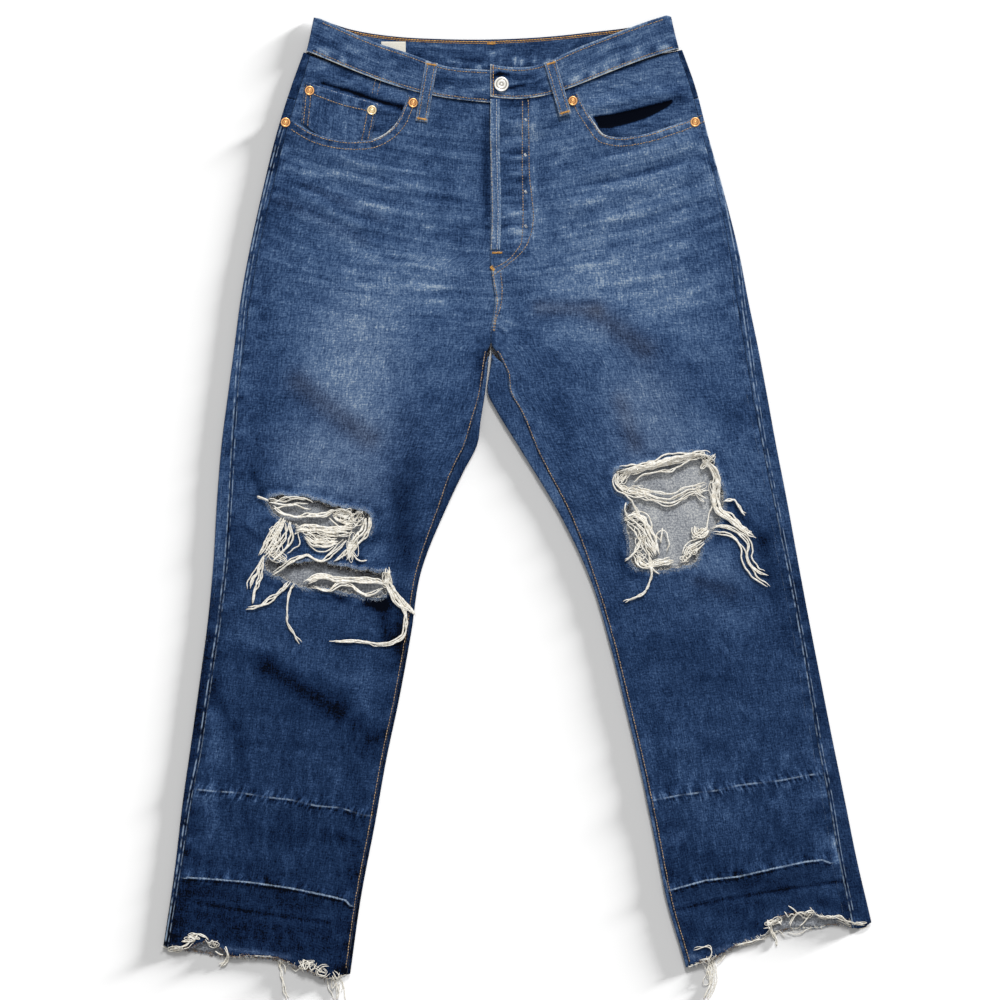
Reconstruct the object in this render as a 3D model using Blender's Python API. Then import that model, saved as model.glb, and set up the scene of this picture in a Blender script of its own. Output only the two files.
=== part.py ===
"""Worn, ripped blue jeans laid flat on their back, face up.

Plan sizes are in millimetres from the point where the two inseams meet (the crotch),
x to the wearer's left and y to the waist; heights are from the surface they lie on.
The finished part is moved to the bottom centre of its box and is in metres.
"""
import math

import bmesh
import bpy
import numpy as np

# ---------------------------------------------------------------- sizes, millimetres
MM = 0.001
CLOTH = 1.0          # denim wall
BAND = 2.0           # waistband wall, two plies
GAP = 0.3            # air between neighbouring pieces
REST = 0.5           # middle of the cloth that lies on the surface
TOP = 4.1            # middle of the cloth of the leg fronts
FACING = 3.4         # middle of the pocket facings
COIN = 4.6           # middle of the coin pocket
COIN_WALL = 0.8
BAND_LOW = 2.5       # middle of the waistband at the back
BAND_HIGH = 5.7      # middle of the waistband in front
BAND_OVER = 8.0      # middle of the lapped end of the waistband
LAP = 12.0           # how far the right front runs under the left one at the fly
LAP_END = 78.0       # y of the foot of the fly opening
LOOP_WIDTH = 12.0
LOOP_WALL = 1.2
RIVET_RADIUS = 4.8
BUTTON_RADIUS = 7.5

# outer fold of each leg and how far in its outseam lies: y, x, inset
OUTER_RIGHT = (
    (302.0, -190.0, 7.5), (262.0, -204.5, 9.5), (214.0, -219.3, 9.5), (158.0, -233.0, 9.5),
    (92.0, -247.3, 9.5), (43.0, -256.0, 9.5), (0.0, -261.6, 9.5), (-50.0, -268.3, 9.5),
    (-97.0, -274.4, 11.0), (-158.0, -279.5, 12.5), (-219.0, -283.0, 12.5),
    (-280.0, -288.7, 12.0), (-342.0, -297.0, 11.5), (-403.0, -305.5, 11.0),
    (-464.0, -314.2, 9.0), (-536.0, -322.8, 6.8), (-615.0, -334.6, 6.0), (-640.0, -338.5, 6.0),
)
OUTER_LEFT = (
    (304.0, 194.0, 5.2), (265.0, 208.0, 5.2), (216.0, 220.8, 5.2), (158.0, 237.0, 6.2),
    (92.0, 253.5, 9.5), (43.0, 263.0, 12.0), (0.0, 272.0, 13.8), (-50.0, 281.5, 15.0),
    (-97.0, 290.0, 14.5), (-158.0, 301.9, 14.0), (-219.0, 313.0, 11.2),
    (-280.0, 324.4, 10.5), (-342.0, 336.5, 12.5), (-403.0, 348.5, 15.8),
    (-464.0, 361.0, 16.8), (-525.0, 373.3, 18.4), (-590.0, 388.6, 21.4), (-620.0, 395.0, 22.5),
)
# inner fold of each leg and how far in its inseam lies: y, x, inset
INNER_RIGHT = (
    (20.0, -0.3, 3.5), (0.0, -0.4, 3.5), (-25.0, -3.4, 3.5), (-50.0, -6.2, 4.5),
    (-76.0, -10.4, 8.0), (-102.0, -14.2, 12.0), (-127.0, -27.0, 11.5), (-166.0, -45.5, 7.0),
    (-230.0, -71.0, 3.5), (-295.0, -81.6, 3.5), (-359.0, -93.3, 3.5), (-423.0, -106.8, 3.5),
    (-488.0, -118.3, 3.5), (-562.0, -132.4, 3.5), (-643.0, -143.8, 3.5),
)
INNER_LEFT = (
    (20.0, 0.3, 3.5), (0.0, 0.4, 3.5), (-14.0, 0.0, 10.0), (-28.0, -1.6, 18.0),
    (-50.0, -3.2, 23.0), (-64.0, 4.1, 24.0), (-108.0, 31.1, 16.0), (-173.0, 70.4, 10.0),
    (-239.0, 101.5, 3.5), (-305.0, 121.4, 3.5), (-371.0, 137.7, 3.5), (-438.0, 153.5, 3.5),
    (-503.0, 166.8, 3.5), (-569.0, 180.0, 3.5), (-636.0, 199.0, 3.5), (-650.0, 202.0, 3.5),
)
# centre front seam under the fly: y, x
CENTRE_SEAM = ((320.0, 0.0), (80.0, 0.0), (62.0, 2.0), (46.0, 4.2), (34.0, 2.8), (12.0, 0.0),
               (-5.0, 0.0))
# rows across each leg: y at the outer fold, y at the inner fold, sag of the row
ROWS_RIGHT = (
    (300.5, 247.0, 10.0), (262.0, 219.0, 8.0), (214.0, 184.0, 5.0), (158.0, 140.0, 2.0),
    (92.0, 85.0, 0.0), (43.0, 42.0, 0.0), (0.0, 0.0, 0.0), (-50.0, -52.0, 0.0),
    (-97.0, -105.0, 0.0), (-158.0, -168.0, 0.0), (-219.0, -231.0, 0.0),
    (-280.0, -295.0, 0.0), (-342.0, -360.0, 0.0), (-403.0, -424.0, 0.0),
    (-464.0, -488.0, 0.0), (-536.0, -562.0, 0.0), (-613.0, -641.6, 0.0),
)
ROWS_LEFT = (
    (303.0, 253.0, 13.0), (265.0, 219.0, 8.0), (216.0, 184.0, 5.0), (158.0, 140.0, 2.0),
    (92.0, 85.0, 0.0), (43.0, 42.0, 0.0), (0.0, 0.0, 0.0), (-50.0, -56.0, 0.0),
    (-97.0, -109.0, 0.0), (-158.0, -174.0, 0.0), (-219.0, -239.0, 0.0),
    (-280.0, -305.0, 0.0), (-342.0, -371.0, 0.0), (-403.0, -438.0, 0.0),
    (-464.0, -503.0, 0.0), (-525.0, -569.0, 0.0), (-588.0, -635.6, 0.0),
)
# waist seam and yoke seam on the back
BACK_WAIST = {"right": (298.6, 276.0, 2.0), "left": (301.2, 276.0, 2.0)}
YOKE_SEAM = (252.0, 203.0, 0.0)
# hems against a straight line: share of the width from the outer fold, front, back
HEM_RIGHT = (
    (0.0, 0.0, 0.0), (0.14, 2.0, -1.0), (0.25, 12.0, -1.0), (0.36, 0.0, -1.5), (0.46, 3.0, 1.0),
    (0.62, 4.5, 2.5), (0.70, 0.0, -1.0), (0.78, -3.0, -4.0), (0.89, -8.0, -8.5), (1.0, 0.0, 0.0),
)
HEM_LEFT = (
    (0.0, 0.0, -1.0), (0.10, 5.0, -3.0), (0.20, 11.0, 5.5), (0.33, 21.0, 10.5), (0.45, 27.0, 12.5),
    (0.53, 24.0, 12.5), (0.60, 12.0, 10.5), (0.75, 9.5, 8.5), (0.83, 4.0, 3.5), (1.0, 0.0, 0.0),
)

# mouths of the two front pockets, from the outseam to the waist: x, y
MOUTH_RIGHT = (
    (-199.6, 227.4), (-184.6, 218.0), (-160.0, 210.0), (-134.6, 208.1), (-118.3, 210.5),
    (-105.1, 218.0), (-95.0, 229.0), (-88.5, 244.0), (-84.5, 254.5),
)
MOUTH_LEFT = (
    (214.0, 236.0), (205.0, 231.5), (183.6, 223.4), (151.0, 213.7), (127.0, 211.8),
    (114.2, 215.4), (106.5, 225.4), (95.9, 241.7), (88.5, 257.0),
)
# coin pocket on the right facing: x, y of its four corners
COIN_TOP = ((-190.2, 268.5), (-154.0, 257.0), (-115.3, 246.0))
COIN_FOOT = ((-193.5, 226.5), (-160.0, 205.0), (-124.0, 203.0))
# back pockets, right side (the left is its mirror): x, y
BACK_POCKET = ((-165.0, 186.0), (-38.0, 172.0), (-50.0, 40.0), (-112.0, 22.0), (-172.0, 52.0))

# worn holes at the knees: x, y round each rim
HOLE_RIGHT_UPPER = (
    (-227.0, -157.0), (-199.0, -154.5), (-156.0, -165.0), (-124.0, -175.0), (-122.0, -187.0),
    (-143.8, -199.0), (-162.0, -204.5), (-185.6, -200.0), (-195.0, -189.0), (-210.0, -179.5),
    (-223.0, -170.0),
)
HOLE_RIGHT_LOWER = (
    (-229.5, -219.0), (-208.0, -223.0), (-177.5, -220.0), (-149.0, -226.5), (-116.0, -231.5),
    (-106.5, -233.0), (-104.0, -245.0), (-110.0, -256.5), (-129.5, -256.5), (-162.0, -249.0),
    (-188.0, -247.0), (-214.0, -238.0), (-229.5, -229.0),
)
HOLE_LEFT = (
    (127.5, -129.5), (153.0, -123.4), (179.0, -118.0), (213.2, -110.2), (225.4, -118.3),
    (232.0, -138.0), (237.0, -158.0), (231.5, -182.6), (214.2, -204.0), (209.0, -221.0),
    (191.8, -227.0), (163.2, -229.0), (147.0, -226.0), (139.7, -193.8), (135.0, -172.0),
    (141.3, -157.1), (130.0, -149.0),
)
# largest creases of the fronts: x0, y0, x1, y1, height, half width
FOLDS = (
    (-152.0, 193.0, -118.0, 182.0, 1.2, 9.0), (-196.0, 157.0, -135.0, 124.0, 1.1, 10.0),
    (-155.0, 174.0, -80.0, 162.0, 0.9, 9.0), (103.0, 176.0, 206.0, 206.0, 1.2, 9.0),
    (87.0, 142.0, 216.0, 181.0, 1.3, 10.0), (103.0, 124.0, 222.0, 157.0, 0.9, 9.0),
    (-246.0, -150.0, -228.0, -131.0, 1.4, 8.0), (-264.0, -205.0, -234.0, -179.0, 1.3, 8.0),
    (240.0, -232.0, 275.0, -190.0, 1.2, 10.0), (125.0, 18.0, 205.0, -60.0, 0.8, 22.0),
    (-180.0, 20.0, -120.0, -70.0, 0.8, 22.0), (-318.0, -452.0, -116.0, -484.0, 0.9, 9.0),
    (-310.0, -542.0, -146.0, -566.0, 1.2, 8.0), (162.0, -464.0, 350.0, -436.0, 0.9, 9.0),
    (180.0, -557.0, 366.0, -524.0, 1.2, 8.0),
)
# belt loops in front: x, y at the top, x, y at the foot
LOOP_RIGHT = ((-60.5, 288.0), (-71.0, 228.0))
LOOP_LEFT = ((60.0, 289.0), (76.0, 234.5))
BACK_LOOPS = (("right", -112.0), ("centre", 0.0), ("left", 112.0))
# rivets: name, x, y
RIVETS = (
    ("coin_outer", -185.0, 259.5), ("coin_inner", -121.5, 239.5), ("mouth_right_inner", -79.4, 247.0),
    ("mouth_left_inner", 83.4, 249.0), ("mouth_left_outer", 208.2, 227.4),
    ("mouth_right_outer", -209.4, 227.0),
)
BUTTON = (10.7, 265.7)
LABEL = ((-112.0, 309.5), (-87.0, 309.5), (-87.0, 290.0), (-112.0, 290.0))
FLY_EDGE = (-0.6, 8.9, 250.5, 97.0)   # x from, x to, y from, y to
# lean of the waistband's top edge: share of the way out from the centre, dx, dy
BAND_LEAN = ((0.0, 0.0, 32.5), (0.3, 5.0, 31.0), (0.45, 7.0, 34.0), (0.7, 9.5, 33.0), (1.0, 11.5, 33.5))
# top edge of the waistband at the back: x, y
BAND_BACK_TOP = ((-179.0, 334.0), (-145.0, 322.5), (-100.0, 315.0), (-55.0, 312.3), (0.0, 311.8),
                 (50.0, 314.0), (103.0, 319.3), (150.0, 325.5), (187.0, 335.5))
# reach of the worn threads at the knees: name, width, points x, y
KNEE_BANDS = (
    ("knee_band_right_1", 6.0, ((-236.0, -160.0), (-196.0, -164.0), (-148.0, -173.0))),
    ("knee_band_right_2", 8.0, ((-203.0, -193.0), (-170.0, -191.0), (-140.0, -188.0))),
    ("knee_band_right_3", 7.0, ((-121.0, -178.0), (-131.0, -193.0), (-146.0, -208.0), (-147.0, -226.0))),
    ("knee_band_right_4", 12.0, ((-192.0, -243.0), (-150.0, -240.0), (-108.0, -241.0))),
    ("knee_tuft_right_1", 5.0, ((-216.0, -186.0), (-231.0, -216.0), (-245.0, -242.0))),
    ("knee_tuft_right_2", 6.0, ((-208.0, -242.0), (-230.0, -256.0), (-250.0, -267.0))),
    ("knee_tuft_right_3", 4.0, ((-200.0, -247.0), (-208.0, -280.0), (-195.0, -302.0))),
    ("knee_tuft_right_4", 4.0, ((-100.0, -247.0), (-88.0, -275.0), (-100.0, -302.0), (-140.0, -301.0))),
    ("knee_band_left_1", 8.0, ((125.0, -136.0), (174.0, -124.0), (222.0, -114.0))),
    ("knee_band_left_2", 12.0, ((130.0, -146.0), (160.0, -157.0), (190.0, -157.0), (231.0, -139.0))),
    ("knee_band_left_3", 5.0, ((232.0, -166.0), (250.0, -174.0), (273.0, -193.0))),
    ("knee_band_left_4", 5.0, ((223.0, -196.0), (240.0, -188.0), (256.0, -200.0), (287.0, -246.0))),
    ("knee_band_left_5", 6.0, ((137.0, -183.0), (157.0, -186.0), (165.0, -202.0), (163.0, -236.0))),
    ("knee_tuft_left_1", 4.0, ((158.0, -242.0), (148.0, -257.0), (134.0, -263.0))),
)
# reach of the frayed threads at the hems: name, x from, x to, drop below the hem, lean
HEM_FRINGES = (
    ("hem_tuft_right_1", -273.0, -264.0, 11.0, 1.0), ("hem_tuft_right_2", -216.0, -213.0, 42.0, 7.0),
    ("hem_fringe_right", -200.0, -167.0, 6.0, 0.0), ("hem_tuft_right_3", -164.5, -149.0, 24.0, 0.0),
    ("hem_tuft_left_1", 206.0, 216.5, 8.0, 2.0), ("hem_tuft_left_2", 219.0, 234.0, 40.0, 1.0),
    ("hem_fringe_left", 284.0, 316.0, 7.0, 0.0),
)

# ---------------------------------------------------------------- finishes
# name: base colour, roughness, metallic
FINISH = {
    "denim": ((0.075, 0.115, 0.21), 0.92, 0.0),
    "denim_worn": ((0.20, 0.27, 0.38), 0.92, 0.0),
    "denim_inside": ((0.27, 0.33, 0.42), 0.95, 0.0),
    "label": ((0.72, 0.67, 0.55), 0.85, 0.0),
    "thread": ((0.78, 0.79, 0.78), 0.95, 0.0),
    "copper": ((0.62, 0.34, 0.20), 0.38, 1.0),
    "brass": ((0.60, 0.48, 0.30), 0.38, 1.0),
    "nickel": ((0.62, 0.63, 0.65), 0.35, 1.0),
}

SIDES = {
    "right": {"sign": -1.0, "outer": OUTER_RIGHT, "inner": INNER_RIGHT, "rows": ROWS_RIGHT,
              "mouth": MOUTH_RIGHT, "skew": 1.15, "hem": HEM_RIGHT},
    "left": {"sign": 1.0, "outer": OUTER_LEFT, "inner": INNER_LEFT, "rows": ROWS_LEFT,
             "mouth": MOUTH_LEFT, "skew": 1.9, "hem": HEM_LEFT},
}


# ---------------------------------------------------------------- curves
def smooth(low, high, value):
    """0 below low, 1 above high, an even S between (low may be the larger)."""
    t = np.clip((value - low) / (high - low), 0.0, 1.0)
    return t * t * (3.0 - 2.0 * t)


def spline(table, column, at):
    """Smooth curve through a table's column against its first column."""
    knots = np.array([row[0] for row in table], dtype=float)
    values = np.array([row[column] for row in table], dtype=float)
    if knots[0] > knots[-1]:
        knots = knots[::-1]
        values = values[::-1]
    slopes = np.gradient(values, knots)
    at = np.clip(np.asarray(at, dtype=float), knots[0], knots[-1])
    cell = np.clip(np.searchsorted(knots, at) - 1, 0, len(knots) - 2)
    width = knots[cell + 1] - knots[cell]
    t = (at - knots[cell]) / width
    low = values[cell] * (1 + 2 * t) + slopes[cell] * width * t
    high = values[cell + 1] * (3 - 2 * t) - slopes[cell + 1] * width * (1 - t)
    return low * (1 - t) ** 2 + high * t ** 2


def along(points, share):
    """Points at the given shares of the length of an open line."""
    points = np.array(points, dtype=float)
    steps = np.linalg.norm(np.diff(points, axis=0), axis=1)
    length = np.concatenate(([0.0], np.cumsum(steps)))
    at = np.asarray(share) * length[-1]
    return np.stack([np.interp(at, length, points[:, k]) for k in range(points.shape[1])], axis=-1)


def distance(points, outline):
    """Signed distance from points to a closed outline: below zero inside it."""
    start = np.array(outline, dtype=float)
    end = np.roll(start, -1, axis=0)
    edge = end - start
    to = points[..., None, :] - start
    t = np.clip((to * edge).sum(-1) / (edge ** 2).sum(-1), 0.0, 1.0)
    near = np.linalg.norm(to - t[..., None] * edge, axis=-1).min(-1)
    x, y = points[..., 0:1], points[..., 1:2]
    crosses = (start[:, 1] > y) != (end[:, 1] > y)
    rise = np.where(edge[:, 1] == 0, 1e-9, edge[:, 1])
    left_of = x < edge[:, 0] * (y - start[:, 1]) / rise + start[:, 0]
    inside = (crosses & left_of).sum(-1) % 2 == 1
    return np.where(inside, -near, near)


# ---------------------------------------------------------------- heights
def lift(points, outline, rise, margin=36.0, ramp=28.0):
    """How far cloth is lifted by a piece under it, fading out beside that piece."""
    away = distance(points, outline)
    return rise * smooth(margin + ramp, margin, away)


def mirrored(outline):
    return tuple((-x, y) for x, y in outline)


LOOP_ZONE = ((-124.0, 330.0), (124.0, 330.0), (124.0, 262.0), (-124.0, 262.0))
FLY_LAP = ((-2.0, 260.0), (LAP, 250.0), (LAP, LAP_END - 4.0), (-2.0, LAP_END - 4.0))
BAND_LAP = ((-2.0, 290.0), (34.0, 290.0), (34.0, 246.0), (-2.0, 246.0))


def back_height(points):
    """Middle of the back's cloth: on the surface, and over the back pockets and loops."""
    pockets = np.maximum(lift(points, BACK_POCKET, 1.3), lift(points, mirrored(BACK_POCKET), 1.3))
    return REST + np.maximum(pockets, lift(points, LOOP_ZONE, 1.5, 8.0, 22.0))


def creases(points):
    """Soft ridges with round ends along each line of the fold table."""
    total = np.zeros(points.shape[:-1])
    for x0, y0, x1, y1, height, half in FOLDS:
        start = np.array((x0, y0))
        line = np.array((x1, y1)) - start
        t = np.clip(((points - start) @ line) / (line @ line), 0.0, 1.0)
        away = np.linalg.norm(points - start - t[..., None] * line, axis=-1)
        total = total + height * np.exp(-(away / half) ** 2)
    return total


def facing_outline(side):
    """Hip piece behind a pocket mouth: the mouth carried 13 mm on under the front."""
    mouth = np.array(SIDES[side]["mouth"])
    sign = SIDES[side]["sign"]
    tangent = np.gradient(mouth, axis=0)
    tangent = tangent / np.linalg.norm(tangent, axis=1, keepdims=True)
    normal = np.stack((-tangent[:, 1], tangent[:, 0]), axis=1) * sign
    return mouth + 13.0 * normal


def front_height(points, side):
    """Middle of a front's cloth over the facing, the coin pocket and the fly's lap."""
    height = np.full(points.shape[:-1], TOP)
    mouth = facing_outline(side)
    inner = 86.0 * SIDES[side]["sign"]
    roof = ((inner, 300.0), (mouth[0, 0], 300.0))
    region = tuple(map(tuple, mouth)) + roof
    rise = lift(points, region, 0.6, 10.0, 26.0)
    if side == "right":
        coin = COIN_TOP + COIN_FOOT[::-1]
        rise = np.maximum(rise, lift(points, coin, 1.7, 12.0, 26.0))
    else:
        gape = np.linalg.norm((points - np.array((150.0, 214.0))) / np.array((46.0, 16.0)), axis=-1)
        rise = rise + 2.6 * np.exp(-gape ** 2)
        rise = np.maximum(rise, lift(points, FLY_LAP, 1.3, 14.0, 20.0))
        rise = np.maximum(rise, lift(points, BAND_LAP, 3.4, 18.0, 26.0))
    off_fly = smooth(22.0, 45.0, np.abs(points[..., 0]))
    on_leg = smooth(-10.0, -60.0, points[..., 1])
    relief = creases(points) * np.maximum(off_fly, on_leg)
    return height + rise + relief


# ---------------------------------------------------------------- rows across a leg
def row(side, y_outer, y_inner, sag, share, back=False):
    """Points of a row at shares of its width, from the outer fold to the inner one."""
    data = SIDES[side]
    y_outer, y_inner, sag = (np.asarray(v, dtype=float)[:, None] for v in (y_outer, y_inner, sag))
    outer_x = spline(data["outer"], 1, y_outer)
    inner_x = np.where(y_inner > 0.0, spline(CENTRE_SEAM, 1, y_inner) + data["sign"] * 0.4,
                       spline(data["inner"], 1, y_inner))
    skew = 1.0 if back else data["skew"]
    x = outer_x + (inner_x - outer_x) * share
    y = y_outer + (y_inner - y_outer) * share
    y = y - sag * np.sin(math.pi * np.clip(share, 0.0, 1.0) ** skew)
    return np.stack((x, y), axis=-1)


def row_table(table, count):
    """Rows of a table at even steps of its outer edge: three smooth columns."""
    knots = np.arange(len(table), dtype=float)
    rows = tuple((k,) + tuple(r) for k, r in zip(knots, table))
    outer = np.array([r[0] for r in table])
    at = np.interp(-count, -outer, knots)
    return tuple(spline(rows, column, at) for column in (1, 2, 3))


def seam_x(side, y):
    """Outseam at height y."""
    data = SIDES[side]
    return spline(data["outer"], 1, y) - data["sign"] * spline(data["outer"], 2, y)


def inseam_x(side, y):
    """Inner edge of a front at height y: centre seam above the crotch, inseam below."""
    data = SIDES[side]
    above = spline(CENTRE_SEAM, 1, y)
    inset = spline(data["inner"], 2, y) * smooth(3.0, -10.0, y)
    below = spline(data["inner"], 1, y) + data["sign"] * inset
    return np.where(y > 3.0, above, below)


# ---------------------------------------------------------------- meshes
def shell(middle, thickness):
    """Closed sheet round a grid of middle points: (rows, columns, 3) in millimetres."""
    down = np.gradient(middle, axis=0)
    across = np.gradient(middle, axis=1)
    normal = np.cross(down, across)
    normal = normal / np.linalg.norm(normal, axis=-1, keepdims=True)
    rows, columns = middle.shape[:2]
    points = np.concatenate((
        (middle + normal * thickness / 2).reshape(-1, 3),
        (middle - normal * thickness / 2).reshape(-1, 3),
    ))
    index = np.arange(rows * columns).reshape(rows, columns)
    a, b = index[:-1, :-1].ravel(), index[1:, :-1].ravel()
    c, d = index[1:, 1:].ravel(), index[:-1, 1:].ravel()
    one = np.stack((a, b, c, d), axis=1)
    other = one[:, ::-1] + rows * columns
    rim = np.concatenate((index[0, ::-1], index[1:, 0], index[-1, 1:], index[-2:0:-1, -1]))
    after = np.roll(rim, -1)
    wall = np.stack((after, rim, rim + rows * columns, after + rows * columns), axis=1)
    faces = np.concatenate((one, other, wall))
    return points, faces


def prism(outline, low, high):
    """Upright closed prism on an outline."""
    ring = np.array(outline, dtype=float)
    count = len(ring)
    points = np.concatenate((
        np.column_stack((ring, np.full(count, low))),
        np.column_stack((ring, np.full(count, high))),
    ))
    around = np.arange(count)
    after = np.roll(around, -1)
    faces = [tuple(q) for q in np.stack((around, after, after + count, around + count), axis=1)]
    faces.append(tuple(range(count - 1, -1, -1)))
    faces.append(tuple(range(count, 2 * count)))
    return points, faces


def turned(profile, x, y, base, segments=20):
    """Solid of revolution about an upright axis: profile rows are radius, height."""
    angle = np.linspace(0.0, 2.0 * math.pi, segments, endpoint=False)
    rings = []
    for radius, height in profile:
        ring = (x + radius * np.cos(angle), y + radius * np.sin(angle))
        rings.append(np.column_stack(ring + (np.full(segments, base + height),)))
    points = np.concatenate(rings + [np.array([[x, y, base + profile[-1][1]]])])
    faces = []
    for level in range(len(profile) - 1):
        for k in range(segments):
            n = (k + 1) % segments
            low = level * segments
            faces.append((low + k, low + n, low + segments + n, low + segments + k))
    last = (len(profile) - 1) * segments
    for k in range(segments):
        faces.append((last + k, last + (k + 1) % segments, len(points) - 1))
    faces.append(tuple(range(segments - 1, -1, -1)))
    return points, faces


def with_height(plan, height):
    return np.concatenate((plan, height[..., None]), axis=-1)


def ribbon(path, width, height, steps, across=2, spread=None):
    """Grid of a strip of even width along a path, with its height from a function."""
    share = np.linspace(0.0, 1.0, steps) if spread is None else spread
    middle = along(path, share)
    tangent = np.gradient(middle, axis=0)
    tangent = tangent / np.linalg.norm(tangent, axis=1, keepdims=True)
    normal = np.stack((-tangent[:, 1], tangent[:, 0]), axis=1)
    offset = np.linspace(-width / 2, width / 2, across)
    plan = middle[:, None, :] + normal[:, None, :] * offset[None, :, None]
    return with_height(plan, height(plan))


# ---------------------------------------------------------------- panels
def front_panel(side):
    """A leg front: its top edge follows the pocket mouth, then the waist seam."""
    data = SIDES[side]
    sign = data["sign"]
    mouth = np.array(data["mouth"])
    outer_y = np.array((176.0, 150.0, 120.0, 88.0, 58.0, 30.0, 10.0, -2.0, -12.0, -24.0, -40.0,
                        -58.0, -78.0, -100.0, -128.0, -158.0, -188.0, -219.0, -252.0, -290.0, -330.0,
                        -372.0, -412.0, -446.0, -470.0, -500.0, -530.0, -560.0))
    y_out, y_in, sag = row_table(data["rows"], outer_y)
    last = data["rows"][-1]
    y_out = np.concatenate((y_out, (0.45 * y_out[-1] + 0.55 * last[0], last[0])))
    y_in = np.concatenate((y_in, (0.45 * y_in[-1] + 0.55 * last[1], last[1])))
    sag = np.concatenate((sag, (0.5 * last[2], last[2])))
    reach = abs(mouth[0, 0])
    columns = np.concatenate((1.0 - np.abs(mouth[:, 0]) / reach, (0.70, 0.80, 0.90, 1.0)))
    fold = row(side, y_out, y_in, sag, np.array((0.0, 1.0)))
    start_y = fold[:, 0, 1]
    end_y = fold[:, 1, 1]
    start = seam_x(side, start_y) - sign * GAP / 2
    lap = LAP if side == "right" else -0.6 - GAP / 2
    lapped = smooth(LAP_END, LAP_END + 12.0, end_y)
    end = inseam_x(side, end_y) + sign * GAP / 2
    end = end * (1 - lapped) + lap * lapped
    plan = np.empty((len(y_out), len(columns), 2))
    plan[..., 0] = start[:, None] + (end - start)[:, None] * columns
    plan[..., 1] = start_y[:, None] + (end_y - start_y)[:, None] * columns
    plan[..., 1] -= sag[:, None] * np.sin(math.pi * columns ** data["skew"])
    plan[-2:, :, 1] += spline(data["hem"], 1, columns) * np.array((0.4, 1.0))[:, None]

    waist = data["rows"][0]
    top_x = reach * sign * (1.0 - columns)
    top_x[-4:] = np.linspace(mouth[-1, 0], lap, 5)[1:]
    shares = (abs(spline(data["outer"], 1, waist[0])) - np.abs(top_x)) / abs(
        spline(data["outer"], 1, waist[0]))
    top = row(side, (waist[0],), (waist[1],), (waist[2],), np.clip(shares, 0.0, 1.0)[None])[0]
    top[:, 0] = top_x
    top[:, 1] -= GAP / 2
    if side == "right":
        top[-1, 1] = top[-2, 1] - 1.5
    top[:len(mouth)] = mouth
    top[0, 0] = seam_x(side, mouth[0, 1]) - sign * GAP / 2
    between = np.array((0.0, 0.22, 0.5, 0.78))[:, None, None]
    upper = top[None] * (1 - between) + plan[:1] * between
    upper[1:, 0, 0] = seam_x(side, upper[1:, 0, 1]) - sign * GAP / 2
    plan = np.concatenate((upper, plan))
    middle = with_height(plan, front_height(plan, side))
    if side == "left":
        middle = middle[:, ::-1]
    return shell(middle, CLOTH)


def back_rows(side, y_out, y_in, sag):
    """Sections of the back: lip in front, outer roll, flat back, inner roll and lip."""
    data = SIDES[side]
    sign = data["sign"]
    y_out, y_in = np.asarray(y_out, dtype=float), np.asarray(y_in, dtype=float)
    ends = row(side, y_out, y_in, sag, np.array((0.0, 1.0)), back=True)
    width = np.abs(ends[:, 1, 0] - ends[:, 0, 0])[:, None]
    lip_out = spline(data["outer"], 2, y_out)[:, None] - GAP / 2
    lip_in = spline(data["inner"], 2, y_in)[:, None] - GAP / 2
    curl = smooth(-4.0, -22.0, y_in)[:, None]

    seam = np.stack((seam_x(side, y_out), y_out), axis=-1)
    mouth_y = data["mouth"][0][1]
    below = smooth(mouth_y + 10.0, mouth_y - 3.0, y_out)
    top_out = (FACING * (1 - below) + front_height(seam, side) * below)[:, None]
    inseam = np.stack((inseam_x(side, y_in), y_in), axis=-1)
    top_in = front_height(inseam, side)[:, None]
    low_out = back_height(ends[:, 0])[:, None]
    low_in = back_height(ends[:, 1])[:, None]

    turn = np.radians((90.0, 135.0, 180.0, 225.0, 270.0))[None]
    radius = (top_out - low_out) / 2
    roll_s = radius + CLOTH / 2 + radius * np.cos(turn)
    roll_z = (top_out + low_out) / 2 + radius * np.sin(turn)
    radius_in = (top_in - low_in) / 2
    open_tail = (radius_in + CLOTH / 2 - GAP / 2) * (1 - smooth(0.0, 0.5, curl))
    tail = open_tail + np.maximum(lip_in - radius_in - CLOTH / 2, 0.5) * smooth(0.5, 1.0, curl)
    reach = math.pi * curl * radius_in
    steps = np.array((0.0, 0.25, 0.5, 0.75, 1.0))[None]
    along = curl * reach * steps - (1 - curl) * 20.0 * (1 - 0.8 * steps)
    along = np.concatenate((along, reach + tail), axis=1)
    angle = np.clip(along / radius_in, 0.0, math.pi * curl)
    beyond = np.maximum(along - reach, 0.0)
    edge_s = width - radius_in - CLOTH / 2 + np.minimum(along, 0.0)
    edge_s = edge_s + radius_in * np.sin(angle) + beyond * np.cos(angle)
    edge_up = low_in + radius_in * (1.0 - np.cos(angle)) + beyond * np.sin(angle)
    edge_up = np.minimum(edge_up, top_in)
    first, last = roll_s[:, -1:], edge_s[:, :1]
    bottom_s = first + (last - first) * np.array((0.16, 0.37, 0.6, 0.83))[None]
    s = np.concatenate((lip_out, roll_s, bottom_s, edge_s), axis=1)

    share = s / width
    plan = row(side, y_out, y_in, sag, share, back=True)
    plan[:, 0, 0] = seam_x(side, plan[:, 0, 1]) + sign * GAP / 2
    lip_x = inseam_x(side, plan[:, -1, 1]) - sign * GAP
    plan[:, -1, 0] += (lip_x - plan[:, -1, 0]) * curl[:, 0]
    low = back_height(plan)
    edge_z = edge_up + (low[:, -6:] - low_in) * (1 - curl)
    z = np.concatenate((top_out, roll_z, low[:, 6:10], edge_z), axis=1)
    return with_height(plan, z)


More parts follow.
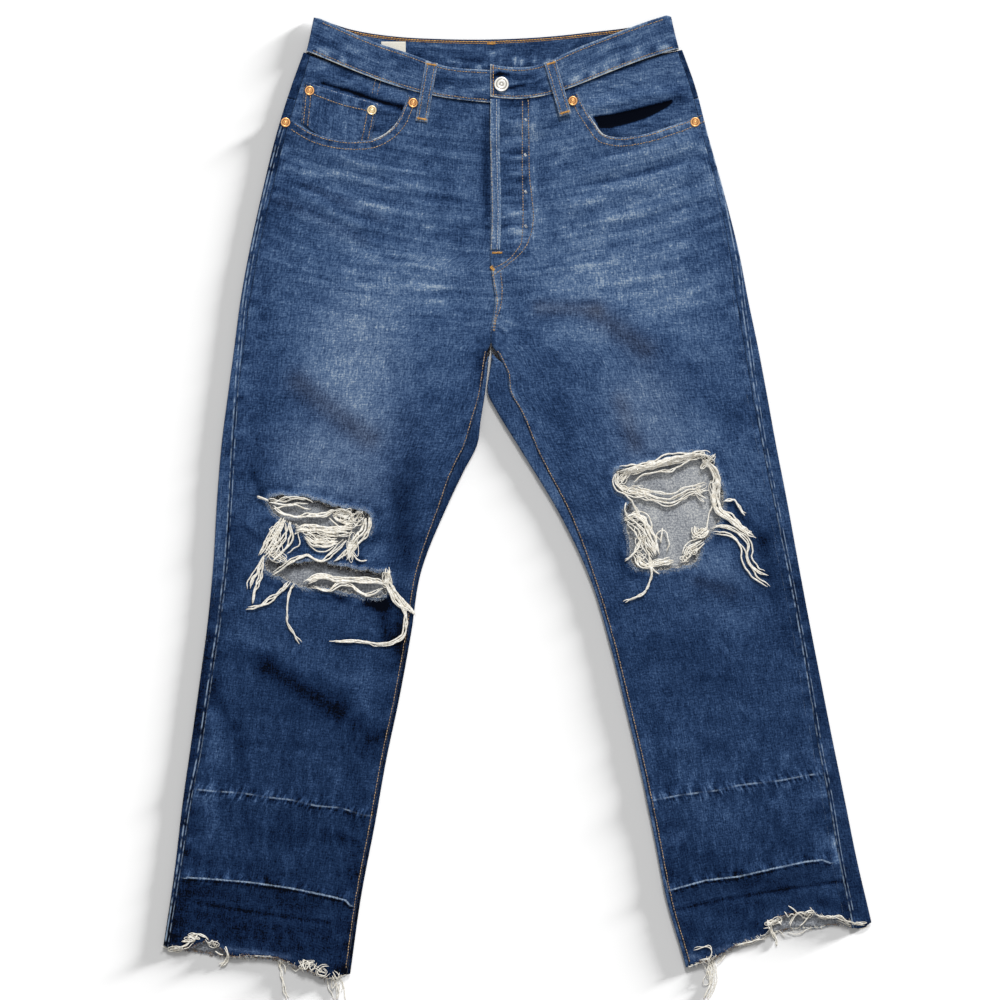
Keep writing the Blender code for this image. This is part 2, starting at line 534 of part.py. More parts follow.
def back_middle(side):
    """Middle of the back's cloth, from the yoke seam to the hem."""
    data = SIDES[side]
    outer_y = np.array((158.0, 120.0, 80.0, 40.0, 12.0, -2.0, -8.0, -14.0, -24.0, -40.0, -58.0,
                        -78.0, -100.0, -128.0, -158.0, -188.0, -219.0, -260.0, -300.0, -340.0,
                        -380.0, -420.0, -460.0, -500.0, -540.0))
    y_out, y_in, sag = row_table(data["rows"], outer_y)
    seam = np.array((YOKE_SEAM[0], YOKE_SEAM[1])) - GAP / 2
    y_out = np.concatenate(((seam[0], 232.0, 214.0, 188.0), y_out, (data["rows"][-1][0],)))
    y_in = np.concatenate(((seam[1], 193.0, 181.0, 162.0), y_in, (data["rows"][-1][1],)))
    middle = back_rows(side, y_out, y_in, np.zeros(len(y_out)))
    width = middle[-1, -1, 0] - middle[-1, 0, 0]
    share = (middle[-1, :, 0] - middle[-1, 0, 0]) / width
    middle[-1, :, 1] += spline(data["hem"], 2, share)
    return middle


def back_panel(side):
    middle = back_middle(side)
    if side == "left":
        middle = middle[:, ::-1]
    return shell(middle, CLOTH)


def hem_y(side, x):
    """Lower edge of the back's hem at x, where it lies on the surface."""
    edge = back_middle(side)[-1]
    edge = edge[edge[:, 2] < REST + 0.01]
    edge = edge[np.argsort(edge[:, 0])]
    return np.interp(x, edge[:, 0], edge[:, 1])


def yoke(side):
    share = np.linspace(0.0, 1.0, 5)
    top = np.array(BACK_WAIST[side]) - np.array((GAP / 2, GAP / 2, 0.0))
    foot = np.array(YOKE_SEAM) + np.array((GAP / 2, GAP / 2, 0.0))
    table = top[None] * (1 - share[:, None]) + foot[None] * share[:, None]
    middle = back_rows(side, table[:, 0], table[:, 1], table[:, 2])
    if side == "left":
        middle = middle[:, ::-1]
    return shell(middle, CLOTH)


def facing(side):
    """Ruled between the waist seam and a line behind the mouth."""
    data = SIDES[side]
    sign = data["sign"]
    share = np.linspace(0.0, 1.0, 9)
    waist = data["rows"][0]
    outer = abs(spline(data["outer"], 1, waist[0]))
    start = spline(data["outer"], 2, waist[0]) / outer
    top_share = start + (0.63 - start) * share
    top = row(side, (waist[0],), (waist[1],), (waist[2],), top_share[None])[0]
    top[:, 1] -= GAP / 2 + 2.4 * (1.0 - share) ** 3
    top[0, 0] = seam_x(side, top[0, 1]) - sign * GAP / 2
    line = facing_outline(side)
    line[0] = (seam_x(side, data["mouth"][0][1] + 1.5), data["mouth"][0][1] + 1.5)
    line[0, 0] -= sign * GAP / 2
    line[1, 0] -= sign * 3.0
    foot = along(line[:-1], share)
    down = np.array((0.0, 0.25, 0.5, 0.75, 1.0))[:, None, None]
    plan = top[None] * (1 - down) + foot[None] * down
    edge_y = plan[:, 0, 1]
    plan[:, 0, 0] = seam_x(side, edge_y) - sign * GAP / 2
    low = np.full(plan.shape[:2], FACING)
    middle = with_height(plan, low)
    if side == "left":
        middle = middle[:, ::-1]
    return shell(middle, CLOTH)


def coin_pocket():
    share = np.linspace(0.0, 1.0, 5)
    top = along(COIN_TOP, share)
    foot = along(COIN_FOOT, share)
    down = np.linspace(0.0, 1.0, 4)[:, None, None]
    plan = top[None] * (1 - down) + foot[None] * down
    return shell(with_height(plan, np.full(plan.shape[:2], COIN)), COIN_WALL)


def band_edges(side, share):
    """Lower and upper edge of the front of the waistband, from the centre outwards."""
    data = SIDES[side]
    waist = data["rows"][0]
    lower = row(side, (waist[0],), (waist[1],), (waist[2],), (1.0 - share)[None])[0]
    lower[:, 1] += 1.5 * GAP
    lean = np.stack((spline(BAND_LEAN, 1, share) * data["sign"] * -1.0,
                     spline(BAND_LEAN, 2, share)), axis=-1)
    return lower, lower + lean


def back_waist(x):
    """Height of the waist seam at the back, from the side to the centre and on."""
    total = np.zeros(x.shape)
    for side, here in (("right", x < 0.0), ("left", x >= 0.0)):
        waist = BACK_WAIST[side]
        outer = abs(spline(SIDES[side]["outer"], 1, waist[0]))
        share = np.clip(1.0 - np.abs(x) / outer, 0.0, 1.0)
        level = waist[0] + (waist[1] - waist[0]) * share - waist[2] * np.sin(math.pi * share)
        total = np.where(here, level, total)
    return total


def waistband():
    """One strip: lapped right end, right side, back, left side, left end on top."""
    share = np.array((0.0, 0.08, 0.18, 0.28, 0.36, 0.44, 0.55, 0.67, 0.80, 0.92, 0.975))
    right_low, right_top = band_edges("right", share)
    left_low, left_top = band_edges("left", share)
    tail = np.array((32.0, 21.0, 10.0))
    tail_low = np.column_stack((tail, np.full(3, right_low[0, 1] + 1.0)))
    tail_top = np.column_stack((tail, np.full(3, right_top[0, 1] + 1.0)))
    left_low[0, 0] = left_top[0, 0] = -0.6
    back_x = np.linspace(-186.0, 189.0, 23)
    back_top = np.column_stack((back_x * 0.965, spline(BAND_BACK_TOP, 1, back_x * 0.965)))
    back_low = np.column_stack((back_x, back_waist(back_x) + GAP))

    def fold(low_a, top_a, low_b, top_b, z_a, z_b, outward):
        """Half-round turn between two layers at a side."""
        turn = np.radians((-55.0, -20.0, 20.0, 55.0))
        radius = abs(z_b - z_a) / 2
        weight = (np.sin(turn) + 1) / 2
        out = np.cos(turn)[:, None] * radius * np.array((outward, 0.0))
        low = low_a + (low_b - low_a) * weight[:, None] + out
        top = top_a + (top_b - top_a) * weight[:, None] + out
        z = z_a + (z_b - z_a) * weight
        return low, top, z

    high_right = np.full(len(share), BAND_HIGH)
    high_left = BAND_HIGH + (BAND_OVER - BAND_HIGH) * smooth(0.36, 0.19, share)
    back_z = np.full(len(back_x), BAND_LOW)
    turn_r = fold(right_low[-1], right_top[-1], back_low[0], back_top[0], BAND_HIGH, BAND_LOW, -1.0)
    turn_l = fold(back_low[-1], back_top[-1], left_low[-1], left_top[-1], BAND_LOW, BAND_HIGH, 1.0)
    lows = np.concatenate((tail_low, right_low, turn_r[0], back_low, turn_l[0], left_low[::-1]))
    tops = np.concatenate((tail_top, right_top, turn_r[1], back_top, turn_l[1], left_top[::-1]))
    z = np.concatenate((np.full(3, BAND_HIGH), high_right, turn_r[2], back_z, turn_l[2], high_left[::-1]))
    across = np.linspace(0.0, 1.0, 3)[None, :, None]
    plan = lows[:, None] * (1 - across) + tops[:, None] * across
    middle = with_height(plan, np.repeat(z[:, None], 3, axis=1))
    return shell(middle, BAND)


def band_top(points):
    """Top of the waistband's front at a point."""
    over = smooth(0.36, 0.19, points[..., 0] / 194.0) * (points[..., 0] > -0.6)
    return BAND_HIGH + (BAND_OVER - BAND_HIGH) * over + BAND / 2


def front_loop(side):
    """A loop from the waistband's top edge to the front under it."""
    top, foot = LOOP_RIGHT if side == "right" else LOOP_LEFT
    spread = np.array((0.0, 0.1, 0.28, 0.5, 0.62, 0.78, 0.9, 1.0))
    path = (top, foot)

    def height(plan):
        t = np.repeat(spread[:, None], plan.shape[1], axis=1)
        level = np.full(plan.shape[:2], BAND_HIGH + BAND / 2)
        level = np.maximum(level, band_top(plan))
        low = front_height(plan, side).max() + CLOTH / 2
        down = smooth(0.66, 0.8, t)
        arch = 1.3 * np.sin(math.pi * np.clip(t / 0.95, 0, 1)) ** 2
        return level * (1 - down) + low * down + GAP + LOOP_WALL / 2 + arch

    grid = ribbon(path, LOOP_WIDTH, height, len(spread), spread=spread)
    return shell(grid, LOOP_WALL)


def back_loop(x):
    """A loop under the back of the waistband; it lies on the surface."""
    top = spline(BAND_BACK_TOP, 1, x) - 2.0
    plan_path = ((x, top), (x, top - 58.0))
    grid = ribbon(plan_path, LOOP_WIDTH, lambda p: np.full(p.shape[:2], 0.55), 5)
    return shell(grid, 1.1)


def fly_edge():
    x0, x1, y0, y1 = FLY_EDGE
    y = np.linspace(y0, y1, 9)
    plan = np.stack(np.meshgrid(np.array((x0, x1)), y), axis=-1)
    around = [front_height(plan + np.array((0.0, step)), "left") for step in (-14.0, 0.0, 14.0)]
    base = np.max(around, axis=0).max(axis=1, keepdims=True)
    height = np.repeat(base, 2, axis=1) + CLOTH + GAP
    return shell(with_height(plan, height), CLOTH)


def build_all():
    """Every solid of the jeans: name, mesh, finish."""
    solids = []
    for side in ("right", "left"):
        solids.append(("front_" + side, front_panel(side), "denim_worn"))
        solids.append(("back_" + side, back_panel(side), "denim"))
        solids.append(("yoke_" + side, yoke(side), "denim"))
        solids.append(("pocket_facing_" + side, facing(side), "denim"))
        outline = BACK_POCKET if side == "right" else mirrored(BACK_POCKET)[::-1]
        solids.append(("back_pocket_" + side, prism(outline, 0.0, CLOTH), "denim"))
        solids.append(("belt_loop_front_" + side, front_loop(side), "denim_worn"))
    for name, x in BACK_LOOPS:
        solids.append(("belt_loop_back_" + name, back_loop(x), "denim"))
    solids.append(("waistband", waistband(), "denim_worn"))
    solids.append(("coin_pocket", coin_pocket(), "denim_worn"))
    solids.append(("fly_edge", fly_edge(), "denim_worn"))
    label_low = BAND_LOW + BAND / 2 + GAP
    solids.append(("label", prism(LABEL[::-1], label_low, label_low + 0.5), "label"))
    return solids


def rest_height(x, y):
    """Top of the cloth at a rivet."""
    point = np.array((x, y))
    mouth_right = distance(point, np.array(MOUTH_RIGHT + ((-84.5, 320.0), (-199.6, 320.0))))
    if x < 0 and mouth_right < 0:
        return COIN + COIN_WALL / 2
    return float(front_height(point, "right" if x < 0 else "left")) + CLOTH / 2


def add_hardware(solids):
    cap = ((RIVET_RADIUS, 0.0), (RIVET_RADIUS, 0.5), (RIVET_RADIUS * 0.86, 0.9),
           (RIVET_RADIUS * 0.42, 0.9), (RIVET_RADIUS * 0.30, 1.3))
    for name, x, y in RIVETS:
        base = rest_height(x, y) + 2 * GAP
        finish = "brass" if name == "coin_inner" else "copper"
        solids.append(("rivet_" + name, turned(cap, x, y, base), finish))
    r = BUTTON_RADIUS
    face = ((r * 0.45, 0.0), (r * 0.45, 1.0), (r * 0.96, 1.2), (r, 1.7), (r * 0.95, 2.5), (r * 0.84, 2.8),
            (r * 0.72, 2.3), (r * 0.3, 2.2))
    base = float(band_top(np.array(BUTTON))) + GAP
    solids.append(("button", turned(face, BUTTON[0], BUTTON[1], base, 28), "nickel"))


def add_threads(solids):
    for name, width, path in KNEE_BANDS:
        side = "right" if "right" in name else "left"

        def height(plan, side=side):
            level = front_height(plan, side).max(axis=1, keepdims=True)
            return np.repeat(level, plan.shape[1], axis=1) + CLOTH / 2 + 2 * GAP + 0.4

        grid = ribbon(path, width, height, 2 * len(path) - 1)
        solids.append((name, shell(grid, 0.8), "thread"))
    for name, start, end, drop, lean in HEM_FRINGES:
        side = "right" if "right" in name else "left"
        x = np.linspace(start, end, 4)
        upper = np.stack((x, hem_y(side, x) - 2 * GAP), axis=-1)
        lower = upper + np.array((lean, -drop))
        middle = with_height(np.stack((upper, lower)), np.full((2, 4), REST))
        solids.append((name, shell(middle, CLOTH), "thread"))


# ---------------------------------------------------------------- scene
def clear_scene():
    for item in list(bpy.data.objects):
        bpy.data.objects.remove(item, do_unlink=True)


def material(finish):
    colour, roughness, metallic = FINISH[finish]
    item = bpy.data.materials.get(finish)
    if item is None:
        item = bpy.data.materials.new(finish)
        item.use_nodes = True
        shader = item.node_tree.nodes["Principled BSDF"]
        shader.inputs["Base Color"].default_value = colour + (1.0,)
        shader.inputs["Roughness"].default_value = roughness
        shader.inputs["Metallic"].default_value = metallic
    return item


def add_object(name, mesh_data, shift):
    """Make an object in metres, with its faces turned out."""
    points, faces = mesh_data
    moved = (np.asarray(points) + shift) * MM
    mesh = bpy.data.meshes.new(name)
    mesh.from_pydata([tuple(p) for p in moved], [], [tuple(int(i) for i in f) for f in faces])
    form = bmesh.new()
    form.from_mesh(mesh)
    bmesh.ops.recalc_face_normals(form, faces=form.faces)
    form.to_mesh(mesh)
    form.free()
    item = bpy.data.objects.new(name, mesh)
    bpy.context.scene.collection.objects.link(item)
    return item


def main():
    clear_scene()
    solids = build_all()
    add_hardware(solids)
    add_threads(solids)
    everything = np.concatenate([data[0] for _, data, _ in solids])
    low, high = everything.min(axis=0), everything.max(axis=0)
    shift = -np.array(((low[0] + high[0]) / 2, (low[1] + high[1]) / 2, low[2]))
    made = {}
    for name, data, finish in solids:
        item = add_object(name, data, shift)
        item.data.materials.append(material(finish))
        made[name] = item
        if name.startswith(("button", "rivet")):
            for face in item.data.polygons:
                face.use_smooth = True
    holes = (("front_right", "cut_right_upper", HOLE_RIGHT_UPPER),
             ("front_right", "cut_right_lower", HOLE_RIGHT_LOWER),
             ("front_left", "cut_left", HOLE_LEFT))
    for target, name, outline in holes:
        cutter = add_object(name, prism(outline, 1.8, 16.0), shift)
        cutter.hide_render = True
        cutter.display_type = "WIRE"
        cut = made[target].modifiers.new(name, "BOOLEAN")
        cut.operation = "DIFFERENCE"
        cut.solver = "EXACT"
        cut.object = cutter
    print("shift, mm:", [round(float(v), 3) for v in shift])


main()
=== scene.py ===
"""Looks of the worn, ripped jeans: denim panels, sewn seams, threads and metal.

Plan sizes are in millimetres from the point where the inseams meet, x to the wearer's
left and y to the waist, and heights are from the surface the jeans lie on. Every mesh is
moved into the frame, in metres, as it is made.
"""
import math

import bmesh
import bpy
import numpy as np
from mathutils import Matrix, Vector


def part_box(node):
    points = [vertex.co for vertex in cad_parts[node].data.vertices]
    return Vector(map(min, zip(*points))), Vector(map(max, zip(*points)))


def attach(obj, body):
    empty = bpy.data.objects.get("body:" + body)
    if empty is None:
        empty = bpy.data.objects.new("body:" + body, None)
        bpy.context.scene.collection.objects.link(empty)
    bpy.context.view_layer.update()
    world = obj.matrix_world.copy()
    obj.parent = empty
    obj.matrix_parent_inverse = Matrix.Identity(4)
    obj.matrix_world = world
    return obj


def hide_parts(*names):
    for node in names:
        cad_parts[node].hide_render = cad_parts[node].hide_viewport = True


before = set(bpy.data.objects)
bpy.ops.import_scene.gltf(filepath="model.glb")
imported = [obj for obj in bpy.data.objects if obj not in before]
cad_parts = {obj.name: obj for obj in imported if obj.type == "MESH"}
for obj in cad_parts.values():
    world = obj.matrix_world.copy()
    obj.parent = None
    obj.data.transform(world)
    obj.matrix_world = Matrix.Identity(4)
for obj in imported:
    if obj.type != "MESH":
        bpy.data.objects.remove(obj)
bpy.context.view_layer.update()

# ---------------------------------------------------------------- sizes, millimetres
MM = 0.001
# walls of the cloth, of the waistband's two plies and of the pockets, and the gap at a seam
CLOTH = 1.0
BAND = 2.0
THIN = 0.8
GAP = 0.3
# heights of the middle of each layer: back, fronts, hip pieces, coin pocket
REST = 0.5
TOP = 4.1
FACING = 3.4
COIN = 4.6
# the same for the waistband behind, in front and where it laps over itself
BAND_LOW = 2.5
BAND_HIGH = 5.7
BAND_OVER = 8.0
BAND_TALL = 36.0
# rows along the waistband: its lapped end, each front, each turn at a side and the back
TAIL_ROWS = 14
FRONT_ROWS = 110
TURN_ROWS = 11
BACK_ROWS = 170
BACK_START = TAIL_ROWS + FRONT_ROWS + TURN_ROWS
LEFT_START = BACK_START + BACK_ROWS + TURN_ROWS
# row and column of a place on the waistband's front
BAND_UP = (40, 8)
# lap of the right front under the fly, and where it ends
LAP = 12.0
LAP_END = 78.0
LOOP_WIDTH = 12.0
COIN_WIDE = 76.0
COIN_TALL = 42.0
BEHIND_MOUTH = 13.0
BY_CENTRE = 0.4
HEM_ZONE = 82.0
BUTTON = (10.7, 265.7)
# places across the outseam and across an old hem: the seam's pale line, and far from each
SEAM_LINE = 1.3
OFF_SEAM = 30.0
OFF_LINE = 9.0
# places along a stitch, and steps along a smoothed yarn
STITCH_RINGS = np.array((-1.0, -0.6, 0.6, 1.0))
FINE = 120

low_corner, high_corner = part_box("button")
middle_x = (low_corner[0] + high_corner[0]) / 2 / MM - BUTTON[0]
middle_y = (low_corner[1] + high_corner[1]) / 2 / MM - BUTTON[1]
PLACE = np.array((middle_x, middle_y, 0.0))

# outer fold of each leg and how far in its outseam lies: y, x, inset
OUTER_RIGHT = (
    (302, -190, 7.5), (262, -204.5, 9.5), (214, -219.3, 9.5), (158, -233, 9.5), (92, -247.3, 9.5),
    (43, -256, 9.5), (0, -261.6, 9.5), (-50, -268.3, 9.5), (-97, -274.4, 11), (-158, -279.5, 12.5),
    (-219, -283, 12.5), (-280, -288.7, 12), (-342, -297, 11.5), (-403, -305.5, 11),
    (-464, -314.2, 9), (-536, -322.8, 6.8), (-615, -334.6, 6), (-640, -338.5, 6),
)
OUTER_LEFT = (
    (304, 194, 5.2), (265, 208, 5.2), (216, 220.8, 5.2), (158, 237, 6.2), (92, 253.5, 9.5),
    (43, 263, 12), (0, 272, 13.8), (-50, 281.5, 15), (-97, 290, 14.5), (-158, 301.9, 14),
    (-219, 313, 11.2), (-280, 324.4, 10.5), (-342, 336.5, 12.5), (-403, 348.5, 15.8),
    (-464, 361, 16.8), (-525, 373.3, 18.4), (-590, 388.6, 21.4), (-620, 395, 22.5),
)
# inner fold of each leg and how far in its inseam lies: y, x, inset
INNER_RIGHT = (
    (20, -0.3, 3.5), (0, -0.4, 3.5), (-25, -3.4, 3.5), (-50, -6.2, 4.5), (-76, -10.4, 8),
    (-102, -14.2, 12), (-127, -27, 11.5), (-166, -45.5, 7), (-230, -71, 3.5), (-295, -81.6, 3.5),
    (-359, -93.3, 3.5), (-423, -106.8, 3.5), (-488, -118.3, 3.5), (-562, -132.4, 3.5),
    (-643, -143.8, 3.5),
)
INNER_LEFT = (
    (20, 0.3, 3.5), (0, 0.4, 3.5), (-14, 0, 10), (-28, -1.6, 18), (-50, -3.2, 23), (-64, 4.1, 24),
    (-108, 31.1, 16), (-173, 70.4, 10), (-239, 101.5, 3.5), (-305, 121.4, 3.5), (-371, 137.7, 3.5),
    (-438, 153.5, 3.5), (-503, 166.8, 3.5), (-569, 180, 3.5), (-636, 199, 3.5), (-650, 202, 3.5),
)
# centre front seam under the fly: y, x
CENTRE_SEAM = ((320, 0), (80, 0), (62, 2), (46, 4.2), (34, 2.8), (12, 0), (-5, 0))
# rows across each leg: y at the outer fold, y at the inner fold, sag of the row
ROWS_RIGHT = (
    (300.5, 247, 10), (262, 219, 8), (214, 184, 5), (158, 140, 2), (92, 85, 0), (43, 42, 0),
    (0, 0, 0), (-50, -52, 0), (-97, -105, 0), (-158, -168, 0), (-219, -231, 0), (-280, -295, 0),
    (-342, -360, 0), (-403, -424, 0), (-464, -488, 0), (-536, -562, 0), (-613, -641.6, 0),
)
ROWS_LEFT = (
    (303, 253, 13), (265, 219, 8), (216, 184, 5), (158, 140, 2), (92, 85, 0), (43, 42, 0),
    (0, 0, 0), (-50, -56, 0), (-97, -109, 0), (-158, -174, 0), (-219, -239, 0), (-280, -305, 0),
    (-342, -371, 0), (-403, -438, 0), (-464, -503, 0), (-525, -569, 0), (-588, -635.6, 0),
)
BACK_WAIST = {
    "right": (298.6, 276, 2),
    "left": (301.2, 276, 2),
}
YOKE_SEAM = (252, 203, 0)
# hems against a straight line: share of the width from the outer fold, front, back
HEM_RIGHT = (
    (0, 0, 0), (0.14, 2, -1), (0.25, 12, -1), (0.36, 0, -1.5), (0.46, 3, 1), (0.62, 4.5, 2.5),
    (0.7, 0, -1), (0.78, -3, -4), (0.89, -8, -8.5), (1, 0, 0),
)
HEM_LEFT = (
    (0, 0, -1), (0.05, 0.5, -4.5), (0.1, 3.5, -2), (0.17, 11, 4.5), (0.22, 14, 6.5),
    (0.28, 19.5, 6.8), (0.37, 26, 10.5), (0.45, 28, 13), (0.52, 25.5, 13), (0.56, 16, 12.6),
    (0.6, 12, 11.5), (0.75, 9.5, 8.5), (0.83, 4, 3.5), (1, 0, 0),
)
# mouths of the two front pockets, from the outseam to the waist: x, y
MOUTH_RIGHT = (
    (-199.6, 227.4), (-184.6, 218), (-160, 210), (-134.6, 208.1), (-118.3, 210.5), (-105.1, 218),
    (-95, 229), (-88.5, 244), (-84.5, 254.5),
)
MOUTH_LEFT = (
    (214, 236), (205, 231.5), (183.6, 223.4), (151, 213.7), (127, 211.8), (114.2, 215.4),
    (106.5, 225.4), (95.9, 241.7), (88.5, 257),
)
COIN_TOP = ((-190.2, 268.5), (-154, 257), (-115.3, 246))
COIN_FOOT = ((-193.5, 226.5), (-160, 205), (-124, 203))
BACK_POCKET = ((-165, 186), (-38, 172), (-50, 40), (-112, 22), (-172, 52))
# worn holes at the knees: x, y round each rim
HOLES = {
    "right": (
        ((-227, -157), (-199, -154.5), (-156, -165), (-124, -175), (-122, -187), (-143.8, -199),
         (-162, -204.5), (-185.6, -200), (-195, -189), (-210, -179.5), (-223, -170)),
        ((-229.5, -219), (-208, -223), (-177.5, -220), (-149, -226.5), (-116, -231.5),
         (-106.5, -233), (-104, -245), (-110, -256.5), (-129.5, -256.5), (-162, -249), (-188, -247),
         (-214, -238), (-229.5, -229)),
    ),
    "left": (
        ((127.5, -129.5), (153, -123.4), (179, -118), (213.2, -110.2), (225.4, -118.3), (232, -138),
         (237, -158), (231.5, -182.6), (214.2, -204), (209, -221), (191.8, -227), (163.2, -229),
         (147, -226), (139.7, -193.8), (135, -172), (141.3, -157.1), (130, -149)),
    ),
}
# creases of the fronts: x0, y0, x1, y1, half width, height
FOLDS = (
    (-152, 193, -118, 182, 9, 1.2), (-196, 157, -135, 124, 10, 1.1), (-155, 174, -80, 162, 9, 0.9),
    (103, 176, 206, 206, 9, 1.2), (87, 142, 216, 181, 10, 1.3), (103, 124, 222, 157, 9, 0.9),
    (-246, -150, -228, -131, 8, 1.4), (-264, -205, -234, -179, 8, 1.3),
    (240, -232, 275, -190, 10, 1.2), (125, 18, 205, -60, 22, 0.8), (-180, 20, -120, -70, 22, 0.8),
    (-318, -452, -116, -484, 9, 0.9), (-310, -542, -146, -566, 8, 1.2),
    (162, -464, 350, -436, 9, 0.9), (180, -557, 366, -524, 8, 1.2),
)
LOOPS = {"right": ((-60.5, 288), (-71, 228)), "left": ((60, 289), (76, 234.5))}
BACK_LOOPS = (("right", -112), ("centre", 0), ("left", 112))
RIVETS = (
    ("coin_outer", -185, 259.5), ("coin_inner", -121.5, 239.5), ("mouth_right_inner", -79.4, 247),
    ("mouth_left_inner", 83.4, 249), ("mouth_left_outer", 208.2, 227.4),
    ("mouth_right_outer", -209.4, 227),
)
# slit where the left hip piece folds under itself, painted near black as the shadow in the fold: x,
# y round it
SLIT = (
    (105, 232.6), (120, 234.8), (134, 237.3), (147, 240), (160, 243.3), (173, 246.8),
    (184.5, 249.6), (184, 247), (178.6, 242.8), (167, 236.2), (156, 231.4), (145, 227.8),
    (134, 224.8), (122, 222.2), (111, 221.6),
)
# folds and rubs of the waistband's front: x0, y0, x1, y1, half width, change of tone
BAND_MARKS = (
    (1, 273, 9, 276.5, 2.2, -0.55), (9, 276.5, 18, 276, 2.2, -0.55), (2, 279.5, 9, 281, 1.7, 0.3),
    (12, 280, 16, 278.5, 1.5, 0.28), (17, 280, 21, 279, 1.5, 0.28),
    (19, 262.2, 35, 265.2, 1.4, -0.5), (20, 266, 34, 268.5, 1.2, 0.16),
    (-31, 259, -5, 261.1, 1.4, 0.26), (-46, 261, -38, 263.2, 1.4, 0.3), (4, 257, 22, 255, 3, 0.16),
    (-20, 254, -6, 253, 3, 0.18), (24, 272, 44, 275, 2.4, -0.18), (-52, 270, -12, 266, 5, -0.1),
    (60, 262, 84, 270, 2, 0.16), (-100, 296, -66, 280, 5, -0.1), (-185, 330, -160, 326, 7, -0.1),
    (-42, 289, -12, 291, 6, 0.2), (70, 280, 188, 318, 11, 0.09), (60, 266, 150, 291, 6, 0.11),
    (128, 318, 155, 325, 6, 0.13), (111, 303, 150, 314, 4, 0.1), (86, 300, 118, 307, 5, 0.09),
    (104, 274, 150, 286, 2.6, 0.12), (86, 279, 132, 291, 3.5, -0.09), (-62, 284, -14, 280, 7, 0.06),
    (-32, 285, -6, 282, 2.6, 0.2), (-72, 272, -58, 279, 6, 0.08), (120, 281, 172, 293, 3, 0.1),
    (-140, 300, -100, 288, 7, 0.05), (-16, 262, -4, 262, 6, 0.06), (140, 287, 182, 300, 3, 0.1),
    (18, 262, 46, 266, 5, -0.1), (-188, 291, -105, 268, 8, 0.13), (8, 262, 50, 268, 6, -0.08),
    (-170, 318, -140, 300, 4, 0.12), (110, 285, 150, 300, 3, 0.14), (120, 277, 160, 292, 3, -0.12),
)
# marks of the seam that show on the inside of the waistband's back
INSIDE_MARKS = (
    (-43, 289, -33, 290, 1.7, 0.4), (-12, 286, -11, 283, 1.5, 0.4), (-6, 288, -5, 285, 1.6, 0.4),
    (-2, 298, 8, 297, 2.4, 0.3), (1, 296, 2, 286, 2.2, 0.3), (10, 292, 9, 287, 1.8, 0.3),
    (24, 293, 24.5, 286, 1.6, 0.5), (31, 290, 31.5, 286.5, 1.6, 0.5), (45, 293, 44, 288, 1.7, 0.46),
    (-32, 286, -8, 284, 2.4, 0.3), (59, 291, 62, 288, 1.8, 0.4), (-36, 304, -14, 298, 3, 0.1),
    (-60, 297, -40, 292, 2.6, 0.1),
)
LABEL = ((-112, 309.5), (-87, 309.5), (-87, 290), (-112, 290))
FLY_EDGE = (-0.6, 8.9, 250.5, 97)
# lean of the waistband's top edge: share of the way out from the centre, dx, dy
BAND_LEAN = ((0, 0, 32.5), (0.3, 5, 31), (0.45, 7, 34), (0.7, 9.5, 33), (1, 11.5, 33.5))
BAND_BACK_TOP = (
    (-179, 334), (-145, 322.5), (-100, 315), (-55, 312.3), (0, 311.8), (50, 314), (103, 319.3),
    (150, 325.5), (187, 335.5),
)
# worn pale line of the outseam: y, distance in from the outer fold
PALE_SEAMS = {
    "right": (
        (230, 3), (117, 2.2), (15, 3.6), (-36, 6), (-87, 9.6), (-130, 11.5), (-189, 11.8),
        (-280, 10), (-362, 8.6), (-423, 8), (-464, 5.2), (-515, 3.2), (-566, 2), (-640, 1.5),
    ),
    "left": (
        (230, 0.8), (199, 0.8), (158, 1.2), (117, 3), (87, 4.2), (15, 9), (-56, 12.4), (-168, 12.8),
        (-260, 11.6), (-362, 13.6), (-413, 15.4), (-464, 15.4), (-515, 17.4), (-566, 19),
        (-620, 20.5),
    ),
}
SIDES = {
    "right": {"sign": -1.0, "outer": OUTER_RIGHT, "inner": INNER_RIGHT, "rows": ROWS_RIGHT,
              "mouth": MOUTH_RIGHT, "skew": 1.15, "hem": HEM_RIGHT},
    "left": {"sign": 1.0, "outer": OUTER_LEFT, "inner": INNER_LEFT, "rows": ROWS_LEFT,
             "mouth": MOUTH_LEFT, "skew": 1.9, "hem": HEM_LEFT},
}
# places where a piece lies under the back, and where the fly and the waistband lap: x, y
LOOP_ZONE = ((-124, 330), (124, 330), (124, 262), (-124, 262))
FLY_LAP = ((-2, 260), (LAP, 250), (LAP, LAP_END - 4), (-2, LAP_END - 4))
BAND_LAP = ((-2, 290), (34, 290), (34, 246), (-2, 246))

# wash of the fronts down each leg: y, tone (0 raw indigo, 1 almost white)
WASH_RIGHT = (
    (240, 0.46), (150, 0.52), (50, 0.53), (-55, 0.43), (-160, 0.38), (-260, 0.34), (-360, 0.23),
    (-445, 0.2), (-480, 0.18), (-540, 0.14), (-556, 0.07), (-640, 0.08),
)
WASH_LEFT = (
    (240, 0.55), (150, 0.6), (50, 0.58), (-55, 0.46), (-160, 0.41), (-260, 0.35), (-360, 0.31),
    (-440, 0.31), (-480, 0.28), (-530, 0.21), (-548, 0.13), (-640, 0.2),
)
WASHES = {"right": WASH_RIGHT, "left": WASH_LEFT}
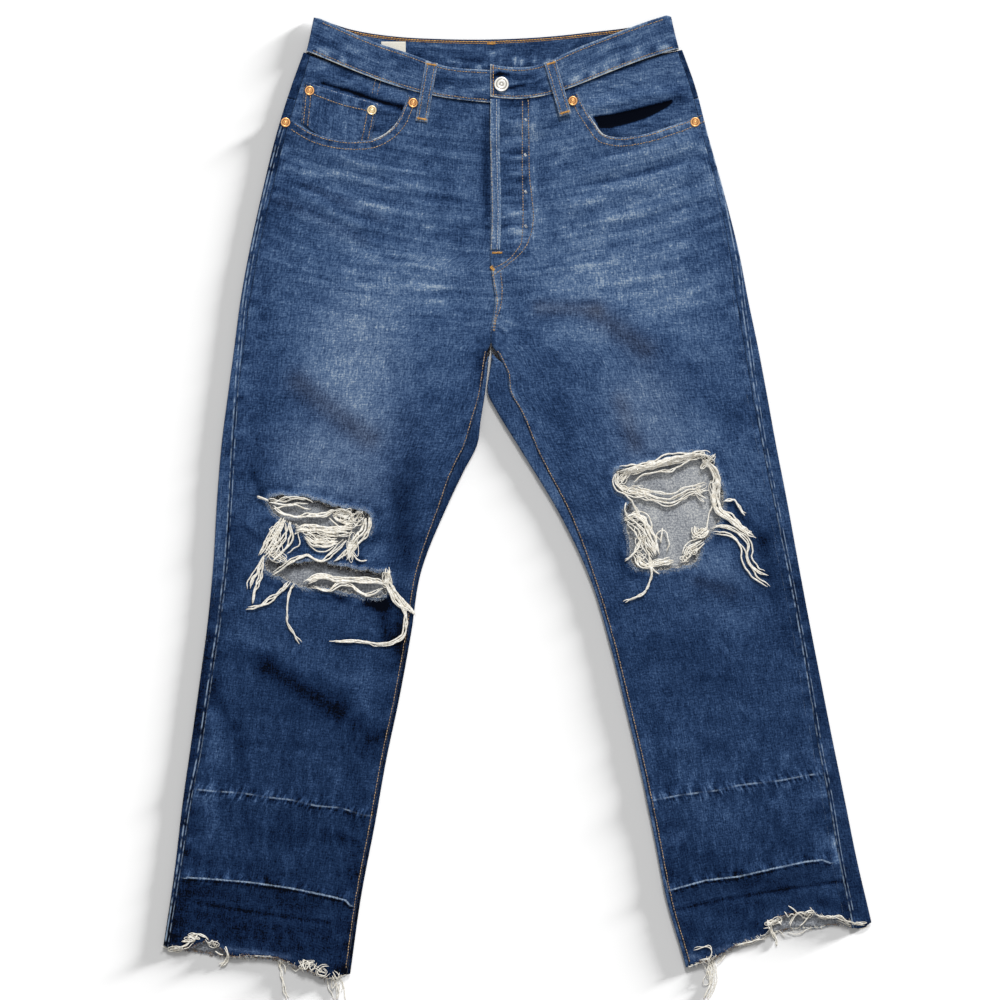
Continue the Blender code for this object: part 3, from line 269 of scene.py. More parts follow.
# change of tone at the outer and the inner fold of each leg by y
FOLD_TONES = {
    "right": (
        (320, -0.2, 0), (120, -0.24, 0), (70, -0.03, 0), (-70, 0, 0), (-110, 0.06, -0.2),
        (-230, 0.06, -0.2), (-275, -0.3, -0.28), (-350, -0.32, -0.3), (-430, -0.16, -0.22),
        (-500, -0.05, -0.2), (-540, 0.02, -0.24), (-575, -0.22, -0.22), (-660, -0.24, -0.18),
    ),
    "left": (
        (320, 0, 0), (180, -0.06, 0), (-40, -0.08, 0), (-70, -0.06, -0.02), (-110, 0, 0.18),
        (-200, -0.1, 0.2), (-300, -0.12, 0.24), (-420, -0.03, 0.28), (-500, 0.02, 0.34),
        (-545, 0.04, 0.4), (-600, 0.1, 0.34), (-660, 0.1, 0.28),
    ),
}
# rubbed and soiled places, and painted shade beside the fly's edge, in creases and soft folds,
# under the holes' lips and beside loose yarn: x0, y0, x1, y1, half width, change of tone,
# greyness if any
RUBS_AND_SHADE = {
    "right": (
        (-138, 8, -122, -80, 42, 0.3, 0.25), (-185, -112, -135, -138, 34, 0.28, 0.3),
        # the second stroke here, dark and grey, paints the shade of a soft fold across the thigh
        (-185, -25, -150, -60, 20, 0.18), (-195, -38, -125, -95, 13, -0.24, 0.8),
        (-205, -62, -150, -84, 12, -0.1), (-232, 60, -228, -60, 16, -0.08),
        (-240, -107, -222, -133, 13, -0.08), (-77, -87, -77, -128, 12, -0.08),
        (-92, -148, -87, -225, 11, -0.16), (-225, 127, -205, 86, 14, -0.07),
        (-240, 168, -222, 158, 10, -0.08), (-78, 214, -78, 186, 10, 0.08),
        (-72, 127, -52, 107, 11, 0.1), (-46, 178, -46, 133, 9, -0.05), (-74, 86, -40, 80, 13, 0.15),
        # the last stroke here and both on the next line paint the shadow beside the fly's edge
        (-115, 60, -60, 62, 22, 0.14), (-7, 4, -7, -30, 8, -0.1), (-5, 232, -4, 132, 4, -0.3),
        (-5, 130, -4, 106, 4, -0.16), (-7, 206, -6, 152, 6, -0.14),
        (-235, 210, -225, 120, 16, -0.1), (-262, -318, -226, -327, 8, -0.08),
        (-228, -331, -154, -375, 9, -0.27), (-136, -386, -120, -403, 9, -0.15),
        (-205, -372, -110, -412, 14, -0.08), (-244, -302, -120, -348, 13, 0.09),
        (-283, -350, -262, -390, 5, -0.1), (-262, -390, -250, -440, 7, -0.13),
        # the second stroke here paints the shadow below the lower hole's right end
        (-255, -470, -245, -500, 11, -0.1), (-113, -255, -106, -300, 8, -0.3),
        (-94, -260, -94, -318, 10, -0.14), (-250, -290, -180, -310, 22, 0.06),
        (-131, -311, -131, -400, 9, 0.09), (-281, -383, -281, -420, 8, 0.16),
        (-288, -454, -281, -488, 9, 0.14), (-150, 193, -120, 182, 4, 0.12),
        (-192, 177, -156, 174, 4, 0.16), (-156, 174, -70, 162, 6, 0.16),
        (-198, 157, -135, 124, 6, 0.16), (-190, 164, -110, 128, 5, -0.12, 0.2),
        (-135, 141, -88, 136, 5, 0.14), (-215, 148, -130, 106, 6, -0.1, 0.2),
        (-115, 199, -108, 196, 9, -0.1), (-84, 60, -52, 53, 8, 0.08), (-88, 46, -52, 44, 6, 0.08),
        # both strokes here paint the shade in two creases above the knee
        (-243, -131, -233, -151, 4, -0.26), (-252, -186, -230, -203, 4, -0.22),
        (-100, 145, -60, 118, 14, -0.08), (-296, -580, -242, -590, 14, -0.07),
        (-205, -584, -160, -580, 12, 0.04), (-88, -80, -92, -210, 20, -0.12),
        (-134, -137, -136, -139, 16, -0.1), (-108, -258, -108, -262, 8, -0.14),
        (-95, -300, -97, -304, 10, -0.1), (-276, -405, -276, -430, 13, 0.11),
        (-225, -505, -223, -507, 10, -0.08), (-144, -500, -134, -515, 9, -0.08),
        (-215, -551, -211, -566, 9, -0.08), (-150, 71, -146, 71, 12, 0.12),
        (-292, -290, -294, -350, 8, -0.12), (-300, -610, -298, -611, 8, 0.12),
        (-147, -645, -146, -646, 8, -0.1), (-62, 112, -60, 112, 12, 0.08),
        (-251, 66, -252, 60, 12, 0.08), (-180, -5, -180, -7, 8, 0.08),
        (-185, -143, -180, -144, 10, 0.1), (-118, -213, -112, -215, 12, 0.14),
        (-123, -388, -122, -390, 12, 0.06), (-154, 15, -153, 14, 10, -0.06),
        (-154, -77, -152, -77, 9, -0.06), (-78, -94, -84, -138, 15, -0.06),
        (-21, -15, -20, -16, 12, -0.08), (-187, 102, -180, 100, 7, -0.09),
        (-205, -500, -150, -500, 10, -0.06), (-113, -500, -112, -502, 7, -0.1),
        (-215, -551, -213, -552, 10, -0.05), (-92, -290, -95, -308, 7, -0.12),
        (-150, 222, -120, 218, 9, -0.04), (-66, 200, -68, 170, 8, -0.04),
        (-228, 240, -215, 222, 9, -0.14), (-244, 150, -226, 156, 8, -0.1),
        (-226, 137, -222, 134, 6, 0.1), (-240, 90, -242, 50, 7, 0.08),
        (-93, 118, -62, 118, 9, 0.07), (-46, 215, -48, 140, 7, -0.06),
        (-96, 240, -88, 222, 8, 0.07), (-142, 226, -132, 222, 8, -0.06),
        (-124, 98, -122, 96, 8, -0.07), (-154, 30, -153, 29, 8, -0.06),
        (-232, 24, -230, 2, 7, -0.07), (-76, -18, -66, -54, 8, -0.06),
        (-112, -90, -96, -156, 11, -0.07), (-10, -22, -6, -40, 6, -0.1),
        (-278, -90, -282, -128, 9, 0.08), (-92, -275, -89, -311, 8, -0.1),
        (-106, -365, -108, -432, 8, -0.07), (-292, -434, -284, -452, 9, 0.1),
        (-292, -466, -288, -484, 8, 0.09), (-282, -508, -280, -534, 8, 0.06),
        (-166, -548, -162, -562, 9, 0.07), (-120, -228, -112, -232, 6, -0.1),
        (-112, -258, -104, -264, 7, -0.14), (-200, 175, -160, 172, 4, 0.06),
        (-56, 250, -50, 232, 6, -0.08), (-10, -12, -8, -40, 7, -0.16),
        (-250, -30, -252, -100, 7, 0.05), (-100, 238, -86, 205, 8, 0.05),
        (-88, 20, -84, -20, 10, 0.04), (-248, -290, -246, -350, 7, 0.06),
        (-262, -309, -228, -319, 8, -0.1), (-226, -322, -158, -358, 12, -0.09),
        (-150, -362, -118, -398, 11, -0.08), (-268, -303, -262, -364, 8, 0.07),
        (-262, -208, -254, -212, 7, -0.09), (-250, -238, -246, -244, 7, -0.08),
        (-210, -248, -198, -251, 5, -0.12), (-158, -256, -148, -259, 5, -0.12),
        # the first stroke here paints the shadow under the lower hole's lip at its right end
        (-126, -261, -112, -264, 5, -0.26), (-160, -299, -150, -304, 9, -0.07),
        (-88, -292, -82, -310, 7, -0.08), (-130, -640, -150, -632, 9, -0.12),
        (-236, -40, -232, -70, 9, -0.04), (-160, -136, -118, -142, 10, -0.08),
        (0, 10, -3, -36, 5, -0.12), (-8, -56, -12, -70, 5, 0.16), (-242, -92, -236, -118, 9, -0.04),
        (-132, -480, -118, -500, 9, 0.05), (-200, -478, -150, -492, 9, 0.07),
        (-272, -525, -262, -560, 8, 0.07), (-245, -562, -240, -585, 7, 0.07),
        (-200, 170, -156, 164, 5, 0.08), (-225, 134, -150, 124, 5, 0.06),
        (-240, 168, -246, 140, 6, -0.12), (-80, 134, -44, 130, 8, 0.05),
        (-100, 40, -90, 5, 10, 0.04), (-215, -134, -190, -142, 9, 0.1),
        (-272, -165, -268, -185, 7, -0.1), (-274, -215, -262, -240, 8, -0.1),
        (-185, -208, -150, -212, 6, 0.16), (-230, -212, -196, -216, 4, 0.1),
        (-212, -247, -196, -252, 4, -0.12), (-160, -256, -146, -259, 4, -0.12),
        # the first stroke here paints the shadow under the lower hole's lip at its right end
        (-128, -263, -108, -267, 4, -0.26), (-84, -285, -88, -312, 7, -0.08),
        (-195, -358, -165, -374, 10, -0.05), (-145, -343, -125, -370, 8, 0.09),
        (-280, -614, -206, -624, 2.6, 0.34, 0.4), (-270, -603, -215, -610, 7, -0.05),
        (-27, 190, -25, 150, 6, 0.07), (-10, 136, -3, 128, 6, 0.07), (0, -20, -2, -42, 4, -0.12),
    ),
    "left": (
        (158, -58, 165, -112, 36, 0.25, 0.3), (125, -80, 150, -118, 16, 0.07),
        (168, -10, 190, -25, 22, -0.12), (213, -36, 245, -66, 14, -0.1),
        (214, 127, 214, 36, 16, -0.13), (87, 101, 92, 96, 16, -0.09), (20, 61, 40, 15, 14, -0.12),
        (70, -66, 80, -128, 12, -0.11), (254, -117, 254, -148, 20, 0.1),
        # the second stroke here and the first on the next line are darker cloth and partly the
        # painted shadow of the yarn bundle beside them
        (112, -204, 138, -250, 14, -0.08), (252, -168, 278, -200, 7, -0.2),
        (278, -200, 287, -250, 9, -0.2), (205, -272, 265, -286, 10, 0.08),
        (316, -302, 325, -342, 9, 0.12), (170, -512, 218, -522, 8, -0.08),
        (240, -505, 262, -508, 12, 0.07), (340, -512, 372, -530, 15, 0.16),
        (318, -556, 385, -562, 9, 0.16), (190, -578, 265, -600, 11, 0.08),
        (295, -578, 380, -582, 7, 0.1), (290, -482, 305, -505, 9, -0.06),
        (110, 110, 215, 135, 42, 0.09), (90, 78, 210, 64, 22, 0.13),
        # the first stroke here and the first on the next line, dark and grey, paint the shade of
        # soft folds
        (50, 38, 108, 36, 8, -0.14, 0.8), (60, 60, 128, 46, 9, 0.08),
        (108, 32, 157, -4, 12, -0.17, 0.8), (65, 16, 112, 8, 9, 0.12), (155, 43, 205, 38, 15, 0.14),
        (60, -10, 85, -75, 22, -0.08), (132, -56, 147, -102, 9, -0.06, 0.7),
        (190, -215, 240, -236, 25, 0.12, 0.1), (211, -241, 244, -252, 7, -0.22, 0.3),
        (308, -250, 316, -272, 9, -0.12), (103, 176, 206, 206, 5, 0.07),
        (100, 168, 210, 196, 5, -0.05), (87, 142, 216, 181, 6, 0.07), (98, 132, 218, 168, 5, -0.05),
        (103, 124, 222, 157, 5, 0.06), (90, 112, 200, 140, 5, -0.05), (46, 250, 46, 200, 2.6, 0.08),
        (45, 190, 46, 120, 3, 0.08), (26, 222, 27, 212, 9, 0.15), (28, 148, 30, 107, 8, 0.1),
        (12, 182, 12, 165, 5, -0.1), (50, 200, 62, 120, 10, -0.08), (225, 150, 235, 60, 12, -0.08),
        (212, -87, 216, -88, 16, 0.16), (138, -92, 139, -94, 11, -0.14),
        (157, -122, 193, -122, 7, 0.12), (285, -60, 290, -148, 9, 0.1), (60, 5, 120, 12, 8, 0.08),
        (155, 32, 215, 15, 8, 0.08), (80, 198, 82, 199, 8, 0.08), (112, 175, 137, 175, 7, 0.06),
        (29, 214, 29, 212, 5, 0.12), (28, 112, 29, 111, 6, 0.08), (48, 255, 50, 255, 5, -0.12),
        (185, -315, 230, -330, 22, -0.06), (215, -520, 260, -550, 14, -0.07),
        (357, -515, 360, -516, 12, 0.14), (203, -615, 205, -616, 8, 0.1), (2, 76, 6, 46, 2.4, 0.25),
        (6, 46, 2, 20, 2.4, 0.25), (2, 15, 1, 0, 2.4, -0.3), (8, -10, 22, -50, 2.2, 0.3),
        (22, -50, 38, -78, 2.2, 0.2), (46, 252, 60, 240, 6, -0.1), (35, 219, 36, 218, 8, 0.12),
        (65, 189, 72, 190, 8, 0.08), (35, 112, 36, 111, 9, 0.09), (275, -120, 280, -140, 12, 0.09),
        (228, -218, 232, -218, 12, 0.12), (305, -524, 308, -525, 10, 0.06),
        (361, -512, 362, -520, 11, 0.1), (376, -550, 382, -570, 9, 0.1),
        (213, -484, 245, -482, 13, 0.06), (75, -66, 121, -56, 13, 0.07),
        (228, -97, 229, -98, 12, 0.06), (65, 54, 66, 53, 8, 0.08), (165, 117, 170, 117, 12, -0.07),
        (223, 117, 224, 116, 8, -0.07), (183, 71, 186, 71, 12, -0.08), (244, 31, 245, 30, 7, -0.08),
        (60, 102, 61, 101, 10, -0.06), (203, -255, 215, -257, 9, -0.08),
        (295, -230, 296, -232, 9, -0.08), (305, -296, 306, -298, 9, -0.1),
        (213, -301, 215, -302, 12, -0.05), (172, -428, 174, -429, 10, -0.06),
        (239, -444, 241, -444, 9, -0.07), (14, 228, 34, 222, 8, 0.08), (14, -56, 28, -86, 5, -0.1),
        (254, -219, 275, -230, 9, -0.09), (292, -262, 298, -290, 8, -0.07),
        (214, -262, 252, -284, 8, 0.06), (228, -88, 242, -116, 8, 0.07),
        (264, -58, 292, -116, 9, 0.06), (114, -68, 150, -96, 11, -0.08),
        (150, -98, 158, -108, 6, -0.06), (214, -404, 272, -422, 12, -0.07),
        (154, -395, 170, -412, 8, 0.07), (168, -536, 176, -574, 7, 0.12),
        (336, -496, 364, -524, 9, 0.08), (286, -552, 344, -568, 7, -0.08),
        (254, -568, 274, -586, 8, 0.06), (286, -580, 314, -588, 7, 0.06),
        (200, -372, 270, -385, 14, -0.05), (14, 138, 30, 117, 9, 0.11),
        (16, 254, 54, 252, 5, -0.09), (160, 214, 206, 224, 9, 0.09), (86, 236, 94, 232, 6, 0.09),
        (14, -50, 28, -84, 6, -0.12), (165, -240, 206, -246, 7, 0.08),
        (213, -256, 230, -256, 6, -0.07), (60, -2, 90, -18, 12, 0.06), (70, 50, 130, 52, 9, 0.06),
        (185, 135, 210, 120, 10, -0.05), (195, 66, 230, 60, 12, -0.05),
        (82, 148, 90, 140, 8, -0.08), (46, 96, 60, 88, 9, -0.08), (20, 62, 40, 45, 10, -0.05),
        (150, -395, 165, -430, 8, 0.05), (188, 90, 214, 84, 9, -0.05),
        (96, -26, 102, -44, 8, -0.07), (162, -22, 176, -40, 9, -0.06),
        (100, -130, 106, -160, 9, -0.06), (138, -110, 148, -124, 7, -0.09),
        (128, -128, 150, -120, 6, 0.07), (8, 0, 4, -36, 5, -0.1), (16, -58, 26, -78, 5, -0.1),
        (186, -450, 196, -462, 8, -0.1), (276, -498, 284, -520, 9, -0.08),
        (270, -594, 286, -606, 6, -0.14), (272, -532, 318, -528, 8, 0.06),
        (350, -500, 353.5, -524, 3.5, 0.22), (300, -568, 330, -574, 8, 0.06),
        (205, -622, 212, -628, 8, 0.08), (160, -300, 158, -330, 8, -0.06),
        (230, -306, 262, -316, 10, 0.05), (240, -268, 252, -300, 8, 0.04),
        (160, 219, 205, 224, 7, 0.05), (225, -619, 252, -612, 2.6, 0.3, 0.4),
        (196, -621, 214, -626, 2.6, 0.26, 0.4), (252, -612, 276, -603, 2.6, 0.2, 0.4),
        (200, -462, 212, -472, 7, 0.1), (28, 248, 44, 212, 9, 0.07), (188, 216, 200, 208, 8, 0.08),
        (14, -52, 30, -84, 5, -0.1), (50, -128, 58, -146, 8, -0.06),
        (146, -98, 162, -112, 7, -0.08), (137, -190, 145, -222, 5, -0.28),
        (206, 134, 234, 130, 9, -0.05), (2, 134, 6, 128, 5, 0.07), (1, -18, 4, -40, 4, -0.12),
    ),
}
# whiskers and wrinkles at the hips: half width, tone, height, path
WHISKERS = {
    "right": (
        (3, 0.2, 0.5, ((-165, 197), (-141, 187), (-117, 181), (-66, 174))),
        (2.6, 0.2, 0.4, ((-195, 174), (-174, 174), (-156, 171))),
        (2.6, 0.16, 0.4, ((-126, 164), (-96, 161), (-66, 167))),
        (5, 0.16, 0.6, ((-156, 149), (-108, 139), (-60, 126))),
        (5, -0.14, -0.7, ((-216, 165), (-177, 155), (-147, 133), (-108, 130))),
        (5, -0.15, -0.8, ((-210, 156), (-174, 136), (-141, 117), (-84, 105))),
        (6, 0.12, 0.6, ((-198, 130), (-150, 111), (-96, 102))),
        (2.4, 0.14, 0.3, ((-162, 87), (-93, 82), (-42, 80))),
        (3, -0.1, -0.4, ((-156, 66), (-93, 65), (-30, 67))),
        (2.2, 0.16, 0.3, ((-72, 60), (-47, 59), (-27, 61))),
        (2, 0.18, 0.3, ((-66, 45), (-54, 45), (-42, 42))),
        (3.5, 0.12, 0.4, ((-225, 182), (-205, 180), (-170, 184))),
        (3.5, -0.1, -0.4, ((-225, 148), (-195, 125), (-164, 107))),
        (3, 0.1, 0.4, ((-164, 101), (-113, 93), (-52, 91))),
        (2.4, -0.1, -0.3, ((-93, 54), (-62, 52), (-21, 56))),
        (3, 0.09, 0.3, ((-83, 34), (-52, 33), (-23, 38))),
        (3, -0.1, -0.4, ((-150, 176), (-120, 172), (-70, 150))),
    ),
    "left": (
        (2.2, 0.17, 0.5, ((109, 188), (145, 193), (185, 204), (212, 210))),
        (2.2, 0.17, 0.5, ((100, 173), (145, 180), (182, 193), (212, 196))),
        (2.3, 0.18, 0.5, ((95, 154), (140, 165), (170, 173), (201, 185))),
        (2.4, 0.18, 0.5, ((145, 146), (167, 151), (185, 162), (209, 173))),
        (3.6, 0.14, 0.5, ((72, 143), (114, 149), (156, 151))),
        (2.4, 0.14, 0.4, ((111, 126), (145, 132), (173, 139))),
        (2.4, 0.12, 0.4, ((64, 109), (114, 117), (145, 123))),
        (2.2, 0.11, 0.3, ((16, 67), (72, 79), (129, 85))),
        (2.4, -0.1, -0.4, ((100, 163), (145, 173), (185, 184), (212, 191))),
        (2.2, 0.16, 0.3, ((167, 45), (212, 56), (235, 67))),
        (2.4, -0.14, -0.4, ((58, 42), (91, 43), (129, 43))),
        (2.2, -0.08, -0.3, ((90, 164), (130, 171), (160, 178))),
        (2.4, -0.09, -0.4, ((95, 143), (140, 154), (180, 150))),
        (2.3, -0.09, -0.4, ((152, 128), (185, 138), (225, 150))),
        (2.2, 0.1, 0.3, ((152, 115), (203, 130), (230, 138))),
        (2.4, 0.09, 0.3, ((70, 56), (132, 64), (213, 79))),
        (2.4, -0.08, -0.3, ((60, 92), (132, 100), (220, 112))),
        (1.6, 0.2, 0.3, ((16, 228), (26, 227), (38, 228))),
        (1.6, -0.18, -0.3, ((14, 231.5), (26, 231), (36, 232))),
        (1.6, 0.22, 0.3, ((14, 192.5), (26, 191), (38, 192))),
        (1.6, -0.2, -0.3, ((12, 196), (24, 195.5), (34, 197))),
        (1.6, 0.2, 0.3, ((13, 158.5), (24, 156.5), (36, 157))),
        (1.6, -0.2, -0.3, ((12, 154), (25, 152), (34, 153))),
        (1.6, 0.2, 0.3, ((14, 118.5), (26, 119), (38, 119.5))),
        (1.6, -0.22, -0.3, ((13, 122.5), (24, 123), (34, 124))),
        (1.8, -0.14, -0.3, ((12, 176), (22, 178), (32, 176))),
        (1.8, 0.14, 0.3, ((12, 135), (22, 132), (30, 134))),
        (1.8, 0.14, 0.3, ((12, 110), (20, 104), (28, 108))),
        (1.5, 0.24, 0.4, ((5, 24), (12, 17), (20, 13))),
        (1.5, 0.2, 0.4, ((8, 30), (18, 24), (26, 20))),
        (1.5, -0.2, -0.4, ((5, 19), (12, 12), (18, 8))),
    ),
}
# old hems let down, pale: side, strength, path; and dark folds below them
PALE_LINES = (
    ("right", 0.55, ((-325, -451), (-312, -452), (-284, -455), (-253, -457), (-230, -461),
     (-204, -464), (-178, -470), (-153, -472), (-132, -479), (-112, -482))),
    ("right", 1, ((-310, -543), (-280, -545), (-246, -548), (-204, -554), (-170, -561),
     (-149, -566), (-143, -572))),
    ("left", 0.55, ((150, -467), (162, -465), (193, -459), (232, -454), (253, -449), (296, -444),
     (321, -439), (355, -435))),
    ("left", 1, ((172, -559), (179, -557), (219, -546), (253, -542), (288, -534), (321, -527),
     (338, -525), (345, -528))),
    ("left", 0.7, ((359, -524), (362, -521.5), (367, -521), (371, -519.5))),
)
DARK_LINES = (
    ("right", ((-299, -569), (-263, -575), (-230, -580), (-196, -585), (-164, -589))),
    ("left", ((186, -577), (237, -565), (270, -560), (321, -552), (355, -547), (376, -544))),
)
# topstitching of the fly, from the waist to the crotch: x, y
FLY_STITCH = (
    ((32, 249), (32, 178), (32, 115), (31, 105), (26, 96), (14, 84), (1, 78)),
    ((38, 250), (39, 178), (40, 111), (34, 98), (22, 86), (9, 76), (1, 70)),
)
# rows beside the centre seam, below the fly: x, y
CENTRE_STITCH = (
    ((10, 74), (11.2, 50), (9.2, 37), (5, 26), (3.5, 14)),
    ((1.6, 82), (3.6, 62), (6.6, 46), (4.8, 32), (2, 14)),
)
# rivet and button, turned: radius, height
CAP = ((0.0, 0.0), (4.4, 0.0), (4.8, 0.15), (4.8, 0.5), (4.55, 0.85), (4.0, 0.98), (3.5, 0.8),
       (3.2, 0.62), (2.7, 0.62), (2.3, 0.86), (1.9, 0.92), (1.6, 0.72), (1.3, 0.70), (1.0, 1.15),
       (0.6, 1.35), (0.0, 1.38))
FACE = ((0.0, 0.0), (3.4, 0.0), (3.4, 1.0), (6.9, 1.1), (7.4, 1.4), (7.5, 1.9), (7.2, 2.45),
        (6.5, 2.75), (5.9, 2.6), (5.5, 2.2), (4.9, 2.05), (4.3, 2.35), (3.6, 2.5), (3.0, 2.3),
        (2.5, 1.95), (1.6, 1.8), (0.9, 2.05), (0.0, 2.15))
# colour of the washed cloth by tone
INDIGO = (
    (0.000, (0.0006, 0.0015, 0.005)), (0.035, (0.0022, 0.0075, 0.027)),
    (0.100, (0.0036, 0.0118, 0.041)), (0.226, (0.0083, 0.0235, 0.067)),
    (0.352, (0.0158, 0.0385, 0.100)), (0.478, (0.0282, 0.062, 0.148)),
    (0.604, (0.050, 0.098, 0.207)), (0.730, (0.084, 0.148, 0.277)),
    (0.838, (0.130, 0.205, 0.345)), (0.928, (0.195, 0.278, 0.405)), (1.000, (0.33, 0.41, 0.51)),
)

# ---------------------------------------------------------------- loose yarns
# strands, spread, path x, y of each bundle at the knees
KNEE_RIGHT = (
    (3, 3, ((-222, -164), (-212, -171), (-199, -174), (-186, -173), (-172, -173), (-162, -169),
     (-155, -168))),
    (3, 4, ((-227, -159), (-213, -160), (-199, -157), (-183, -162))),
    (5, 6, ((-158, -169), (-145, -173), (-143, -178), (-154, -177), (-161, -172))),
    (9, 10, ((-211, -177), (-219, -191), (-228, -204), (-234, -215))),
    (4, 8, ((-207, -181), (-206, -196), (-214, -210), (-223, -219))),
    (8, 8, ((-198, -188), (-183, -187), (-159, -189), (-140, -188))),
    (5, 6, ((-189, -195), (-180, -201), (-168, -202), (-156, -200))),
    (8, 8, ((-125, -177), (-128, -189), (-140, -204), (-147, -220))),
    (1, 0, ((-141, -213), (-133, -220), (-126, -219))),
    (2, 3, ((-138, -202), (-151, -215), (-160, -220))),
    (3, 3, ((-146, -197), (-160, -210), (-173, -220), (-189, -215), (-202, -220), (-217, -231),
     (-222, -234))),
    (4, 5, ((-232, -215), (-238, -230), (-245, -241), (-247, -249))),
    (3, 3, ((-234, -221), (-236, -238), (-241, -251), (-243, -263))),
    (1, 0, ((-195, -192), (-195, -202), (-202, -208), (-209, -212))),
    (6, 5, ((-189, -242), (-178, -237), (-155, -240), (-131, -240), (-107, -244))),
    (3, 3, ((-182, -247), (-165, -251), (-155, -244), (-141, -247), (-128, -256), (-107, -247))),
    (3, 2, ((-206, -242), (-222, -258), (-235, -266), (-249, -268))),
    (2, 2.5, ((-201, -243), (-207, -256), (-209, -271), (-207, -286), (-199, -298), (-195, -303))),
    (6, 5, ((-105, -228), (-104, -246), (-94, -263), (-81, -272))),
    (3, 2, ((-99, -252), (-90, -266), (-87, -279), (-90, -296), (-104, -305), (-116, -306),
     (-135, -302), (-163, -302))),
    (2, 2, ((-239, -155), (-227, -159))),
    (2, 2.4, ((-188, -199), (-180, -206), (-170, -208), (-160, -205))),
    (1, 0, ((-224, -168), (-212, -164), (-200, -164), (-190, -168), (-180, -167))),
    (1, 0, ((-222, -160), (-210, -155), (-198, -158), (-188, -160))),
    (3, 3.4, ((-104, -240), (-96, -254), (-86, -265), (-76, -275))),
    (2, 2.5, ((-187, -244), (-176, -238), (-160, -237), (-146, -239))),
    (1, 0, ((-166, -177), (-158, -183), (-150, -187), (-146, -181))),
)
KNEE_LEFT = (
    (5, 4, ((128, -129), (148, -124), (169, -120), (185, -114), (204, -112), (220, -112),
     (225, -119))),
    (2, 2, ((146, -139), (155, -133), (169, -129), (183, -128), (197, -120), (211, -116))),
    (5, 5, ((129, -130), (128, -140), (135, -147), (146, -150), (162, -150))),
    (7, 13, ((146, -149), (172, -157), (188, -157), (201, -150), (220, -145))),
    (9, 5.5, ((216, -117), (228, -128), (230, -141), (228, -156), (232, -168), (245, -178),
     (259, -189), (269, -194))),
    (8, 5, ((136, -130), (150, -126), (172, -122), (190, -117), (208, -113))),
    (3, 4, ((225, -187), (239, -185), (253, -192), (263, -203), (263, -217), (271, -229),
     (283, -235))),
    (2, 3, ((228, -192), (242, -194), (255, -206), (260, -222), (269, -236), (288, -250))),
    (2, 2, ((237, -159), (248, -157), (253, -164), (261, -172))),
    (1, 0, ((225, -161), (223, -175), (220, -191))),
    (4, 6, ((222, -187), (216, -193), (209, -191), (208, -185))),
    (6, 7, ((216, -200), (210, -204), (202, -208), (198, -215))),
    (9, 12.5, ((142, -176), (152, -185), (160, -200), (167, -215))),
    (3, 3, ((136, -178), (148, -172), (158, -175), (162, -189), (166, -207))),
    (3, 2.5, ((160, -210), (163, -226), (162, -242), (155, -254), (148, -258), (132, -264))),
    (2, 2, ((153, -198), (148, -208), (137, -220))),
    (5, 6, ((148, -215), (153, -225), (168, -224), (185, -220))),
    (2, 3, ((150, -221), (162, -227), (172, -233))),
    (1, 0, ((174, -201), (170, -194), (175, -190), (181, -199), (180, -211))),
    (1, 0, ((174, -202), (175, -194), (174, -186))),
    (2, 1.6, ((133, -150), (142, -158), (148, -168), (152, -178))),
    (1, 0, ((138, -160), (136, -168), (140, -176))),
    (2, 2, ((158, -176), (163, -190), (168, -202), (168, -214))),
    (3, 2.5, ((140, -131), (158, -126), (178, -121), (200, -115), (214, -112))),
)
# heaps of curled yarn at the knees: x, y, half width, half depth, loops
HEAPS = {
    "right": (
        (-137, -178, 8, 9, 7), (-151, -173, 10, 7, 7), (-174, -199, 12, 6, 8),
        (-160, -191, 18, 5, 6), (-217, -216, 11, 6, 7), (-219, -199, 7, 14, 5),
        (-142, -206, 7, 16, 4), (-106, -240, 5, 9, 5), (-190, -188, 10, 6, 5),
        (-224, -207, 7, 4, 4),
    ),
    "left": (
        (172, -120, 18, 3, 5), (210, -113, 9, 4, 5), (144, -177, 8, 6, 5), (154, -190, 8, 9, 3),
        (160, -202, 6, 9, 4), (153, -217, 8, 6, 5), (170, -222, 12, 4, 5), (153, -204, 6, 8, 2),
        (205, -209, 8, 5, 6), (198, -217, 6, 5, 5), (213, -192, 8, 6, 5), (136, -134, 6, 8, 6),
        (146, -148, 10, 5, 5), (221, -119, 8, 8, 8), (228, -150, 6, 14, 4), (212, -150, 8, 10, 4),
    ),
}
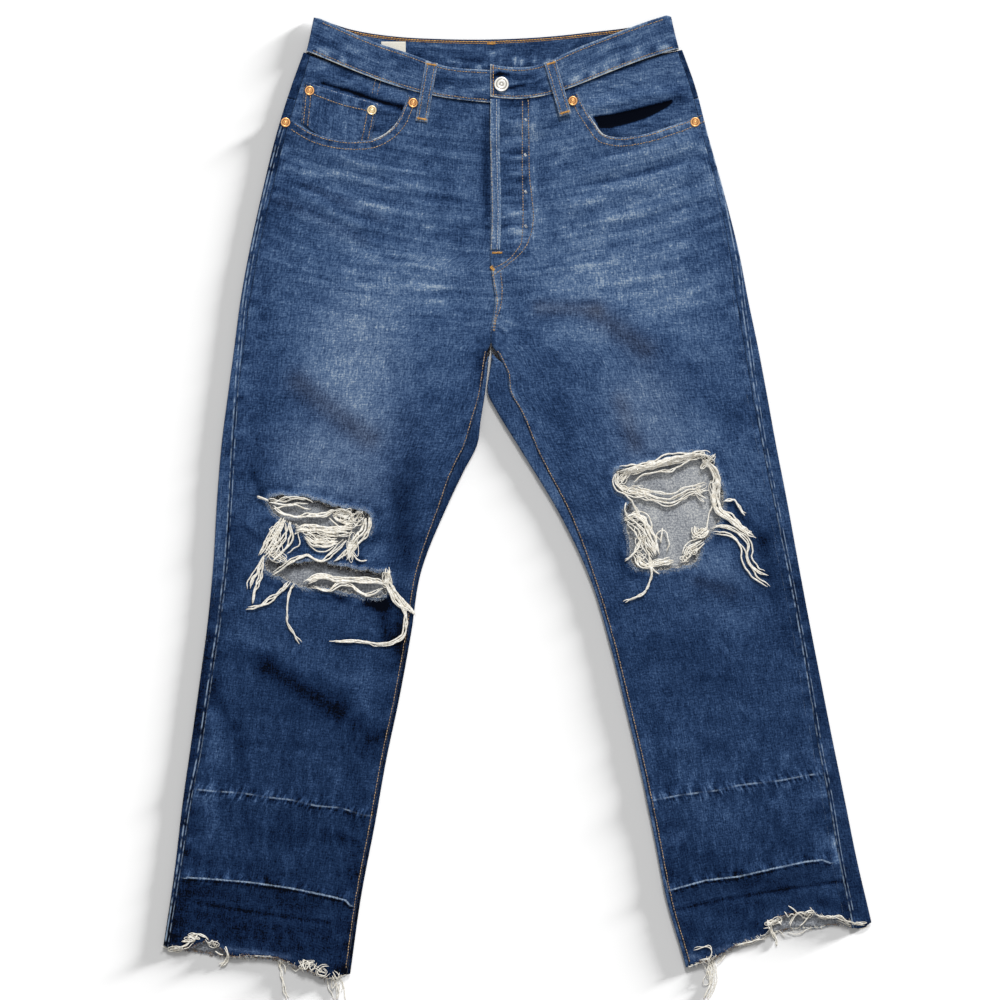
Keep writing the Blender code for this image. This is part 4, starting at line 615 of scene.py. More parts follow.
HEM_YARNS_RIGHT = (
    (2, 1.4, ((-309, -602), (-303, -600.5), (-298, -601.4), (-289.6, -606))),
    (1, 0, ((-297, -600), (-292, -603), (-288, -606.5))),
    (2, 1.2, ((-315.5, -608), (-307.7, -608.5), (-302.5, -606), (-299, -602))),
    (3, 2, ((-327, -614.4), (-320.7, -617.7), (-311.6, -613), (-302.5, -608))),
    (1, 0, ((-336, -613), (-330, -617), (-323, -619))),
    (1, 0, ((-291, -606), (-287, -613), (-284.5, -607.5), (-282, -614), (-279, -608))),
    (1, 0, ((-288, -614), (-284, -608), (-281, -614), (-277, -609))),
    (3, 2, ((-271, -614), (-268.7, -622), (-270, -628), (-276.4, -634.5))),
    (1, 0, ((-268, -624), (-273, -630), (-279, -632))),
    (1, 0, ((-281, -618), (-277, -621), (-273, -622))),
    (2, 0.8, ((-215.3, -626.8), (-214.6, -639), (-211.4, -652), (-208, -668))),
    (1, 0, ((-217, -628), (-212, -633), (-210, -641))),
    (1, 0, ((-196, -625), (-193, -634), (-190.7, -626), (-189, -636), (-185.6, -628), (-183, -636),
     (-179, -629))),
    (1, 0, ((-194, -627), (-191, -636), (-187, -629), (-184, -637))),
    (2, 1, ((-166, -634), (-172, -633), (-178, -637), (-176, -644), (-169, -645), (-165, -640))),
    (1, 0, ((-204, -636), (-199, -640), (-194, -636), (-190, -641))),
    (1, 0, ((-167, -646), (-165.5, -656), (-162, -664), (-159, -669))),
    (2, 1.6, ((-161, -644), (-158, -655), (-157, -669))),
    (1, 0, ((-155, -645), (-150, -654), (-148.5, -669))),
    (1, 0, ((-154, -640), (-157, -650), (-162, -656), (-164, -650), (-160, -643))),
    (2, 2, ((-162, -638), (-156, -645), (-153, -652), (-154, -660))),
)
HEM_YARNS_LEFT = (
    (2, 1.5, ((207, -616), (223, -615), (223, -624), (211, -627))),
    (6, 7, ((223, -624), (226, -649), (219, -668))),
    (2, 2, ((239, -621), (230, -631))),
    (3, 2, ((251, -613), (266, -610), (281, -605))),
    (1, 0, ((303.8, -572), (309, -575), (313, -578), (317, -581), (321, -586))),
    (2, 1, ((318, -578), (314, -579), (310, -582), (306, -588), (304.6, -593.5))),
    (1, 0, ((299, -578), (301, -581), (303, -584), (307, -581), (309, -583))),
    (2, 1, ((321, -583), (323, -579), (326, -578), (330, -578.5))),
    (1, 0, ((327, -580), (322, -586), (318, -591), (315, -594))),
    (1, 0, ((325, -573), (328, -576), (331, -580))),
    (3, 1.6, ((332.7, -580.9), (339.7, -584.4), (347.6, -583.6), (356.4, -584.4), (361, -588),
     (368, -590))),
    (3, 2.5, ((352, -585), (360, -588), (370, -592), (379, -594), (386, -592))),
    (3, 1.4, ((285.3, -592), (286, -598), (288, -602), (291.4, -606), (291.7, -613))),
    (1, 0, ((301, -598.4), (310, -601.5), (318.6, -599.3), (325.7, -594.9))),
    (1, 0, ((293, -597), (297, -600), (300.5, -604))),
    (1, 0, ((279, -590), (284, -587), (290, -587), (296, -590))),
    (2, 1.5, ((282, -593), (286, -590), (292, -589), (296, -592))),
    (1, 0, ((278, -595), (283, -594), (288, -597))),
)
KNEE_YARNS = {"right": KNEE_RIGHT, "left": KNEE_LEFT}
HEM_YARNS = {"right": HEM_YARNS_RIGHT, "left": HEM_YARNS_LEFT}
HEM_HEAPS = {
    "right": (
        (-305, -605, 8, 3.5, 4), (-322, -616, 9, 3, 4), (-283, -611, 6, 4, 3),
        (-188, -631, 9, 4, 4), (-174, -637, 7, 4, 4),
    ),
    "left": (
        (284, -590, 5, 4, 4), (292, -587, 6, 4, 3), (322, -581, 6, 4, 3), (375, -591, 9, 3, 5),
        (288, -601, 3, 6, 3), (222, -640, 7, 14, 4),
    ),
}


# ---------------------------------------------------------------- curves and fields
def smooth(low, high, value):
    """0 below low, 1 above high, and 3t2 - 2t3 between (low may be the larger)."""
    t = np.clip((value - low) / (high - low), 0.0, 1.0)
    return t * t * (3.0 - 2.0 * t)


def bell(away, half):
    """1 where away is zero and falling off to both sides: exp(-(away / half)2)."""
    return np.exp(-(away / half) ** 2)


def unit(vectors, least=1e-9):
    """Vectors brought to length one; least guards those of no length."""
    return vectors / np.maximum(np.linalg.norm(vectors, axis=-1, keepdims=True), least)


def aside(vectors):
    """Plan vectors turned a quarter to the left."""
    return np.stack((-vectors[..., 1], vectors[..., 0]), axis=-1)


def pair(a, b):
    """Places of two coordinates, each repeated over the rows or columns it lacks."""
    return np.stack(np.broadcast_arrays(a, b), axis=-1)


def spline(table, column, at):
    """Cubic Hermite curve through a table's column against its first column."""
    knots = np.array([row[0] for row in table], dtype=float)
    values = np.array([row[column] for row in table], dtype=float)
    if knots[0] > knots[-1]:
        knots, values = knots[::-1], values[::-1]
    slopes = np.gradient(values, knots)
    at = np.clip(np.asarray(at, dtype=float), knots[0], knots[-1])
    cell = np.clip(np.searchsorted(knots, at) - 1, 0, len(knots) - 2)
    width = knots[cell + 1] - knots[cell]
    t = (at - knots[cell]) / width
    low = values[cell] * (1 + 2 * t) + slopes[cell] * width * t
    high = values[cell + 1] * (3 - 2 * t) - slopes[cell + 1] * width * (1 - t)
    return low * (1 - t) ** 2 + high * t ** 2


def arc(path):
    """Length along a line at each of its points."""
    steps = np.linalg.norm(np.diff(np.asarray(path, dtype=float), axis=0), axis=1)
    return np.concatenate(([0.0], np.cumsum(steps)))


def flow(path, count):
    """Smooth curve through the points of a path, at even steps: Hermite against length."""
    path = np.asarray(path, dtype=float)
    length = arc(path)
    table = np.column_stack((length, path))
    at = np.linspace(0.0, length[-1], count)
    return np.stack([spline(table, k + 1, at) for k in range(path.shape[1])], axis=-1)


def rim(outline, count=160):
    """Smooth closed outline through given corners."""
    ring = np.array(outline, dtype=float)
    ring = np.concatenate((ring[-2:], ring, ring[:3]))
    length = arc(ring)
    at = np.linspace(length[2], length[-3], count, endpoint=False)
    table = np.column_stack((length, ring))
    return np.stack((spline(table, 1, at), spline(table, 2, at)), axis=-1)


def distance(points, outline):
    """Signed distance from points to a closed outline: below zero inside it."""
    start = np.array(outline, dtype=float)
    end = np.roll(start, -1, axis=0)
    edge = end - start
    to = points[..., None, :] - start
    t = np.clip((to * edge).sum(-1) / (edge ** 2).sum(-1), 0.0, 1.0)
    near = np.linalg.norm(to - t[..., None] * edge, axis=-1).min(-1)
    x, y = points[..., 0:1], points[..., 1:2]
    crosses = (start[:, 1] > y) != (end[:, 1] > y)
    rise = np.where(edge[:, 1] == 0, 1e-9, edge[:, 1])
    left_of = x < edge[:, 0] * (y - start[:, 1]) / rise + start[:, 0]
    inside = (crosses & left_of).sum(-1) % 2 == 1
    return np.where(inside, -near, near)


def to_line(points, path):
    """Distance from points to an open line, and how far along it in millimetres."""
    path = np.asarray(path, dtype=float)
    start, edge = path[:-1], np.diff(path, axis=0)
    to = points[..., None, :] - start
    t = np.clip((to * edge).sum(-1) / (edge ** 2).sum(-1), 0.0, 1.0)
    away = np.linalg.norm(to - t[..., None] * edge, axis=-1)
    nearest = away.argmin(-1)
    done = arc(path)[:-1] + t * np.linalg.norm(edge, axis=1)
    return away.min(-1), np.take_along_axis(done, nearest[..., None], -1)[..., 0]


def spot(points, x, y, half):
    """A round bell about a place."""
    return bell(np.linalg.norm(points - np.array((x, y)), axis=-1), half)


def noise(points, size, seed, cells=64):
    """Smooth field from -1 to 1: a seeded square lattice, blended with an S curve."""
    lattice = np.random.default_rng(seed).uniform(-1.0, 1.0, (cells, cells))
    at = np.asarray(points, dtype=float) / np.asarray(size, dtype=float)
    cell = np.floor(at).astype(int)
    t = at - cell
    t = t * t * (3 - 2 * t)
    i, j = cell[..., 0] % cells, cell[..., 1] % cells
    k, m = (i + 1) % cells, (j + 1) % cells
    low = lattice[i, j] * (1 - t[..., 0]) + lattice[k, j] * t[..., 0]
    high = lattice[i, m] * (1 - t[..., 0]) + lattice[k, m] * t[..., 0]
    return low * (1 - t[..., 1]) + high * t[..., 1]


def ripple(along, size, seed):
    """Smooth uneven wave from -1 to 1 against a length."""
    return noise(pair(along, 0.0), size, seed)


def veins(points, size, seed, half=0.12):
    """Thin branching creases from 0 to 1: where two smooth fields pass through zero."""
    one = bell(noise(points, size, seed), half)
    two = bell(noise(points, np.asarray(size) * 0.6, seed + 1), half)
    return np.maximum(one, 0.7 * two)


def strokes(points, table):
    """Sum of soft strokes with round ends: amount times exp(-(distance / half width)2)."""
    total = 0.0
    for x0, y0, x1, y1, half, amount in table:
        start = np.array((x0, y0), dtype=float)
        line = np.array((x1, y1), dtype=float) - start
        t = np.clip(((points - start) @ line) / (line @ line), 0.0, 1.0)
        away = np.linalg.norm(points - start - t[..., None] * line, axis=-1)
        total += amount * bell(away, half)
    return total


def lift(points, outline, rise, margin=36.0, ramp=28.0):
    """How far cloth is lifted by a piece under it, fading out beside that piece."""
    return rise * smooth(margin + ramp, margin, distance(points, outline))


def whiskers(points, side):
    """Tone and height along each whisker: uneven along it, soft across, fading at its ends."""
    tone, height = np.zeros(points.shape[:-1]), np.zeros(points.shape[:-1])
    for k, (half, shade, rise, path) in enumerate(WHISKERS[side]):
        away, run = to_line(points, flow(path, 20))
        ends = np.sin(math.pi * np.clip(run / arc(path)[-1], 0.0, 1.0)) ** 0.6
        body = ends * (0.75 + 0.45 * ripple(run, 7.0, 300 + k)) * bell(away, half)
        tone += 1.15 * shade * body
        height += rise * body
    return tone, height


def back_height(points):
    """Middle of the back's cloth: on the surface, and over the back pockets and loops."""
    pockets = [lift(points, [(sign * x, y) for x, y in BACK_POCKET], 1.3) for sign in (1, -1)]
    return REST + np.maximum(np.max(pockets, axis=0), lift(points, LOOP_ZONE, 1.5, 8.0, 22.0))


def mouth_curve(side, out=0.0):
    """Edge of a front pocket's mouth, or the line that lies out millimetres into the front."""
    line = flow(SIDES[side]["mouth"], 60)
    return line + out * aside(unit(np.gradient(line, axis=0))) * SIDES[side]["sign"]


def mouth_region(side):
    """Everything above a pocket's mouth, closed well outside the leg."""
    line = mouth_curve(side)
    beyond, over = SIDES[side]["sign"] * 260.0, 340.0
    corners = ((line[-1, 0], over), (beyond, over), (beyond, line[0, 1] + 6.0))
    return np.concatenate((line, corners))


def front_height(points, side):
    """Middle of a front's cloth over the facing, the coin pocket and the fly's lap."""
    behind = mouth_curve(side, BEHIND_MOUTH)[::8]
    corners = ((86.0 * SIDES[side]["sign"], 300.0), (behind[0, 0], 300.0))
    rise = lift(points, np.concatenate((behind, corners)), 0.6, 10.0, 26.0)
    if side == "right":
        rise = np.maximum(rise, lift(points, COIN_TOP + COIN_FOOT[::-1], 1.7, 12.0, 26.0))
    else:
        gape = (points - np.array((150.0, 214.0))) / np.array((46.0, 16.0))
        rise = rise + 2.6 * bell(np.linalg.norm(gape, axis=-1), 1.0)
        rise = np.maximum(rise, lift(points, FLY_LAP, 1.3, 14.0, 20.0))
        rise = np.maximum(rise, lift(points, BAND_LAP, 3.4, 18.0, 26.0))
    off_fly = smooth(22.0, 45.0, np.abs(points[..., 0]))
    on_leg = smooth(-10.0, -60.0, points[..., 1])
    return TOP + rise + strokes(points, FOLDS) * np.maximum(off_fly, on_leg)


def inner_fold(side, y):
    """Inner fold of a leg at height y, and just beside the centre seam above the crotch."""
    data = SIDES[side]
    return np.where(y > 0.0, spline(CENTRE_SEAM, 1, y) + data["sign"] * BY_CENTRE,
                    spline(data["inner"], 1, y))


def row(side, y_outer, y_inner, sag, share, back=False):
    """Points of a row at shares of its width: a straight line, less sag sin(pi share^skew)."""
    y_outer, y_inner, sag = (np.asarray(v, dtype=float)[:, None] for v in (y_outer, y_inner, sag))
    outer_x = spline(SIDES[side]["outer"], 1, y_outer)
    skew = 1.0 if back else SIDES[side]["skew"]
    x = outer_x + (inner_fold(side, y_inner) - outer_x) * share
    y = y_outer + (y_inner - y_outer) * share
    return pair(x, y - sag * np.sin(math.pi * np.clip(share, 0.0, 1.0) ** skew))


def row_table(table, heights):
    """Three smooth columns of a table at given heights of its outer edge."""
    knots = np.arange(len(table), dtype=float)
    rows = tuple((k,) + tuple(r) for k, r in zip(knots, table))
    at = np.interp(-heights, -np.array([r[0] for r in table]), knots)
    return tuple(spline(rows, column, at) for column in (1, 2, 3))


def waist_row(side, share):
    """Points of a front's waist seam at shares of its width."""
    return row(side, *[(v,) for v in SIDES[side]["rows"][0]], share[None])[0]


def by_waist(points, side):
    """Distance to the waist seam of a front and its hip piece."""
    return to_line(points, waist_row(side, np.linspace(0.0, 1.0, 40)))[0]


def seam_x(side, y):
    """Outseam at height y."""
    data = SIDES[side]
    return spline(data["outer"], 1, y) - data["sign"] * spline(data["outer"], 2, y)


def inseam_x(side, y):
    """Inner edge of a front at height y: centre seam above the crotch, inseam below."""
    data = SIDES[side]
    inset = spline(data["inner"], 2, y) * smooth(3.0, -10.0, y)
    below = spline(data["inner"], 1, y) + data["sign"] * inset
    return np.where(y > 3.0, spline(CENTRE_SEAM, 1, y), below)


def straight_hem(side, x):
    """Straight line along a hem at x: share of the width from the outer fold, and height."""
    data = SIDES[side]
    y_out, y_in = data["rows"][-1][:2]
    x_out, x_in = spline(data["outer"], 1, y_out), spline(data["inner"], 1, y_in)
    share = np.clip((x - x_out) / (x_in - x_out), 0.0, 1.0)
    return share, y_out + (y_in - y_out) * share


def hem_raise(side, column, x):
    """How far the front's (column 1) or the back's (column 2) raw hem is above that line."""
    return spline(SIDES[side]["hem"], column, straight_hem(side, x)[0])


def hem_line(side, column, x):
    """Height of the front's (column 1) or the back's (column 2) hem at x."""
    return straight_hem(side, x)[1] + hem_raise(side, column, x)


def raw_hem(plan, side, column, heights, uneven):
    """Moves the rows above a hem so that the last of them follows its ragged line."""
    last = heights[-1]
    raw = hem_raise(side, column, plan[-1, :, 0]) + uneven
    near = smooth(last + HEM_ZONE, last + 1.0, heights)
    plan[:, :, 1] += near[:, None] * raw


def pale_seam(points, side):
    """Place across the worn outseam: 1.3 on its pale line, more inwards (right) or outwards."""
    x, y = points[..., 0], points[..., 1]
    fold = spline(SIDES[side]["outer"], 1, y)
    inward = (fold - x) * SIDES[side]["sign"] - spline(PALE_SEAMS[side], 1, y)
    across = SEAM_LINE + (inward if side == "right" else -inward)
    return np.where((y < 225.0) & (np.abs(inward) < 8.0), across, OFF_SEAM)


# ---------------------------------------------------------------- meshes
def grid_faces(rows, columns):
    """Four-cornered faces of a grid of points."""
    index = np.arange(rows * columns).reshape(rows, columns)
    corners = (index[:-1, :-1], index[1:, :-1], index[1:, 1:], index[:-1, 1:])
    return np.stack(corners, axis=-1).reshape(-1, 4)


def crossed(points, faces):
    """Cross product of each face's diagonals: twice its area, along its normal."""
    a, b, c, d = (points[faces[:, k]] for k in range(4))
    return np.cross(c - a, d - b)


def normals_of(points, faces):
    """Unit normal at each point: the sum of its faces' crossed diagonals."""
    cross = crossed(points, faces)
    total = np.zeros_like(points)
    for k in range(4):
        np.add.at(total, faces[:, k], cross)
    return unit(total)


def piece(name, points, faces, looks, which=None, fields=None, grain=None):
    """Object of the given points, in metres at its place, with its fields and finish."""
    mesh = bpy.data.meshes.new(name)
    mesh.vertices.add(len(points))
    mesh.vertices.foreach_set("co", ((points + PLACE) * MM).astype(np.float32).ravel())
    mesh.loops.add(faces.size)
    mesh.loops.foreach_set("vertex_index", faces.astype(np.int32).ravel())
    mesh.polygons.add(len(faces))
    mesh.polygons.foreach_set("loop_start", (np.arange(len(faces)) * 4).astype(np.int32))
    mesh.update(calc_edges=True)
    mesh.polygons.foreach_set("use_smooth", np.ones(len(faces), dtype=bool))
    for look in looks:
        mesh.materials.append(look)
    if which is not None:
        mesh.polygons.foreach_set("material_index", which.astype(np.int32))
    for key, values in (fields or {}).items():
        field = mesh.attributes.new(key, "FLOAT", "POINT")
        field.data.foreach_set("value", values.astype(np.float32).ravel())
    if grain is not None:
        layer = mesh.uv_layers.new(name="grain")
        layer.data.foreach_set("uv", grain[faces.ravel()].astype(np.float32).ravel())
    mesh.validate()
    item = bpy.data.objects.new(name, mesh)
    bpy.context.scene.collection.objects.link(item)
    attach(item, "root")
    return item


def cloth(name, points, faces, thickness, looks, fields, grain, above, solid):
    """Closed sheet: the middle moved half its wall along its normal to both sides, and a rim.

    above is the number of a point whose outer side looks up, and solid the one
    that the sheet stands for."""
    normal = normals_of(points, faces)
    if normal[above, 2] < 0:
        faces, normal = faces[:, ::-1], -normal
    count = len(points)
    sides = np.concatenate([faces[:, (k, (k + 1) % 4)] for k in range(4)])
    ahead = sides[:, 0].astype(np.int64) * count + sides[:, 1]
    behind = sides[:, 1].astype(np.int64) * count + sides[:, 0]
    edge = sides[~np.isin(ahead, behind)]
    wall = np.stack((edge[:, 1], edge[:, 0], edge[:, 0] + count, edge[:, 1] + count), axis=1)
    both = np.concatenate((points + normal * thickness / 2, points - normal * thickness / 2))
    every = np.concatenate((faces, faces[:, ::-1] + count, wall))
    which = np.concatenate((np.zeros(len(faces)), np.ones(len(faces) + len(wall))))
    fields = {key: np.concatenate((values, values)) for key, values in fields.items()}
    item = piece(name, both, every, looks, which, fields, np.concatenate((grain, grain)))
    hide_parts(solid)


def slope_of(height, points, step=0.25):
    """Slope of a function of the plan, from a small step to each side."""
    steps = np.array((step, 0.0)), np.array((0.0, step))
    change = [height(points + s) - height(points - s) for s in steps]
    return np.stack(change, axis=-1) / (2 * step)


def to_zero(height, points):
    """Points moved against the slope to where a function of the plan is zero; its slope there."""
    for _ in range(3):
        slope = slope_of(height, points)
        size = np.maximum((slope ** 2).sum(-1), 0.2)
        points = points - slope * (height(points) / size)[:, None]
    return points, slope


def trimmed(plan, cut):
    """Plan points, faces and their numbers in the grid, with what lies inside a cut taken off.

    Faces well inside go; corners still inside move to the cut's edge, against its slope."""
    points = plan.reshape(-1, 2).copy()
    faces = grid_faces(*plan.shape[:2])
    away = cut(points)
    faces = faces[away[faces].max(axis=1) > 0.5]
    used = np.unique(faces)
    points, away = points[used], away[used]
    inside = np.flatnonzero(away < 0.0)
    points[inside] = to_zero(cut, points[inside])[0]
    return points, np.searchsorted(used, faces), used


def worn_edge(points, side):
    """Distance to the ragged rims of a front's holes, below zero inside them."""
    ragged = noise(points, 5.0, 31) * 1.3 + noise(points, 2.2, 32) * 0.7
    rims = [distance(points, rim(outline)) for outline in HOLES[side]]
    return np.min(rims, axis=0) + ragged


def upper_side(points, side, step):
    """1 on the upper side of a hole's rim and 0 on its lower side."""
    up = np.array((0.0, step))
    change = (worn_edge(points + up, side) - worn_edge(points - up, side)) / (2 * step)
    return smooth(0.0, 0.7, change)


def lip(points, side):
    """How a hole's rim curls up: (0.6 + uneven + 1.7 on its upper side) exp(-(distance / 3.5)2)."""
    curl = 0.6 + 0.5 * noise(points, 11.0, 49) + 1.7 * upper_side(points, side, 2.5)
    return curl * bell(worn_edge(points, side), 3.5)


# ---------------------------------------------------------------- relief and wash of the fronts
def wrinkle_lines(points):
    """Places along and across the wrinkles, which rise to the hips and level out below."""
    x, y = points[..., 0], points[..., 1]
    rise = (0.10 * np.abs(x) + 0.0005 * x ** 2) * smooth(-20.0, 140.0, y)
    return np.stack((x, y - rise), axis=-1)


def creases(lean, amount):
    """Fields that place the finest wrinkles: where along and across them, and how strong."""
    return {"lean_x": lean[..., 0] * MM, "lean_y": lean[..., 1] * MM,
            "creased": np.broadcast_to(amount, lean[..., 0].shape)}


def of_side(table, side):
    """Rows of a table that belong to a side, without its name."""
    return [entry[1:] for entry in table if entry[0] == side]


def fly_zone(points):
    """1 on the lapped fly of the left front."""
    x, y = points[..., 0], points[..., 1]
    return smooth(-2.0, 8.0, x) * smooth(41.0, 37.0, x) * smooth(72.0, 100.0, y)


def front_detail(points, side):
    """Sewn relief added to a front: hems, seams, puckers, old hem lines and soft waves."""
    x, y = points[..., 0], points[..., 1]
    edge, run = to_line(points, mouth_curve(side))
    total = 0.45 * smooth(11.0, 8.5, edge) + 0.22 * ripple(run, 5.5, 41) * bell(edge - 5.3, 2.4)
    total = total - 0.2 * bell(edge - 2.0, 0.8) - 0.2 * bell(edge - 8.6, 0.8)
    out = np.abs(x - seam_x(side, y))
    seam = 0.35 * bell(out - 3.0, 2.6) + 0.4 * ripple(y, 9.0, 42) * bell(out, 9.0)
    total += seam * smooth(226.0, 205.0, y)
    inner = np.abs(x - inseam_x(side, y))
    felled = 0.4 * bell(inner - 4.0, 3.4) + 0.3 * ripple(y, 7.0, 43) * bell(inner, 8.0)
    total += felled * smooth(20.0, 0.0, y)
    for size, seed, amount in ((46.0, 44, 0.45), (17.0, 45, 0.22), (7.0, 46, 0.08)):
        total += amount * noise(points, size, seed)
    low = 0.22 * noise(points, (8.0, 34.0), 47) + 0.3 * veins(points, (13.0, 44.0), 51)
    total = total + smooth(-330.0, -440.0, y) * low + whiskers(points, side)[1]
    total += smooth(0.0, 110.0, y) * 0.16 * noise(wrinkle_lines(points), (32.0, 5.0), 67)
    for strength, path in of_side(PALE_LINES, side):
        away, run = to_line(points, path)
        crimp = ripple(run, 4.5, 48) * 0.5 * bell(away, 5.0)
        total += strength * (0.5 * bell(away, 1.8) + crimp)
    for path, in of_side(DARK_LINES, side):
        total -= 0.55 * bell(to_line(points, path)[0], 1.7)
    total += lip(points, side)
    if side == "left":
        total += fly_zone(points) * (0.45 + 0.3 * noise(points, (26.0, 5.0), 50))
        stitched = [to_line(points, path)[0] for path in FLY_STITCH]
        total -= 0.22 * bell(np.min(stitched, axis=0), 0.9)
    return total


def front_top(points, side):
    """Height of a front's outer face."""
    return front_height(points, side) + front_detail(points, side) + CLOTH / 2


def old_hems(points, side, tone):
    """Tone with the old hem lines, and their place across, strength and crimped cloth."""
    y = points[..., 1]
    line, power, crimped = np.full(y.shape, OFF_LINE), np.zeros(y.shape), np.zeros(y.shape)
    for strength, path in of_side(PALE_LINES, side):
        away, run = to_line(points, path)
        path = np.array(path, dtype=float)
        across = away * np.sign(y - np.interp(points[..., 0], path[:, 0], path[:, 1]))
        near = away < np.abs(line)
        line = np.where(near, across, line)
        gaps = smooth(-0.25, 0.35, ripple(run, 6.0, 55))
        sharp = strength > 0.8
        worn = strength * (0.7 + 0.3 * gaps if sharp else 0.15 + 1.0 * gaps)
        power = np.where(near, worn * smooth(7.0, 4.0, away), power)
        beside = np.abs(across - (1.0 if sharp else -1.0))
        crimped = np.maximum(crimped, (0.55 if sharp else 1.0) * smooth(11.0, 1.5, beside))
        tone -= strength * 0.10 * bell(across + 3.5, 2.0)
        tone += 0.18 * ripple(run, 4.2, 66) * bell(across - 4.0, 5.0)
    for path, in of_side(DARK_LINES, side):
        away = to_line(points, path)[0]
        tone = tone - 0.20 * bell(away, 1.8) + 0.05 * bell(away - 5.0, 4.0)
    return tone, {"line": line, "power": power, "crimped": crimped}


def wash(points, side, level):
    """Tone, greyness, bare threads, old pale lines and their strength over a front."""
    y = points[..., 1]
    tone = spline(WASHES[side], 1, level)
    # rubs and soiling, and the painted shade listed with them
    tone += strokes(points, [r[:6] for r in RUBS_AND_SHADE[side]])
    grey = strokes(points, [r[:5] + (0.35 * r[6],) for r in RUBS_AND_SHADE[side] if len(r) > 6])
    tone += whiskers(points, side)[0]
    lean = wrinkle_lines(points)
    fine = 0.06 * noise(lean, (32.0, 5.0), 67) + 0.06 * noise(lean, (16.0, 3.2), 68)
    tone += (0.3 + 0.7 * smooth(-20.0, 110.0, y)) * fine
    low = smooth(-300.0, -430.0, y) * (1.0 - 0.45 * smooth(-535.0, -560.0, y))
    streaks = 0.13 * veins(points, (13.0, 44.0), 51) - 0.03 + 0.05 * noise(points, (5.0, 20.0), 52)
    tone += low * streaks
    tone = tone + 0.04 * noise(points, 34.0, 61) + 0.04 * noise(lean, (70.0, 11.0), 62)
    out = np.abs(points[..., 0] - seam_x(side, y))
    tone -= 0.05 * np.exp(-out / 16.0)
    tone += (0.16 * ripple(y, 11.0, 63) + 0.10 * ripple(y, 4.5, 53)) * bell(out, 10.0)
    inner = np.abs(points[..., 0] - inseam_x(side, y))
    on_leg = smooth(10.0, -20.0, y)
    tone -= 0.06 * np.exp(-inner / 14.0) * on_leg
    tone += 0.12 * ripple(y, 9.0, 64) * bell(inner, 9.0) * on_leg
    edge, run = to_line(points, mouth_curve(side))
    tone += 0.26 * ripple(run, 3.4, 65) * bell(edge - 5.3, 2.6)
    tone = tone + 0.16 * bell(edge, 1.6) - 0.08 * bell(edge - 5.0, 3.0)
    hole = worn_edge(points, side)
    rim_away = np.maximum(hole, 0.0)
    # the rims' fray and pale tone fade out at the lower right hole's right end, which paints the
    # shadow under its lip there
    frayed = (0.7 + 0.5 * noise(points, 4.0, 54)) * (1.0 - 0.8 * spot(points, -116.0, -261.0, 12.0))
    under = worn_edge(points - np.array((0.0, 2.5)), side)
    below = smooth(-0.2, 0.5, (under - hole) / 2.5)
    bare = (0.62 - 0.26 * below) * np.exp(-rim_away / 0.9) * frayed
    bend = (-106.0, 216.0) if side == "right" else (108.0, 218.0)
    rubbed = 0.85 * bell(edge, 1.5) * (0.40 + 0.80 * spot(points, *bend, 18.0))
    bare = np.maximum(bare, rubbed)
    tone += (0.44 - 0.12 * below) * frayed * np.exp(-rim_away / 4.2)
    tone -= 0.16 * (0.6 + noise(points, 9.0, 57)) * bell(hole - 9.0, 4.0)
    band = by_waist(points, side)
    # painted shadow: a thin dark line just under the waistband's lower edge
    tone -= 0.34 * bell(band - 0.6, 2.0)
    tone += 0.14 * veins(points, 13.0, 58) * np.exp(-band / 22.0)
    tone, hems = old_hems(points, side, tone)
    if side == "left":
        fly = fly_zone(points)
        tone = tone - 0.12 * fly + 0.16 * fly * noise(points, (26.0, 5.0), 50)
        tone += 0.10 * fly * noise(points, (14.0, 2.6), 56)
        tone += 0.10 * bell(points[..., 0] - 43.0, 3.0) * smooth(84.0, 110.0, y)
    return {"tone": tone, "grey": np.clip(grey, 0.0, 1.0), "bare": bare,
            "seam": pale_seam(points, side), **hems}


def plain_fields(points, tone, seed, bare=None):
    """Fields of a piece with an even wash: a tone with soft mottling."""
    count = len(points)
    plan = points[:, :2]
    tone = np.ravel(tone) + 0.06 * noise(plan, 22.0, seed) + 0.05 * noise(plan, 8.0, seed + 1)
    bare = np.zeros(count) if bare is None else np.ravel(bare)
    return {"tone": tone, "grey": np.zeros(count), "bare": bare, "power": np.zeros(count),
            "line": np.full(count, OFF_LINE), "seam": np.full(count, OFF_SEAM)}


